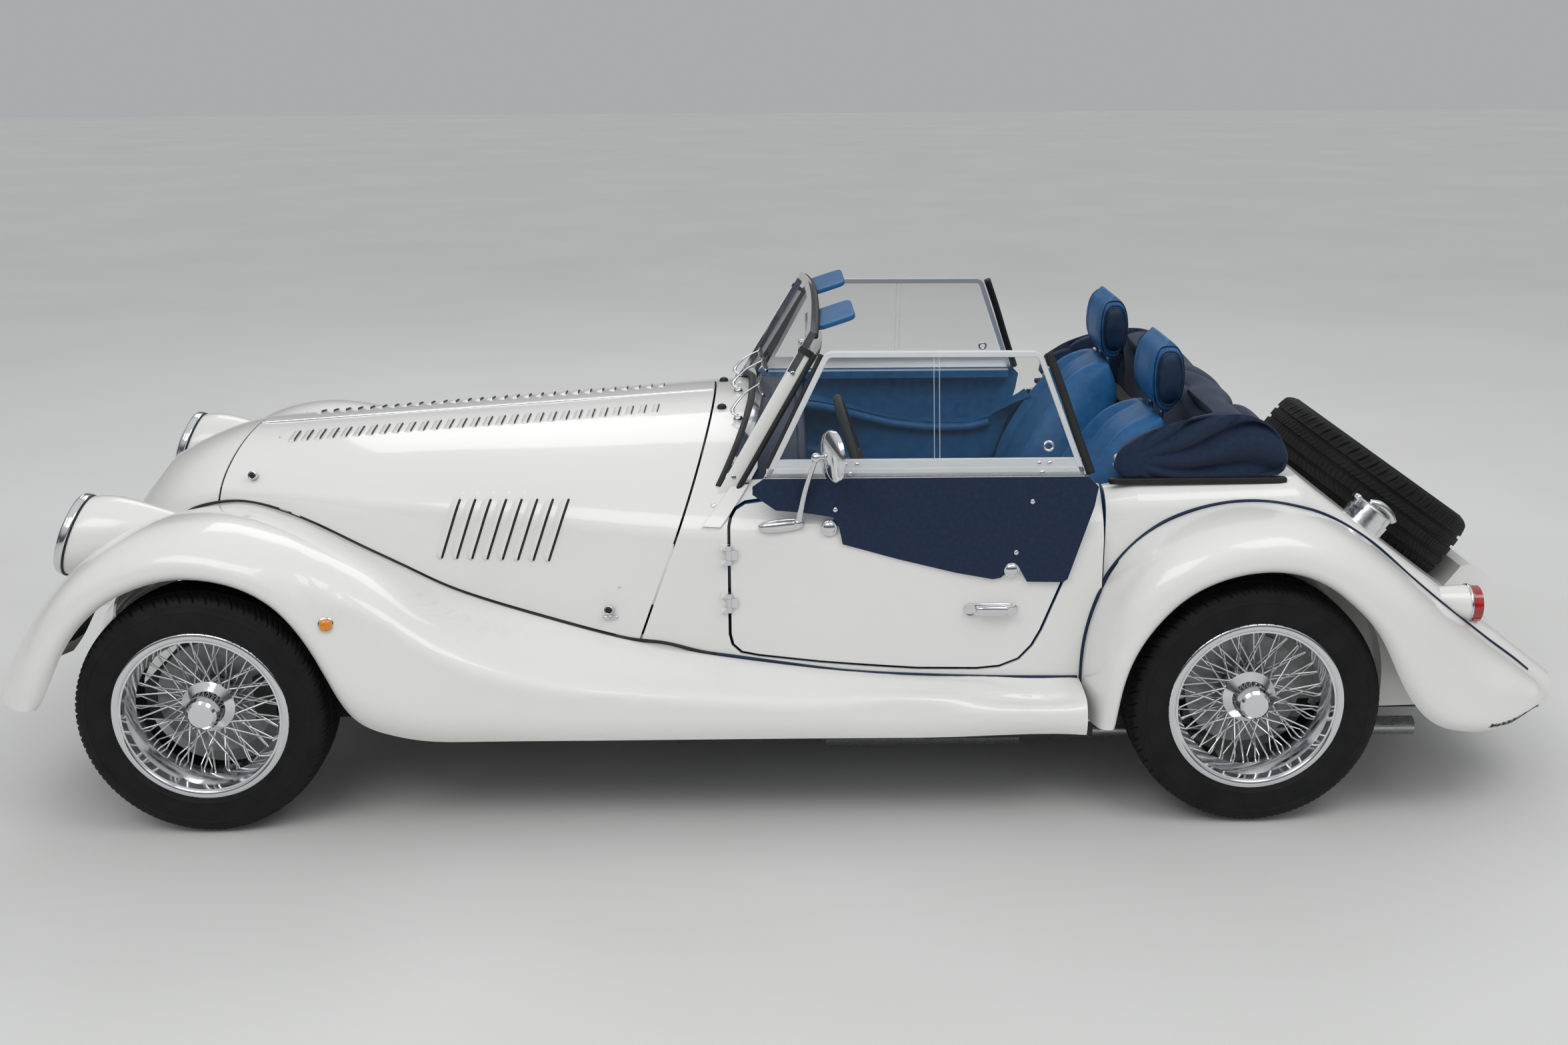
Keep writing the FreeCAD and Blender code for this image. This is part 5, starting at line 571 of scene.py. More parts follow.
seatLines = {
    "backFront": [
        (2030, 452), (2045, 530), (2078, 640), (2130, 740), (2192, 835), (2250, 915), (2300, 950)],
    "backRear": [(2090, 300), (2170, 380), (2232, 480), (2290, 600), (2338, 740), (2370, 860), (2352, 935)],
    "baseTop": [(1640, 300), (1645, 395), (1690, 448), (1780, 452), (1880, 440), (1990, 432), (2060, 440)],
    "baseUnder": [
        (1668, 268), (1690, 272), (1740, 272), (1820, 272), (1900, 272), (1990, 275), (2075, 300)],
    "restFront": [(2316, 952), (2298, 1000), (2296, 1060), (2310, 1108), (2332, 1130)],
    "restRear": [(2360, 948), (2384, 1000), (2387, 1060), (2374, 1108), (2350, 1132)],
}
for side, sign in sides.items():
    middleY = sign * seat["middle"]
    back = padSurface(
        sideLine(seatLines["backFront"]), sideLine(seatLines["backRear"]), middleY,
        seat["backHalf"], seat["bolster"], seat["flutes"])
    base = padSurface(
        sideLine(seatLines["baseTop"]), sideLine(seatLines["baseUnder"]), middleY,
        seat["baseHalf"], seat["bolster"] * 0.8, seat["flutes"])
    rest = padSurface(
        sideLine(seatLines["restFront"]), sideLine(seatLines["restRear"]), middleY,
        headrest["half"], 0.0, 0, steps=(64, 96), endRound=3.4)
    backPiece = piece(
        "seat_back_" + side, surface("seat_back_" + side, back, closeAcross=True, caps=True), blueHide,
        "chassis")
    basePiece = piece(
        "seat_base_" + side, surface("seat_base_" + side, base, closeAcross=True, caps=True), blueHide,
        "chassis")
    restPiece = piece(
        "headrest_" + side, surface("headrest_" + side, rest, closeAcross=True, caps=True), blueHide,
        "chassis")
    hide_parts("seat_" + side)
    # navy ovals let into the headrest's two faces that look sideways, each with a double piped
    # edge; all laid on the pad by looking from the side
    turn = np.linspace(0, 2 * math.pi, 72, endpoint=False)
    restTree = BVHTree.FromPolygons(
        [v.co[:] for v in restPiece.data.vertices], [p.vertices[:] for p in restPiece.data.polygons])
    squircle = np.stack(
        [
            np.sign(np.cos(turn)) * np.abs(np.cos(turn)) ** 0.75, 0 * turn,
            np.sign(np.sin(turn)) * np.abs(np.sin(turn)) ** 0.9],
        -1)

    def onPad(line, face, lift):  # y where a look from the side meets the pad, plus a lift
        hits = [
            restTree.ray_cast(Vector((p[0], middleY + face * 0.3, p[2])), Vector((0, -face, 0)))[0]
            for p in line]
        wide = np.array([h[1] if h is not None else middleY + face * 0.120 for h in hits])
        return np.stack([line[:, 0], wide + face * lift, line[:, 2]], -1)

    for face in (-1, 1):
        centre = at(headrest["middle"][0], 0, headrest["middle"][1]) + [0, middleY, 0]
        oval = squircle * [headrest["ovalHalf"][0], 0, headrest["ovalHalf"][1]]
        rings = np.stack(
            [
                onPad(centre + oval * share, face, rise)
                for share, rise in (
                    (1.0, -0.004), (0.97, 0.0015), (0.7, 0.0030), (0.3, 0.0036), (0.06, 0.0038))])
        where = "in" if face * sign < 0 else "out"
        piece(
            f"headrest_oval_{side}_{where}", surface("oval", rings, closeAcross=True, caps=True), navyHide,
            "chassis")
        hoops = [
            tube(
                "hoop", onPad(centre + oval * grow, face, 0.0006), headrest["pipe"], 8, up=(0, 1, 0),
                closed=True)
            for grow in headrest["hoops"]]
        piece(
            f"headrest_piping_{side}_{where}", joinMeshes("hoops", hoops), navyHide, "chassis")
    # two posts and the seat's runner box under the base
    ends = sideLine([headrest["postFoot"], headrest["postHead"]])
    posts = [
        tube("post", ends + [0, middleY + y, 0], headrest["post"], 12, up=(0, 1, 0))
        for y in headrest["posts"]]
    piece("headrest_posts_" + side, joinMeshes("posts", posts), chromePlate, "chassis")
    runner = softBox("runner", besideAt(seat["runner"], sign), seat["runnerSize"], power=14)
    piece("seat_runner_" + side, runner, blackCoat, "chassis")
print("seats trimmed")


# second finishes on parts of the CAD nodes
def paintFaces(node, material, chosen):
    # Gives a second finish to the faces for which chosen(centres, normals) is true; centres in mm
    # from the front axle.
    mesh = nodes[node].data
    count = len(mesh.polygons)
    centres, normals = np.zeros(count * 3), np.zeros(count * 3)
    mesh.polygons.foreach_get("center", centres)
    mesh.polygons.foreach_get("normal", normals)
    centres = (centres.reshape(-1, 3) - [frontAxle, 0, 0]) * 1000
    pick = chosen(centres, normals.reshape(-1, 3))
    index = np.zeros(count, dtype=np.int32)
    mesh.polygons.foreach_get("material_index", index)
    mesh.materials.append(material)
    index[pick] = len(mesh.materials) - 1
    mesh.polygons.foreach_set("material_index", index)
    return int(pick.sum())


for side, sign in sides.items():
    # the wings' undersides, inside their edges
    paintFaces(
        "front_wing_" + side, blackCoat,
        lambda c, n: (n[:, 2] < -0.15) & (np.abs(c[:, 1]) < 790) & (c[:, 2] > 250))
    paintFaces(
        "rear_wing_" + side, blackCoat,
        lambda c, n: (n[:, 2] < -0.15) & (np.abs(c[:, 1]) < 795) & (c[:, 2] > 250))
# the pillars' feet
paintFaces(
    "windscreen_frame", pearlEnamel,
    lambda c, n: (c[:, 2] < 884) & (c[:, 0] < 1336) & (np.abs(c[:, 1]) > 560) & (np.abs(n[:, 1]) > 0.3))
# the tail lamps' pods, ahead of the lens
paintFaces("tail_lamps", pearlEnamel, lambda c, n: c[:, 0] < 3088)
# the headlamps' edge, more than 88 mm from the lamp's leaning axis
paintFaces(
    "headlamp_lenses", chromePlate,
    lambda c, n: np.hypot((c[:, 0] + 361) * 0.342 + (c[:, 2] - 663) * 0.94, np.abs(c[:, 1]) - 461) > 88)

# headlamps: a plated ring over a rubber bead and a turned reflector
lamp = {
    "place": (-361, 461, 663), "tilt": math.radians(20), "bowl": 0.088, "bowlFront": 0.0145,
    "bowlDepth": 0.0045, "flutes": 23, "fluteSpread": 0.066, "fluteReach": 0.082, "flute": 0.0011,
    "domeFoot": 0.0162, "domeRise": 0.026, "domeRound": 0.102}
for side, sign in sides.items():
    axis = np.array([-math.cos(lamp["tilt"]), 0, math.sin(lamp["tilt"])])
    centre = besideAt(lamp["place"], sign)
    ring = [
        (0.0150, 0.0900), (0.0190, 0.0905), (0.0225, 0.0930), (0.0235, 0.0965), (0.0220, 0.1005),
        (0.0180, 0.1040), (0.0120, 0.1060), (0.0050, 0.1068), (0.0015, 0.1066), (0.0008, 0.1050),
        (0.0150, 0.1045)]
    piece(
        "lamp_ring_" + side, lathe("lamp_ring", ring, centre, axis, 96, closed=True), chromePlate,
        "chassis")
    bead = [(-0.0035, 0.1000), (-0.0035, 0.1050), (-0.0015, 0.1064), (0.0008, 0.1060), (0.0010, 0.1000)]
    piece(
        "lamp_bead_" + side, lathe("lamp_bead", bead, centre, axis, 96, closed=True), sealRubber, "chassis")
    # reflector: depth = k r squared, behind the glass
    bowl = [
        (lamp["bowlFront"] - lamp["bowlDepth"] * (1 - (r / lamp["bowl"]) ** 2), r)
        for r in np.linspace(lamp["bowl"], 0.004, 24)]
    piece(
        "lamp_reflector_" + side, lathe("lamp_reflector", bowl, centre, axis, 96), chromePlate, "chassis")
    # flutes in the glass: shallow upright ribs on the dome
    drop = np.linspace(-lamp["fluteSpread"], lamp["fluteSpread"], lamp["flutes"])
    right, rise = np.array([0, 1.0, 0]), np.array([math.sin(lamp["tilt"]), 0, math.cos(lamp["tilt"])])
    ribs = []
    for y in drop:
        reach = math.sqrt(lamp["fluteReach"] ** 2 - y ** 2)
        v = np.linspace(-reach, reach, 15)
        crown = lamp["domeFoot"] + lamp["domeRise"] * (1 - (y ** 2 + v ** 2) / lamp["domeRound"] ** 2)
        ribs.append(
            tube(
                "rib", centre + axis * crown[:, None] + right * y + rise * v[:, None], lamp["flute"], 6,
                up=axis, flat=0.6))
    piece("lamp_flutes_" + side, joinMeshes("flutes", ribs), lampGlass, "chassis")

# tail lamps: a red lens in a plated bezel on the end of each white pod
tailBezel = {"station": 3090}
for side, sign in sides.items():
    tailPoints = meshPoints("tail_lamps")
    own = tailPoints[np.sign(tailPoints[:, 1]) == sign]
    last = own[own[:, 0] > own[:, 0].max() - 0.001]
    middle = (last.max(0) + last.min(0)) / 2
    reach = (last[:, 2].max() - last[:, 2].min()) / 2
    bezel = [
        (-0.006, reach * 1.01), (-0.006, reach * 1.10), (0.0, reach * 1.12), (0.002, reach * 1.08),
        (0.0015, reach * 0.99)]
    bezelAt = np.array([frontAxle + tailBezel["station"] / 1000, middle[1], middle[2]])
    piece(
        "tail_bezel_" + side, lathe("tail_bezel", bezel, bezelAt, (1, 0, 0), 64, closed=True), chromePlate,
        "chassis")
    print("tail lamp", side, np.round(middle, 4), round(float(reach), 4))
print("lamps trimmed")


# piping in the joint between rear wing and body, and rubber along the front wing
def ontoBody(pairs, names, sign, lift=0.0012, reach=1.2):
    # Each (station, height) is looked for from the side: the first skin met on the way to the
    # middle, plus a small lift outward.
    tree = treeOf(*names)
    found = []
    for s, z in pairs:
        start = at(s, sign * reach * 1000, z)
        hit = tree.ray_cast(Vector(start), Vector((0, -sign, 0)))
        if hit[0] is not None:
            found.append([start[0], hit[0][1] + sign * lift, start[2]])
    return np.array(found)


# the arch as (angle, radius) about the rear axle, then the seam down the tail as (station, height)
rearArch = {
    "rows": [(187, 403), (176, 404), (160, 421), (140, 451), (118, 473), (95, 472), (72, 469), (52, 467)],
    "tail": [(2938, 562), (3026, 490), (3088, 442), (3136, 405), (3176, 376), (3214, 348), (3248, 320)]}
archPairs = [
    (2520 + r * math.cos(math.radians(a)), 304 + r * math.sin(math.radians(a)))
    for a, r in rearArch["rows"]] + rearArch["tail"]
archLine = smoothPath(np.array([[s, 0, z] for s, z in archPairs]), 200)[:, [0, 2]]
wingSeam = [
    (-238, 602), (-170, 655), (-117, 689), (-60, 706), (-10, 713), (59, 709), (126, 692), (208, 665),
    (290, 633), (371, 600), (429, 577), (496, 547), (577, 519), (665, 495), (766, 475), (866, 456),
    (965, 437), (1024, 430), (1097, 426), (1193, 405), (1289, 394), (1397, 378), (1577, 359), (1718, 350),
    (1859, 343), (2108, 337)]
piping = {"wing": 0.0046, "seam": 0.0044, "rubberEnd": 1.218}
seamRun = smoothPath(np.array([[s, 0, z] for s, z in wingSeam]), 260)[:, [0, 2]]
for side, sign in sides.items():
    line = eased(ontoBody(archLine, ["tail_body", "scuttle"], sign), 3)
    piece(
        "wing_piping_" + side, tube("wing_piping", line, piping["wing"], 10, up=(0, 1, 0)), navyHide,
        "chassis")
    names = ["nose_cowl", "bonnet_" + side, "scuttle", "door_" + side]
    # looked for above the joint, where there is skin, then lowered
    above = np.interp(seamRun[:, 0], [-240, 60, 250, 2200], [5, 6, 16, 14])
    line = ontoBody(np.c_[seamRun[:, 0], seamRun[:, 1] + above], names, sign, 0.0016)
    line[:, 2] -= (np.interp(line[:, 0], (seamRun[:, 0]) / 1000 + frontAxle, above) - 2.0) / 1000
    line = eased(line, 6)
    last = int((line[:, 0] < frontAxle + piping["rubberEnd"]).sum())
    piece(
        "seam_rubber_" + side, tube("seam_rubber", line[:last + 1], piping["seam"], 8), sealRubber, "chassis")
    piece(
        "seam_piping_" + side, tube("seam_piping", line[last:], piping["seam"], 8), navyHide, "chassis")
    print("seams", side, len(line))

# folded hood: cloth laid in folds over its bows, with arms that reach forward beside the seats
hood = {
    "outline": [
        (2186, 850), (2194, 884), (2240, 922), (2345, 964), (2438, 979), (2520, 972), (2572, 942),
        (2599, 900), (2609, 862), (2600, 836), (2560, 824), (2480, 821), (2400, 820), (2320, 819),
        (2250, 820), (2206, 828)],
    "half": 0.590, "round": 0.014, "arm": 0.560, "front": 2428, "stud": (2214, 868),
    "centre": (2440.0, 892.0), "fanFolds": 19.0, "depth": 0.034, "acrossFolds": 5.0}


def hoodOutline(count):  # the outline's points joined by a closed cubic, in even steps
    pts = np.array(hood["outline"] + hood["outline"][:1], float)
    return smoothPath(np.c_[pts[:, 0], 0 * pts[:, 0], pts[:, 1]], count + 1)[:-1, [0, 2]]


def hoodSurface(rings=34, stations=150, count=180):
    # Rows: the rings of one end cap, the body, the rings of the other. Body: the outline drawn
    # toward its centre by folds of depth (1 - |sin(pi (n t + wander))|^0.5). Cap: the outline
    # shrunk to its centre, sunk by a fan of folds about the stud that grow with distance from it.
    outline = hoodOutline(count)
    centre = np.array(hood["centre"])
    t = np.linspace(0, 1, count, endpoint=False)
    rows = []

    def capRow(share, sign):  # share 0 is the cap's middle, 1 its edge
        flat = centre + (outline - centre) * share
        away = flat - np.array(hood["stud"])
        angle, reach = np.arctan2(away[:, 1], away[:, 0]), np.hypot(away[:, 0], away[:, 1])
        grow = np.clip((reach - 30) / 170, 0, 1) ** 1.2
        wave = 0.5 + 0.5 * np.sin(angle * hood["fanFolds"] + 1.4 * np.sin(reach / 62.0) + 0.7)
        fold = hood["depth"] * grow * (1 - wave ** 0.55) * np.clip((1 - share ** 8) * 3, 0, 1)
        edge = hood["round"] * (1 - share ** 5) ** 0.5
        return np.stack([flat[:, 0], sign * (hood["half"] + edge - fold) * 1000, flat[:, 1]], -1)

    def bodyRow(y):  # y in metres across; the two ends reach further forward, as arms
        flat = outline.copy()
        inner = np.clip((hood["arm"] - abs(y)) / 0.014, 0, 1)
        inner = inner * inner * (3 - 2 * inner)
        ahead = np.minimum(flat[:, 0] - hood["front"], 0)
        flat[:, 0] -= ahead * inner * 0.96
        middle = centre + np.array([inner * 78, 0])
        rise = np.clip((flat[:, 1] - 828) / 60, 0, 1)
        wander = 0.35 * math.sin(y * 7.3) + 0.22 * math.sin(y * 17 + 1.1)
        fold = hood["depth"] * 0.85 * rise * (
            1 - np.abs(np.sin(math.pi * (hood["acrossFolds"] * t + wander))) ** 0.5)
        sag = 0.006 * rise * (1 - math.cos(y * 2 * math.pi / 0.39)) / 2
        away = flat - middle
        reach = np.maximum(np.hypot(away[:, 0], away[:, 1]), 1)[:, None]
        flat = flat - away / reach * ((fold + sag) * 1000)[:, None]
        return np.stack([flat[:, 0], np.full(count, y * 1000), flat[:, 1]], -1)

    shares = 1 - np.linspace(0.98, 0.0, rings) ** 1.5
    rows += [capRow(share, -1) for share in shares[:-1]]
    rows += [bodyRow(y) for y in np.linspace(-hood["half"], hood["half"], stations)]
    rows += [capRow(share, 1) for share in shares[:-1][::-1]]
    points = np.array(rows)
    return np.stack([points[..., 0] / 1000 + frontAxle, points[..., 1] / 1000, points[..., 2] / 1000], -1)


hoodPiece = piece(
    "hood_cloth", surface("hood_cloth", hoodSurface(), closeAcross=True, caps=True), navyCloth, "chassis")
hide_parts("folded_hood")
hoodFrame = {
    "rail": (2392, 594, 817), "railSize": (0.43, 0.026, 0.016), "beside": 548, "iron": 0.007,
    "irons": ((2196, 842, 2330, 905), (2206, 862, 2345, 880), (2250, 835, 2352, 925)),
    "pivots": ((2206, 862), (2345, 880), (2330, 905)),
    "pivot": [(-0.006, 0.010), (0.006, 0.010), (0.007, 0.006)]}
for side, sign in sides.items():
    rail = softBox("hood_rail", besideAt(hoodFrame["rail"], sign), hoodFrame["railSize"], power=10)
    piece("hood_rail_" + side, rail, sealRubber, "chassis")
    # folding irons: flat bars with a pivot, between the seat and the cloth
    wide = sign * hoodFrame["beside"]
    bars = [
        tube(
            "iron", np.array([at(a, wide, b), at(c, wide, e)]), hoodFrame["iron"], 8, up=(0, 1, 0),
            flat=0.5)
        for a, b, c, e in hoodFrame["irons"]]
    bars += [
        lathe("pivot", hoodFrame["pivot"], at(s, wide, z), (0, 1, 0), 20) for s, z in hoodFrame["pivots"]]
    piece("hood_irons_" + side, joinMeshes("irons", bars), anodisedAluminium, "chassis")
print("hood folded")

# windscreen: rubber round its foot and head, wipers on three pivots, sun pads and the inner mirror
screen = {
    "station": 1325, "sill": 925, "lean": math.radians(30.5), "head": 1166, "arch": 24,
    "sillLine": [(0, 925), (150, 921), (305, 899), (426, 862), (521, 812), (566, 770)],
    "footHalf": 548, "footRubber": 0.0085, "headHalf": 499, "headRubber": 0.0070}


def onScreen(y, z, out=0.0):
    # Point of the leaned screen plane: S = station + tan(lean) (z - sill), moved out along the
    # plane's normal, all in mm.
    y, z = np.broadcast_arrays(np.asarray(y, float), np.asarray(z, float))
    s = screen["station"] + math.tan(screen["lean"]) * (z - screen["sill"]) - out * math.cos(screen["lean"])
    return np.stack([s / 1000 + frontAxle, y / 1000, (z + out * math.sin(screen["lean"])) / 1000], -1)


def sillHeight(y):  # height of the scuttle line under the screen
    table = np.array(screen["sillLine"])
    return np.interp(np.abs(y), table[:, 0], table[:, 1])


across = np.linspace(-screen["footHalf"], screen["footHalf"], 180)
footLine = eased(onScreen(across, sillHeight(across) + 3, 13), 12)
piece(
    "screen_foot_rubber", tube("foot_rubber", footLine, screen["footRubber"], 12), sealRubber, "chassis")
across = np.linspace(-screen["headHalf"], screen["headHalf"], 120)
headHeight = screen["head"] + screen["arch"] * (1 - (across / screen["headHalf"]) ** 2)
headLine = onScreen(across, headHeight - 4, -9)
piece(
    "screen_head_rubber", tube("head_rubber", headLine, screen["headRubber"], 12), sealRubber, "chassis")

# pillars: each part's foot |y|, how far it leans in, its lower end and its run up
pillars = {
    "rubber": (572, 67, 778, 352), "cheek": (568, 67, 772, 350), "cap": (505.5, 4, 1118, 13),
    "rubberRadius": 0.0070, "screwPlaces": (0.16, 0.86), "footScrew": (1223, 764),
    "screwHead": [(-0.0005, 0.0062), (0.0018, 0.0058), (0.0026, 0.0035), (0.0020, 0.0010)]}


def onPillar(part, share, sign, beside=0, out=0):
    # Point up a pillar's part: |y| = foot - lean share + beside, z = low + run share, in mm.
    foot, lean, low, run = pillars[part]
    return onScreen(sign * (foot - lean * share + beside), low + run * share, out)


for side, sign in sides.items():
    share = np.linspace(0, 1, 60)
    edge = onPillar("rubber", share, sign, out=-29)
    piece(
        "pillar_rubber_" + side, tube("pillar_rubber", edge, pillars["rubberRadius"], 10, up=(1, 0, 0)),
        sealRubber, "chassis")
    # the pillar's painted cheek: a flat channel with round edges beside the frame, from 10 mm
    # ahead of the screen to 23 mm behind it
    ring = [
        (10.5, 0.4), (10.0, 3.2), (8.0, 4.4), (-20.0, 4.4), (-22.5, 3.2), (-23.0, 0.4), (-20.0, -1.6),
        (8.0, -1.6)]
    rows = np.stack([onPillar("cheek", share, sign, beside, out) for out, beside in ring], 1)
    piece(
        "pillar_cheek_" + side, surface("pillar_cheek", rows, closeAcross=True, caps=True), pearlEnamel,
        "chassis", angle=50)
    capRing = [(11, 0.4), (10.5, 3.6), (8, 5.0), (-22, 5.0), (-25, 3.6), (-25.5, 0.4), (-21, -3), (8, -3)]
    cap = np.stack([onPillar("cap", share, sign, beside, out) for out, beside in capRing], 1)
    piece(
        "pillar_cap_" + side, surface("pillar_cap", cap, closeAcross=True, caps=True), sealRubber,
        "chassis", angle=50)
    screws = [
        lathe("screw", pillars["screwHead"], onPillar("cheek", k, sign, 4.4, -5), (0, sign, 0.18), 18)
        for k in pillars["screwPlaces"]]
    foot = ontoBody([pillars["footScrew"]], ["windscreen_frame", "scuttle"], sign, 0.0005)[0]
    screws.append(lathe("screw", pillars["screwHead"], foot, (0, sign * 0.8, 0.6), 18))
    piece("pillar_screws_" + side, joinMeshes("pillar_screws", screws), chromePlate, "chassis")

# wipers: a wedge-shaped housing, a sprung arm and a blade that lies low across the glass
wiper = {
    "pivots": [(1281, -269, 899), (1279, -32, 922), (1280, 200, 914)], "blade": 118, "lift": 66,
    "reach": 40, "carrier": 0.0028, "rubber": 0.0036,
    "cap": [(-0.004, 0.0125), (0.006, 0.0125), (0.010, 0.0105), (0.013, 0.006), (0.014, 0.002)],
    "jets": ((1237, -181, 912), (1236, 144, 916)),
    "jet": [(-0.003, 0.0125), (0.004, 0.0125), (0.0085, 0.010), (0.011, 0.0055)]}
chromeBits, rubberBits = [], []
for s, y, z in wiper["pivots"]:
    root = at(s, y, z)
    chromeBits.append(lathe("cap", wiper["cap"], root, (-0.25, 0, 0.97), 28))
    bladeMiddle = y + wiper["reach"]
    middle = onScreen(bladeMiddle, sillHeight(bladeMiddle) + wiper["lift"], 22)
    arm = smoothPath(
        [
            root + [0, 0, 0.010], root + [-0.014, 0.006, 0.020], (root + middle) / 2 + [-0.020, 0, 0.012],
            middle],
        24)
    chromeBits.append(
        tube(
            "arm", arm, np.interp(np.linspace(0, 1, 24), [0, 0.35, 1], [0.0075, 0.0050, 0.0026]), 10,
            flat=0.6))
    run = np.linspace(-wiper["blade"], wiper["blade"], 30)
    bladeY = bladeMiddle + run
    high = sillHeight(bladeMiddle) + wiper["lift"] - 6 - 0.05 * run
    bowed = onScreen(bladeY, high, 19 - 7 * (run / wiper["blade"]) ** 2)
    chromeBits.append(tube("carrier", bowed, wiper["carrier"], 8))
    rubberBits.append(tube("blade", onScreen(bladeY, high, 8.5), wiper["rubber"], 8))
piece("wiper_arms", joinMeshes("wiper_arms", chromeBits), chromePlate, "chassis")
piece("wiper_blades", joinMeshes("wiper_blades", rubberBits), sealRubber, "chassis")
jets = [lathe("jet", wiper["jet"], at(s, y, z), (-0.1, 0, 1), 24) for s, y, z in wiper["jets"]]
piece("washer_jets", joinMeshes("washer_jets", jets), sealRubber, "chassis")

# sun pads: hide over board on two plated stalks each, swung up behind the head of the screen
pads = {
    "width": 250, "run": 86, "rise": 28, "thick": 15, "deep": 100, "middles": (-275, 275),
    "place": (1527, 1172), "stalks": (-92, 92), "stalk": 0.0042, "stalkEnds": ((1478, 1157), (1486, 1157)),
    "spindle": (1484, 1157), "spindleHalf": 112, "spindleRadius": 0.0045}
for side, middle in zip(("left", "right"), pads["middles"]):
    lean = math.atan2(pads["rise"], pads["run"])
    axes = leaned(lean)
    centre = at(pads["place"][0], middle, pads["place"][1])
    pad = softBox(
        "sun_pad", centre, (pads["deep"] / 1000, pads["width"] / 1000, pads["thick"] / 1000), axes=axes,
        power=7, steps=(40, 72))
    padPiece = piece("sun_pad_" + side, pad, blueHide, "chassis")
    stalks = []
    for y in pads["stalks"]:
        bend = [onScreen(middle + y, screen["head"] - 4, -8)] + [
            at(s, middle + y, z) for s, z in pads["stalkEnds"]]
        stalks.append(tube("stalk", smoothPath(bend, 12), pads["stalk"], 10, up=(0, 1, 0)))
    s, z = pads["spindle"]
    spindle = np.array([at(s, middle + y, z) for y in (-pads["spindleHalf"], pads["spindleHalf"])])
    stalks.append(tube("spindle", spindle, pads["spindleRadius"], 12))
    piece("sun_pad_stalks_" + side, joinMeshes("stalks", stalks), chromePlate, "chassis")
innerMirror = {"place": (1470, 0, 1096), "size": (0.020, 0.190, 0.050), "stem": 0.0050}
stemLine = smoothPath([onScreen(0, 1176, -10), at(1474, 0, 1150), at(1474, 0, 1110)], 16)
mirrorBits = [
    softBox("mirror_case", at(*innerMirror["place"]), innerMirror["size"], power=5, steps=(32, 56)),
    tube("mirror_stem", stemLine, innerMirror["stem"], 10, up=(0, 1, 0))]
piece("inner_mirror", joinMeshes("inner_mirror", mirrorBits), chromePlate, "chassis")
print("screen dressed")

# side screens: a bar round the loop, a rail under the glass, rubbers, studs and a finger ring
sideFrame = {"top": 572, "head": 1136, "tilt": math.radians(14.5)}


def onSide(s, z, out, sign):
    # Point of the side screen's tilted plane: |y| = top + (head - z) tan(tilt) + out, all in mm.
    s, z = np.broadcast_arrays(np.asarray(s, float), np.asarray(z, float))
    wide = sideFrame["top"] + (sideFrame["head"] - z) * math.tan(sideFrame["tilt"]) + out
    return np.stack([s / 1000 + frontAxle, sign * wide / 1000, z / 1000], -1)


def sideBar(front, rear, heights, out, sign):
    # A flat bar from one station to another, 12 mm thick, standing in the tilted plane.
    low, top = heights
    ring = [(low, out - 12), (low, out), (top, out), (top, out - 12)]
    rows = [np.array([onSide(s, z, away, sign) for z, away in ring]) for s in np.linspace(front, rear, 8)]
    return surface("bar", np.array(rows), closeAcross=True, caps=True)


def stud(centre, axis, radius, high, turns=20):
    # A domed head: radius r cos(a), height h sin(a).
    angle = np.linspace(0, math.pi / 2 * 0.97, 7)
    profile = [(-0.0005, radius)] + [(0.001 + high * math.sin(a), radius * math.cos(a)) for a in angle]
    return lathe("stud", profile, centre, axis, turns)


def roundedLoop(corners, radii, steps=10):
    # A closed line of straights and arcs; at each corner the arc centre lies on the bisector,
    # radius / sin(half angle) away. Gives points and inward normals.
    corners = np.array(corners, float)
    points, inward = [], []
    for k, radius in enumerate(radii):
        here = corners[k]
        before, after = unit(corners[k - 1] - here), unit(corners[(k + 1) % len(corners)] - here)
        middle = unit(before + after)
        half = math.acos(float(np.clip(before @ after, -1, 1))) / 2
        centre = here + middle * radius / math.sin(half)
        first = here + before * radius / math.tan(half) - centre
        last = here + after * radius / math.tan(half) - centre
        share = np.linspace(0, 1, steps)[:, None]
        spread = math.acos(float(np.clip(unit(first) @ unit(last), -1, 1)))
        arc = (np.sin((1 - share) * spread) * first + np.sin(share * spread) * last) / math.sin(spread)
        points.append(centre + arc)
        inward.append(-arc / radius)
    return np.vstack(points), np.vstack(inward)


sideOutline = {
    "corners": [(1345, 846), (1493, 1136), (2006, 1134), (2112, 846)], "radii": [5, 27, 27, 5], "bar": 13.5,
    "depth": 16, "panelTop": 0.851, "glass": [(1376, 866, 2085), (1502, 1125, 1996)],
    "paneEdges": (1749, 1762), "ring": (2021, 917), "ringReach": 0.0105, "ringWire": 0.0030}
sideRubbers = {
    "rear": ((2022, 1130), (2050, 1056), (2086, 952), (2122, 852)), "rearRadius": 0.0100,
    "front": ((1484, 1128), (1440, 1040), (1392, 944), (1350, 862)), "frontRadius": 0.0060}
sideStuds = {
    "frame": (
        (1538, 878, 14), (1566, 878, 14), (1549, 857, 16), (1998, 878, 14), (2023, 878, 14),
        (2005, 857, 16)),
    "skin": ((1514, 677, 774), (1982, 677, 790), (1947, 677, 664)),
    "clamps": ((1500, 668, 726), (1938, 673, 619)),
    "collar": [(-0.008, 0.0190), (0.0035, 0.0190), (0.0045, 0.0175), (0.0045, 0.0165)]}
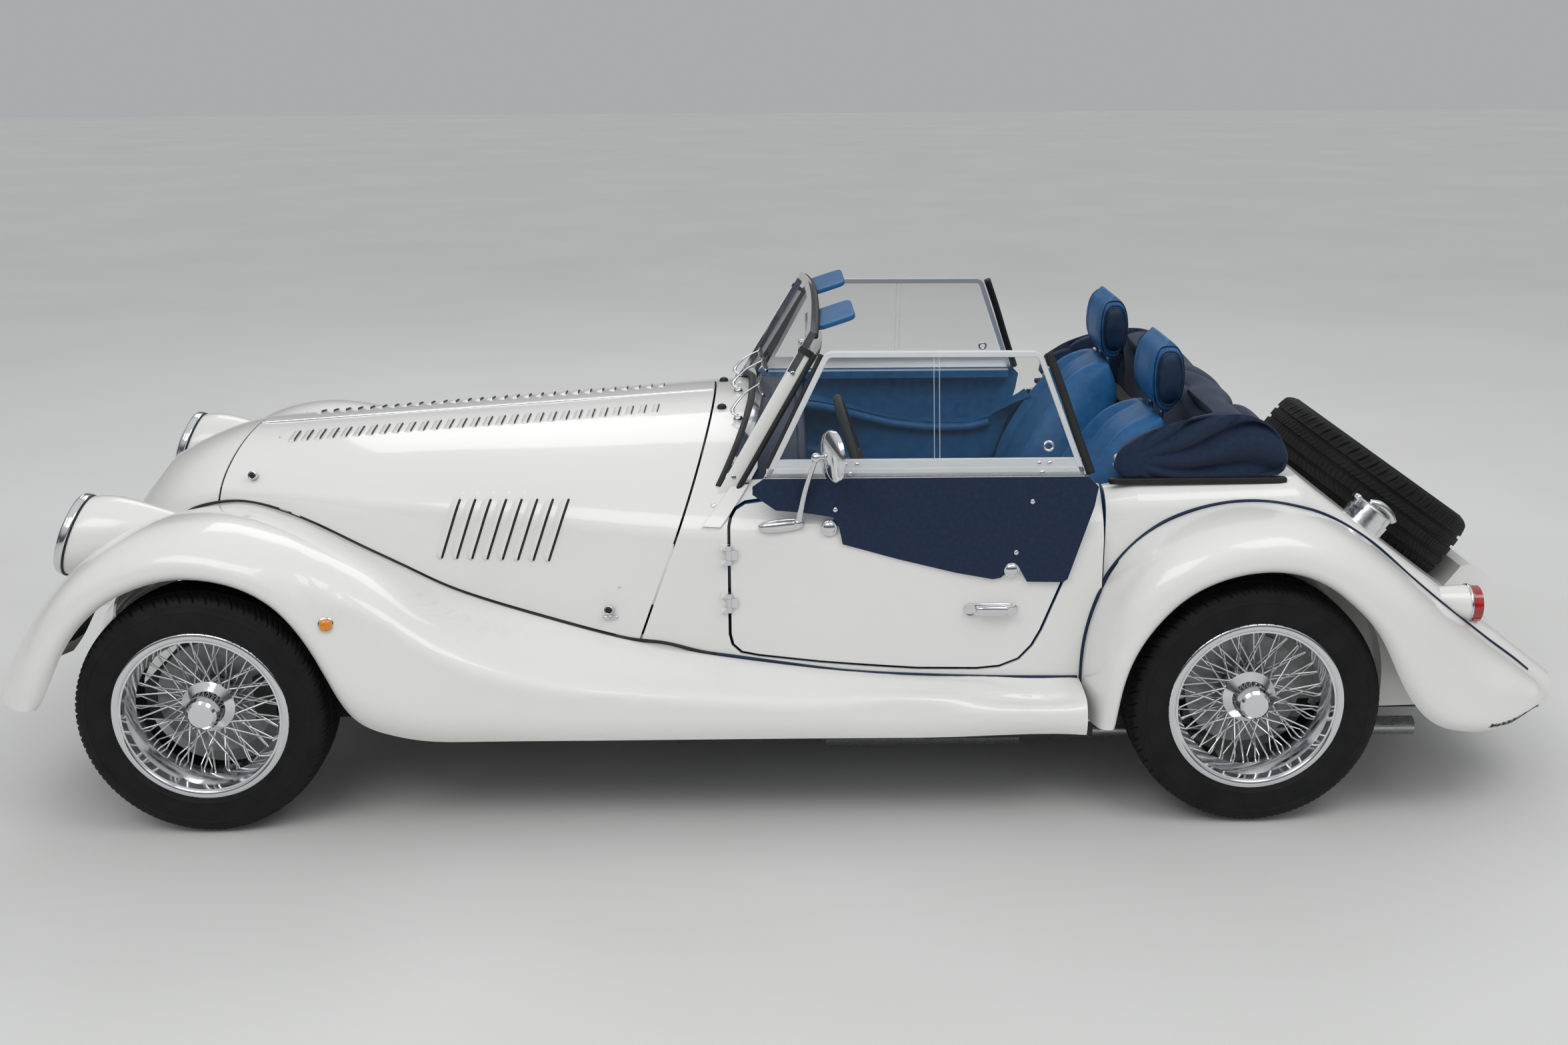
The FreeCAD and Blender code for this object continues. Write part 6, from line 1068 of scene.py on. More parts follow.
for side, sign in sides.items():
    door = "door_" + side
    # frame: a flat bar carried round the loop, its section leaning with the screen
    loop, inward = roundedLoop(sideOutline["corners"], sideOutline["radii"])
    inner = loop + inward * sideOutline["bar"]
    ring = [
        (loop, sideOutline["depth"] - 1.5), (loop + inward * 1.5, sideOutline["depth"]),
        (inner - inward * 1.5, sideOutline["depth"]), (inner, sideOutline["depth"] - 1.5), (inner, 1),
        (loop, 1)]
    rows = np.stack([onSide(p[:, 0], p[:, 1], out, sign) for p, out in ring], 1)
    bars = [
        surface("frame", rows, closeAcross=True, closeAlong=True),
        sideBar(1351, 2104, (845, 869), sideOutline["depth"], sign)]
    framePiece = piece(
        "side_frame_" + side, joinMeshes("side_frame", bars), anodisedAluminium, door,
        angle=35)
    # panel: the node's own lower part, cut level under the frame and closed there
    panelMesh = meshOf(
        "side_panel", meshPoints("side_screen_" + side),
        [list(poly.vertices) for poly in nodes["side_screen_" + side].data.polygons], smooth=False)
    work = bmesh.new()
    work.from_mesh(panelMesh)
    cut = bmesh.ops.bisect_plane(
        work, geom=work.verts[:] + work.edges[:] + work.faces[:], plane_co=(0, 0, sideOutline["panelTop"]),
        plane_no=(0, 0, 1), clear_outer=True)
    bmesh.ops.holes_fill(work, edges=[edge for edge in work.edges if edge.is_boundary], sides=0)
    bmesh.ops.triangulate(work, faces=[face for face in work.faces if len(face.verts) > 4])
    bmesh.ops.recalc_face_normals(work, faces=work.faces)
    work.to_mesh(panelMesh)
    work.free()
    piece("side_panel_" + side, panelMesh, [anodisedAluminium, navyCloth, blueHide], door)
    turned = np.empty(len(panelMesh.polygons) * 3)
    panelMesh.polygons.foreach_get("normal", turned)
    facing = turned.reshape(-1, 3)[:, 1] * sign
    panelMesh.polygons.foreach_set(
        "material_index", np.where(facing > 0.5, 1, np.where(facing < -0.5, 2, 0)).astype(np.int32))
    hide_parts("side_screen_" + side)
    # glass: two panes as one slab between the bars, and the bright upright edges where they
    # pass each other
    (frontLow, low, rearLow), (frontHigh, high, rearHigh) = sideOutline["glass"]
    share = np.linspace(0, 1, 9)
    front = frontLow + (frontHigh - frontLow) * share
    rear = rearLow + (rearHigh - rearLow) * share
    height = low + (high - low) * share
    pane = np.stack(
        [
            onSide(front, height, 11, sign), onSide(rear, height, 11, sign), onSide(rear, height, 7, sign),
            onSide(front, height, 7, sign)],
        1)
    panePiece = piece(
        "side_pane_" + side, surface("side_pane", pane, closeAcross=True, caps=True), clearGlass, door,
        angle=30)
    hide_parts("side_glass_" + side)
    edges = []
    for s in sideOutline["paneEdges"]:
        edge = np.stack(
            [onSide(s + a, height, out, sign) for a, out in ((0, 11.6), (1.8, 11.6), (1.8, 6.6), (0, 6.6))],
            1)
        edges.append(surface("edge", edge, closeAcross=True, caps=True))
    piece("pane_edges_" + side, joinMeshes("pane_edges", edges), lampGlass, door, angle=30)
    rail = sideBar(1366, 2098, (867, 888), 14, sign)
    piece("side_rail_" + side, rail, anodisedAluminium, door, angle=30)
    tilted = np.array([0, sign * math.cos(sideFrame["tilt"]), math.sin(sideFrame["tilt"])])
    for end, out in (("rear", 10), ("front", 4)):
        line = smoothPath(np.array([onSide(s, z, out, sign) for s, z in sideRubbers[end]]), 60)
        piece(
            f"side_{end}_rubber_{side}",
            tube(end + "_rubber", line, sideRubbers[end + "Radius"], 10, up=(0, 1, 0)), sealRubber, door)
    screws = [
        stud(onSide(s, z, out, sign), tilted, 0.0052, 0.0022) for s, z, out in sideStuds["frame"]]
    screws += [
        stud(besideAt(place, sign), (0, sign, 0), 0.0062, 0.003) for place in sideStuds["skin"]]
    # the two domes that clamp the screen to the door, each with a collar
    for place in sideStuds["clamps"]:
        screws.append(stud(besideAt(place, sign), (0, sign, 0), 0.0165, 0.009, 32))
        screws.append(lathe("collar", sideStuds["collar"], besideAt(place, sign), (0, sign, 0), 32))
    piece("side_studs_" + side, joinMeshes("studs", screws), chromePlate, door)
    turn = np.linspace(0, 2 * math.pi, 40, endpoint=False)
    upward = np.array([0, -sign * math.sin(sideFrame["tilt"]), math.cos(sideFrame["tilt"])])
    s, z = sideOutline["ring"]
    hoop = onSide(s, z, 14, sign) + sideOutline["ringReach"] * (
        np.cos(turn)[:, None] * np.array([1.0, 0, 0]) + np.sin(turn)[:, None] * upward)
    piece(
        "side_ring_" + side, tube("ring", hoop, sideOutline["ringWire"], 10, up=tilted, closed=True),
        polishedAluminium, door)
print("side screens dressed")

# door mirrors: a long plated foot on the door, a tapered arm, a ball and a domed dish turned in
# toward the driver
doorMirror = {
    "foot": (1386, 652, 729), "elbow": (1426, 664, 738), "ball": (1467, 730, 915), "dish": (1504, 742, 920),
    "reach": 0.062, "turn": math.radians(22), "lean": math.radians(6)}
doorHandle = {
    "stations": (1838, 1891, 1944), "height": 520, "plate": (0.130, 0.014, 0.031),
    "grip": (0.084, 0.020, 0.024),
    "boss": [(-0.004, 0.0150), (0.010, 0.0148), (0.0125, 0.0135), (0.0115, 0.0095), (0.0118, 0.0030)],
    "barrel": [(-0.004, 0.0130), (0.026, 0.0128), (0.0285, 0.0110), (0.0290, 0.0030)]}
for side, sign in sides.items():
    kept = nodes["door_fittings_" + side].data
    verts = meshPoints("door_fittings_" + side)
    faces = [list(poly.vertices) for poly in kept.polygons]
    middles = np.array([verts[face].mean(0) for face in faces])
    stays = middles[:, 0] < frontAxle + 1.310  # the hinge barrels; handle and mirror are made anew
    rest = meshOf("rest", verts, [face for face, stay in zip(faces, stays) if stay])
    place = {name: besideAt(doorMirror[name], sign) for name in ("foot", "elbow", "ball", "dish")}
    facing = np.array([math.cos(doorMirror["turn"]), -sign * math.sin(doorMirror["turn"]), 0])
    angle = np.linspace(0.04, math.pi / 2, 20)
    shell = [(-0.019 * math.cos(a), doorMirror["reach"] * math.sin(a)) for a in angle] + [
        (0.005, doorMirror["reach"]), (0.0065, doorMirror["reach"] - 0.0015),
        (0.005, doorMirror["reach"] - 0.004), (0.0045, 0.002)]
    arm = smoothPath(
        [
            place["elbow"], place["elbow"] * 0.45 + place["ball"] * 0.55 + [-0.004, -sign * 0.004, 0],
            place["ball"]],
        30)
    back = place["dish"] - facing * 0.017
    tilted = leaned(doorMirror["lean"])
    skin = ontoBody([(s, doorHandle["height"]) for s in doorHandle["stations"]], ["door_" + side], sign, 0.0)
    handle = [
        softBox("plate", skin[1] + [0, sign * 0.002, 0], doorHandle["plate"], power=3.4, steps=(24, 40)),
        softBox(
            "grip", skin[1] + [0.004, sign * 0.019, 0.001], doorHandle["grip"], power=3.4, steps=(24, 40)),
        lathe("boss", doorHandle["boss"], skin[0] + [0.002, 0, 0], (0, sign, 0), 36),
        lathe("barrel", doorHandle["barrel"], skin[2] - [0.006, 0, 0], (0, sign, 0), 36)]
    bits = handle + [
        rest, lathe("dish", shell, place["dish"], facing, 72),
        softBox("ball", place["ball"], (0.024, 0.024, 0.024), power=2.0, steps=(16, 24)),
        tube("neck", np.array([place["ball"], back]), 0.0055, 14),
        tube("arm", arm, np.linspace(0.0085, 0.0058, 30), 16, up=(1, 0, 0)),
        softBox("foot", place["foot"], (0.112, 0.034, 0.030), axes=tilted, power=2.6, steps=(24, 40)),
        softBox("elbow", place["elbow"], (0.022, 0.024, 0.022), power=2.2, steps=(16, 24)),
        lathe(
            "screw", [(-0.003, 0.0052), (0.0012, 0.0050), (0.0020, 0.0032)], back - facing * 0.0020,
            -facing, 18)]
    made = piece(
        "door_hardware_" + side, joinMeshes("door_hardware", bits), chromePlate, "door_" + side,
        angle=40)
    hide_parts("door_fittings_" + side)
print("mirrors made")

# bonnet: thin black walls of painted shade in the openings behind the pressed blades along the top, and the
# catches at its foot
bonnet = {
    "front": -20, "run": 1233, "nose": 840, "rise": 82, "halfFront": 335, "halfRear": 625, "archFront": 113,
    "archRear": 250, "leanFront": 0.20, "leanRear": 0.36, "count": 29, "first": 0.111, "span": 0.773,
    "inner": 108, "outer": 188, "high": 4.4}


def roofPoint(share, y):
    # Roof arch: z = top - depth (1 - sqrt(1 - (y / half)^2)), set back by the seam's lean, in mm.
    top = bonnet["nose"] + share * bonnet["rise"]
    half = bonnet["halfFront"] + share * (bonnet["halfRear"] - bonnet["halfFront"])
    depth = bonnet["archFront"] + share * (bonnet["archRear"] - bonnet["archFront"])
    lean = bonnet["leanFront"] + share * (bonnet["leanRear"] - bonnet["leanFront"])
    drop = depth * (1 - np.sqrt(1 - (y / half) ** 2))
    return np.stack(
        [bonnet["front"] + share * bonnet["run"] - lean * drop + 0 * y, y + 0 * drop, top - drop], -1)


catch = {
    "places": ((967, 504), (46, 776)), "footSize": (0.040, 0.014, 0.009), "leg": 0.0050, "screw": (24, 58),
    "knob": [
        (-0.004, 0.0075), (0.006, 0.0075), (0.008, 0.0115), (0.022, 0.0115), (0.0240, 0.0095),
        (0.0225, 0.0080)],
    "cap": [(0.0215, 0.0086), (0.0232, 0.0078), (0.0238, 0.0020)],
    "screwHead": [(-0.001, 0.0035), (0.002, 0.0032), (0.003, 0.0010)]}
for side, sign in sides.items():
    slotShades = []
    across = np.linspace(bonnet["inner"] + 5, bonnet["outer"] - 5, 8)
    # each opening behind a blade gets a thin black wall, up to 4.4 mm high: painted shade where the opening
    # is dark
    for share in bonnet["first"] + np.arange(bonnet["count"]) * bonnet["span"] / (bonnet["count"] - 1):
        base = roofPoint(share, across) + [1.2, 0, 0]
        crown = np.minimum(1, np.minimum(across - bonnet["inner"], bonnet["outer"] - across) / 14)
        ring = np.stack(
            [
                base + [0, 0, 0.3], base + [0.9, 0, 0.3],
                base + np.stack([0.9 + 0 * crown, 0 * crown, bonnet["high"] * crown], -1),
                base + np.stack([0 * crown, 0 * crown, bonnet["high"] * crown], -1)],
            1)
        ring[..., 1] *= sign
        slotShades.append(
            surface(
                "slotShade",
                np.stack([ring[..., 0] / 1000 + frontAxle, ring[..., 1] / 1000, ring[..., 2] / 1000], -1),
                closeAcross=True, caps=True))
    # the black rubber finish on these walls is painted shade
    piece(
        "louvre_slot_shades_" + side, joinMeshes("louvre_slot_shades", slotShades), sealRubber, "bonnet_" + side)
    # over-centre catch: a plated knob standing on a winged foot, with a dark cap in its end
    knobs, caps = [], []
    for s, z in catch["places"]:
        spot = ontoBody([(s, z)], ["bonnet_" + side, "scuttle", "nose_cowl"], sign, 0.0)[0]
        out = unit(np.array([-0.15, sign, 0.25]))
        knobs.append(lathe("knob", catch["knob"], spot, out, 28))
        caps.append(lathe("cap", catch["cap"], spot, out, 24))
        under = spot + [0, sign * 0.003, -0.019]
        knobs.append(softBox("foot", under, catch["footSize"], power=4.0, steps=(16, 24)))
        legLine = np.array([spot + [0, sign * 0.006, -0.020], spot + [0, sign * 0.010, -0.004]])
        knobs.append(tube("leg", legLine, catch["leg"], 12, up=(1, 0, 0)))
        screwAt = (s + catch["screw"][0], z + catch["screw"][1])
        screwSpot = ontoBody([screwAt], ["bonnet_" + side], sign, 0.0)[0]
        knobs.append(lathe("screw", catch["screwHead"], screwSpot, out, 14))
    piece("bonnet_catches_" + side, joinMeshes("catches", knobs), chromePlate, "bonnet_" + side)
    piece(
        "catch_caps_" + side, joinMeshes("catch_caps", caps), sealRubber, "bonnet_" + side)

# side louvres: eight leaning blades raised from the bonnet's flank, each with a black strip of painted shade
# standing in its open rear edge
louvres = {
    "count": 8, "foot": (537, 597), "head": (592, 755), "step": (39.3, 1.7), "width": 0.021, "high": 0.0075,
    "mouthShade": 0.0042}
for side, sign in sides.items():
    tree = treeOf("bonnet_" + side)
    blades, mouthShades = [], []
    run = np.linspace(0, 1, 28)
    for number in range(louvres["count"]):
        found = []
        for k in run:
            s, z = (
                foot + (head - foot) * k + number * step
                for foot, head, step in zip(louvres["foot"], louvres["head"], louvres["step"]))
            hit = tree.ray_cast(Vector(at(s, sign * 900, z)), Vector((0, -sign, 0)))
            found.append(list(hit[0]) + list(hit[1]))
        found = np.array(found)
        path, normal = eased(found[:, :3], 2), unit(eased(found[:, 3:], 8))
        forward = unit(np.cross(np.gradient(path, axis=0), normal))
        forward *= np.where(forward[:, :1] > 0, -1.0, 1.0)
        end = np.clip(1 - np.abs(2 * run - 1) ** 7, 0, 1) ** 0.5  # blades fade into the skin at both ends
        across = np.linspace(0, 1, 8)
        # blade: at a share a of its width the height is high * end * cos(pi / 2 a)^1.4, closed
        # below the skin
        rows = []
        for a in across:
            rise = 0.0002 + louvres["high"] * end * math.cos(math.pi / 2 * a) ** 1.4
            ahead = a * louvres["width"] * (0.45 + 0.55 * end)
            rows.append(path + forward * ahead[:, None] + normal * rise[:, None])
        rows.append(path + forward * (louvres["width"] * (0.45 + 0.55 * end))[:, None] - normal * 0.001)
        rows.append(path - normal * 0.001)
        blades.append(surface("blade", np.stack(rows, 1), closeAcross=True, caps=True))
        inner = slice(1, -1)
        # a black strip standing in the blade's open rear edge, rising with the blade: painted shade where the
        # opening is dark
        lip = [(0.0006, -0.001), (0.0006, 0.0007), (-louvres["mouthShade"], 0.0007), (-louvres["mouthShade"], -0.001)]
        mouthShade = np.stack(
            [
                path[inner] + forward[inner] * a + normal[inner] * (
                    h + (louvres["high"] * end[inner] * 0.86)[:, None] * (a > 0 and h > 0))
                for a, h in lip],
            1)
        mouthShades.append(surface("mouthShade", mouthShade, closeAcross=True, caps=True))
    piece(
        "side_louvres_" + side, joinMeshes("side_louvres", blades), pearlEnamel, "bonnet_" + side,
        angle=60)
    # the black rubber finish on these strips is painted shade
    piece(
        "louvre_mouth_shades_" + side, joinMeshes("louvre_mouth_shades", mouthShades), sealRubber, "bonnet_" + side)
print("bonnet dressed")

# amber repeaters on the wings, and the fuel filler's lid with its lever
repeater = {"place": (323, 900, 543), "lens": (0.031, 0.020, 0.031), "rim": (0.037, 0.010, 0.037)}
for side, sign in sides.items():
    tree = treeOf("front_wing_" + side)
    hit = tree.ray_cast(Vector(besideAt(repeater["place"], sign)), Vector((0, -sign, 0)))
    spot, normal = np.array(hit[0]), np.array(hit[1])
    along = unit(np.cross(normal, [0, 0, 1.0])) * -sign
    axes = np.array([along, normal, np.cross(along, normal)])
    piece(
        "repeater_" + side,
        softBox(
            "repeater", spot + normal * 0.002, repeater["lens"], axes=axes, power=2.2, steps=(32, 48)),
        amberAcrylic, "chassis")
    piece(
        "repeater_rim_" + side,
        softBox("repeater_rim", spot, repeater["rim"], axes=axes, power=2.4, steps=(24, 40)),
        chromePlate, "chassis")
filler = {"lean": math.radians(38), "lever": [0.008, 0.012, 0.009], "hinge": 0.0070, "hingeHalf": 0.018}
fillerPoints = meshPoints("fuel_filler")
deck = np.array([math.sin(filler["lean"]), 0, math.cos(filler["lean"])])
high = fillerPoints @ deck
topRing = fillerPoints[high > high.max() - 0.0008]
fillerTop = (topRing.max(0) + topRing.min(0)) / 2
fillerReach = (topRing[:, 1].max() - topRing[:, 1].min()) / 2
lidProfile = [
    (0.0002, fillerReach * 0.995), (0.003, fillerReach * 0.97), (0.0055, fillerReach * 0.86),
    (0.0070, fillerReach * 0.5), (0.0074, 0.004)]
rearward = np.array([deck[2], 0, -deck[0]])
lever = smoothPath(
    [
        fillerTop + deck * 0.008 - rearward * 0.020, fillerTop + deck * 0.016,
        fillerTop + deck * 0.015 + rearward * fillerReach * 0.8,
        fillerTop + deck * 0.006 + rearward * fillerReach * 1.18],
    30)
hingeMiddle = fillerTop + deck * 0.001 - rearward * fillerReach * 1.05
hingeLine = np.array([hingeMiddle + [0, w, 0] for w in (-filler["hingeHalf"], filler["hingeHalf"])])
fillerBits = [
    lathe("lid", lidProfile, fillerTop, deck, 64),
    tube(
        "lever", lever, np.interp(np.linspace(0, 1, 30), [0, 0.3, 1], filler["lever"]), 14,
        up=(0, 1, 0)),
    tube("hinge", hingeLine, filler["hinge"], 16)]
piece("filler_lid", joinMeshes("filler_lid", fillerBits), polishedAluminium, "chassis")

# cockpit: hide on the inner skins, padded door pockets, carpet, dials and levers
pocketPad = {
    "front": 1300, "rear": 2010, "foot": 405, "edge": 0.003, "puff": 0.024, "roll": 0.006,
    "top": [
        (1300, 655), (1360, 668), (1450, 640), (1560, 600), (1700, 568), (1850, 552), (2010, 548)]}
doorRoll = {"front": 1330, "rear": 2040, "radius": 0.0125, "in": 0.011, "down": 0.012}
for side, sign in sides.items():
    # the door's inner skin, then its top edge and its rear edge
    paintFaces("door_" + side, blueHide, lambda c, n: n[:, 1] * sign < -0.25)
    paintFaces(
        "door_" + side, blueHide,
        lambda c, n: ((n[:, 2] > 0.5) & (c[:, 2] > 500) & ((c[:, 1] * sign < 600) | (c[:, 0] > 1510)))
        | ((c[:, 0] > 2030) & (c[:, 2] > 520) & (np.abs(n[:, 1]) < 0.5)))
    # the two hinges on the scuttle, and its inner skin
    paintFaces(
        "scuttle", chromePlate,
        lambda c, n: (np.abs(c[:, 0] - 1263) < 17) & (c[:, 1] * sign > 652)
        & (((c[:, 2] > 495) & (c[:, 2] < 575)) | ((c[:, 2] > 612) & (c[:, 2] < 695))))
    paintFaces(
        "scuttle", blueHide,
        lambda c, n: (n[:, 1] * sign < -0.25) & (c[:, 1] * sign > 100) & (c[:, 0] > 1330))
    # pocket: a low pad with a rolled, dipping top edge, seen from inside
    sRun = np.linspace(pocketPad["front"], pocketPad["rear"], 70)
    topEdge = np.interp(sRun, *zip(*pocketPad["top"]))
    tree = treeOf("door_" + side)
    rowsOut = []
    for share in np.linspace(0, 1, 26):
        z = pocketPad["foot"] + (topEdge - pocketPad["foot"]) * share
        hits = [tree.ray_cast(Vector(at(s, 0, h)), Vector((0, sign, 0)))[0] for s, h in zip(sRun, z)]
        wide = np.array([h[1] * sign if h is not None else np.nan for h in hits])
        good = ~np.isnan(wide)
        wide = np.interp(sRun, sRun[good], wide[good]) if good.any() else np.full(len(sRun), 0.62)
        rowsOut.append(np.stack([sRun / 1000 + frontAxle, sign * wide, z / 1000], -1))
    wall = np.array(rowsOut)  # (height, run, 3)
    u, v = np.linspace(0, 1, wall.shape[0])[:, None], np.linspace(0, 1, wall.shape[1])[None, :]
    # thickness = edge + puff (1 - |2u - 1|^6)^0.5 (1 - |2v - 1|^14)^0.5, and a roll along the top
    cushion = ((1 - np.abs(2 * u - 1) ** 6) * (1 - np.abs(2 * v - 1) ** 14)) ** 0.5
    topRoll = pocketPad["roll"] * np.exp(-((u - 0.93) / 0.05) ** 2)
    puff = pocketPad["edge"] + pocketPad["puff"] * cushion + topRoll
    inner = wall.copy()
    inner[..., 1] -= sign * puff
    back = wall.copy()
    back[..., 1] -= sign * 0.001
    shell = np.concatenate([inner.transpose(1, 0, 2), back.transpose(1, 0, 2)[:, ::-1]], 1)
    pocket = piece(
        "door_pocket_" + side, surface("door_pocket", shell, closeAcross=True, caps=True), blueHide,
        "door_" + side)
    # a rolled pad along the top of the door
    edge = []
    for s in np.linspace(doorRoll["front"], doorRoll["rear"], 60):
        column = [tree.ray_cast(Vector(at(s, 0, z)), Vector((0, sign, 0)))[0] for z in range(810, 500, -6)]
        firstHit = next((h for h in column if h is not None), None)
        if firstHit is not None:
            edge.append(np.array(firstHit) + [0, -sign * doorRoll["in"], -doorRoll["down"]])
    roll = eased(np.array(edge), 6)
    rollPiece = piece(
        "door_roll_" + side, tube("door_roll", roll, doorRoll["radius"], 16, up=(0, 1, 0)), blueHide,
        "door_" + side)
# hide over the top of the scuttle behind the glass, with a rolled rear edge over the dash
scuttleTree = treeOf("scuttle")
topRows, topEdge = [], []
for y in np.linspace(-540, 540, 91):
    start = screen["station"] + math.tan(screen["lean"]) * (float(sillHeight(y)) - screen["sill"]) + 16
    hits = [
        scuttleTree.ray_cast(Vector(at(s, y, 1200)), Vector((0, 0, -1)))[0]
        for s in np.arange(start, 1520, 4.0)]
    good = [h for h in hits if h is not None and h[2] > float(sillHeight(y)) / 1000 - 0.045]
    run = np.linspace(0, len(good) - 1, 12).astype(int)
    row = np.array([good[k] for k in run]) + [0, 0, 0.0016]
    topRows.append(row)
    topEdge.append(row[-1])
topRows = np.array(topRows)
under = topRows[:, ::-1] - [0, 0, 0.0022]
piece(
    "dash_top", surface("dash_top", np.concatenate([topRows, under], 1), closeAcross=True, caps=True),
    navyHide, "chassis", angle=60)
dashRoll = piece(
    "dash_roll", tube("dash_roll", eased(np.array(topEdge), 8) + [0.002, 0, -0.006], 0.0130, 16), navyHide,
    "chassis")
paintFaces(
    "floor_tub", blueCarpet,
    lambda c, n: (n[:, 2] > 0.5) | ((np.abs(n[:, 1]) > 0.5) & (np.abs(c[:, 1]) < 600) & (c[:, 2] > 190)))
# the well behind the seats
paintFaces(
    "tail_body", navyCloth,
    lambda c, n: (np.abs(c[:, 1]) < 560) & (c[:, 0] > 2172) & (c[:, 0] < 2600) & (c[:, 2] < 800)
    & (n[:, 0] < 0.9))
paintFaces("firewall", blueCarpet, lambda c, n: n[:, 0] > 0.5)
dials = {
    "big": (0.047, ((-430, 800), (-262, 800))),
    "small": (0.026, ((-75, 812), (0, 812), (75, 812), (0, 760)))}
dashPoints = meshPoints("dashboard")
dashFace = float(dashPoints[:, 0].max())
bezels, faces, needles = [], [], []
for radius, places in dials.values():
    for y, z in places:
        place = np.array([dashFace, y / 1000, z / 1000])
        bezel = [
            (-0.001, radius), (0.006, radius * 1.02), (0.008, radius * 0.97), (0.0065, radius * 0.90),
            (0.003, radius * 0.89), (-0.001, radius * 0.89)]
        bezels.append(lathe("bezel", bezel, place, (1, 0, 0), 40, closed=True))
        dial = [(-0.001, radius * 0.9), (0.0022, radius * 0.9), (0.0024, 0.001)]
        faces.append(lathe("dial", dial, place, (1, 0, 0), 32))
        pointed = [place + [0.0038, 0.003, -0.004], place + [0.0038, -radius * 0.45, radius * 0.5]]
        needles.append(tube("needle", np.array(pointed), 0.0010, 6))
piece("dial_bezels", joinMeshes("bezels", bezels), chromePlate, "chassis")
piece("dial_faces", joinMeshes("dials", faces), sealRubber, "chassis")
piece("dial_needles", joinMeshes("needles", needles), pearlEnamel, "chassis")
# the gear lever in the middle and the hand brake beside it, as (station, height) up each rod
rods = {
    "gear": [(1600, 392), (1606, 440), (1618, 500), (1622, 536)], "gearRod": 0.0065, "brakeBeside": 70,
    "brake": [(1830, 392), (1780, 420), (1690, 474), (1650, 498)], "brakeRod": 0.0085, "grip": 0.0135,
    "knob": (0.044, 0.044, 0.048), "boot": (0.120, 0.100, 0.034), "brakeBoot": (0.10, 0.05, 0.034)}
gear = smoothPath([at(s, 0, z) for s, z in rods["gear"]], 24)
brake = smoothPath([at(s, rods["brakeBeside"], z) for s, z in rods["brake"]], 24)
levers = [
    tube("gear", gear, rods["gearRod"], 12, up=(0, 1, 0)),
    tube("brake", brake, rods["brakeRod"], 12, up=(0, 1, 0))]
piece("lever_rods", joinMeshes("levers", levers), chromePlate, "chassis")
grips = [
    softBox("knob", at(1623, 0, 552), rods["knob"], power=2.6),
    softBox("boot", at(1602, 0, 402), rods["boot"], power=3.0),
    tube("grip", brake[14:], rods["grip"], 14, up=(0, 1, 0)),
    softBox("brake_boot", at(1815, rods["brakeBeside"], 402), rods["brakeBoot"], power=3.0)]
piece("lever_grips", joinMeshes("grips", grips), sealRubber, "chassis")
print("cockpit trimmed")

# floor, light and camera
floorSettings = {"half": 30.0, "worldStrength": 0.76}
half = floorSettings["half"]
floorMesh = bpy.data.meshes.new("studioFloor")
floorMesh.from_pydata(
    [(-half, -half, 0), (half, -half, 0), (half, half, 0), (-half, half, 0)], [], [(0, 1, 2, 3)])
floor = bpy.data.objects.new("studioFloor", floorMesh)
bpy.context.scene.collection.objects.link(floor)
studioPaint, t, s, p = finish("studioPaint", Roughness=0.55)  # matt floor paint, rolled
colourDrift(t, s, p, 0.8, "#D6D6D3", "#DCDCDA", 2.0)
floorMesh.materials.append(studioPaint)
floor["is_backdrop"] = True

world = bpy.data.worlds.new("studioAir")
world.use_nodes = True
sky = world.node_tree
sky.nodes["Background"].inputs["Color"].default_value = hexLinear("#E8EAEC")
sky.nodes["Background"].inputs["Strength"].default_value = floorSettings["worldStrength"]
shown = addNode(sky, "ShaderNodeBackground", {"Color": hexLinear("#A9ACAE"), "Strength": 1.0})
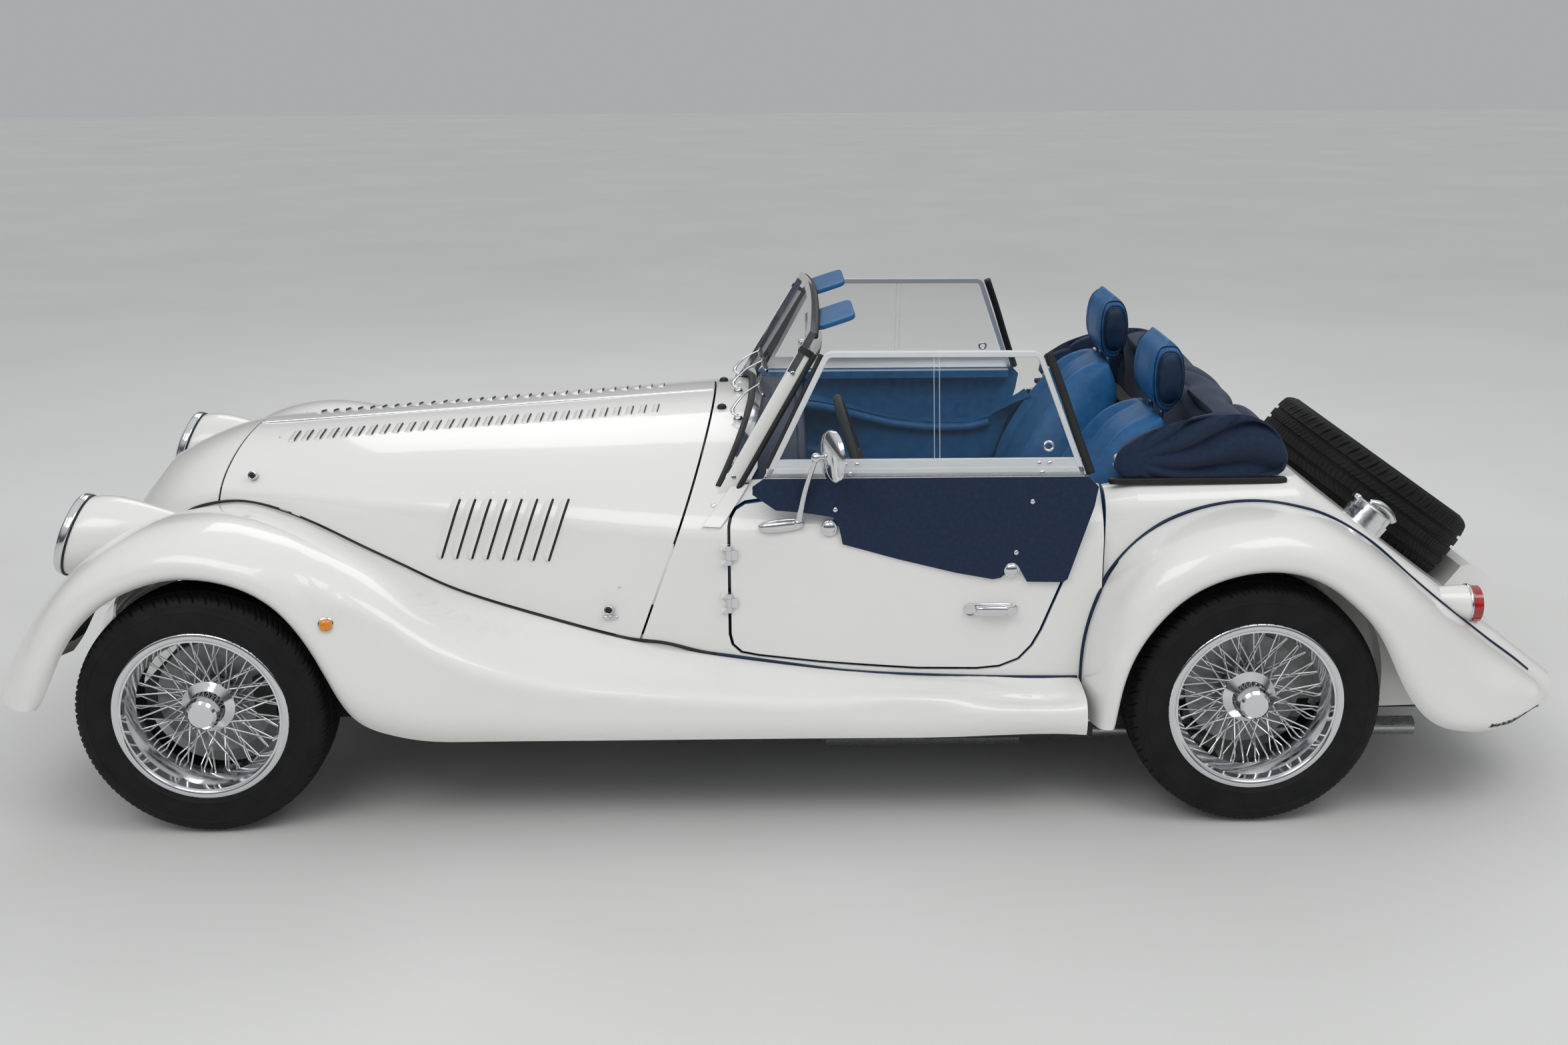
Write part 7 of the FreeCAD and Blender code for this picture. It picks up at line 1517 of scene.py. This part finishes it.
# what plated and lacquered parts mirror: a pale floor, a dark wall to about 20 degrees up, then a
# bright ceiling
upward = addNode(
    sky, "ShaderNodeSeparateXYZ",
    links={0: addNode(sky, "ShaderNodeTexCoord").outputs["Generated"]}).outputs["Z"]
room = ramp(
    sky,
    addNode(
        sky, "ShaderNodeMapRange", {"From Min": -1.0, "From Max": 1.0},
        {"Value": upward}).outputs["Result"],
    [
        (0.0, "#B8B8B5"), (0.485, "#C4C4C1"), (0.50, "#56585B"), (0.60, "#5E6063"), (0.70, "#CFD1D3"),
        (1.0, "#F2F3F4")])
mirrored = addNode(sky, "ShaderNodeBackground", {"Strength": 0.85}, {"Color": room.outputs["Color"]})
path = addNode(sky, "ShaderNodeLightPath")
glossy = addNode(
    sky, "ShaderNodeMixShader",
    links={0: path.outputs["Is Glossy Ray"], 1: sky.nodes["Background"].outputs[0], 2: mirrored.outputs[0]})
choice = addNode(
    sky, "ShaderNodeMixShader",
    links={0: path.outputs["Is Camera Ray"], 1: glossy.outputs[0], 2: shown.outputs[0]})
sky.links.new(choice.outputs[0], sky.nodes["World Output"].inputs["Surface"])
bpy.context.scene.world = world

lamps = [  # place, aim, width, length, watts
    ((-2.2, -4.5, 5.2), (0.2, 0, 0.5), 4.0, 2.5, 88),
    ((2.6, -3.2, 5.5), (0.2, 0, 0.5), 3.5, 2.5, 74),
    ((0.0, 4.5, 4.6), (0.0, 0, 0.6), 6.0, 2.0, 66),
]
for number, (place, aim, width, length, watts) in enumerate(lamps):
    light = bpy.data.lights.new(f"softLamp{number}", "AREA")
    light.shape, light.size, light.size_y, light.energy = "RECTANGLE", width, length, watts
    holder = bpy.data.objects.new(f"softLamp{number}", light)
    holder.location = place
    holder.rotation_euler = (Vector(aim) - Vector(place)).to_track_quat("-Z", "Y").to_euler()
    bpy.context.scene.collection.objects.link(holder)

# the photo's own place to stand: turned about Z, pitched down and rolled, in degrees
cameraSettings = {
    "lens": 40.14, "film": 36.0, "place": (-0.0648, -4.6594, 1.9111), "turn": -0.677, "pitch": 16.34,
    "roll": -0.291}
lens = bpy.data.cameras.new("studioCamera")
lens.lens, lens.sensor_width = cameraSettings["lens"], cameraSettings["film"]
camera = bpy.data.objects.new("studioCamera", lens)
camera.matrix_world = (
    Matrix.Translation(cameraSettings["place"])
    @ Matrix.Rotation(math.radians(cameraSettings["turn"]), 4, "Z")
    @ Matrix.Rotation(math.radians(90 - cameraSettings["pitch"]), 4, "X")
    @ Matrix.Rotation(math.radians(cameraSettings["roll"]), 4, "Z"))
bpy.context.scene.collection.objects.link(camera)
bpy.context.scene.camera = camera
bpy.context.scene.view_settings.view_transform = "Standard"

low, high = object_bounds()
print("stage set")
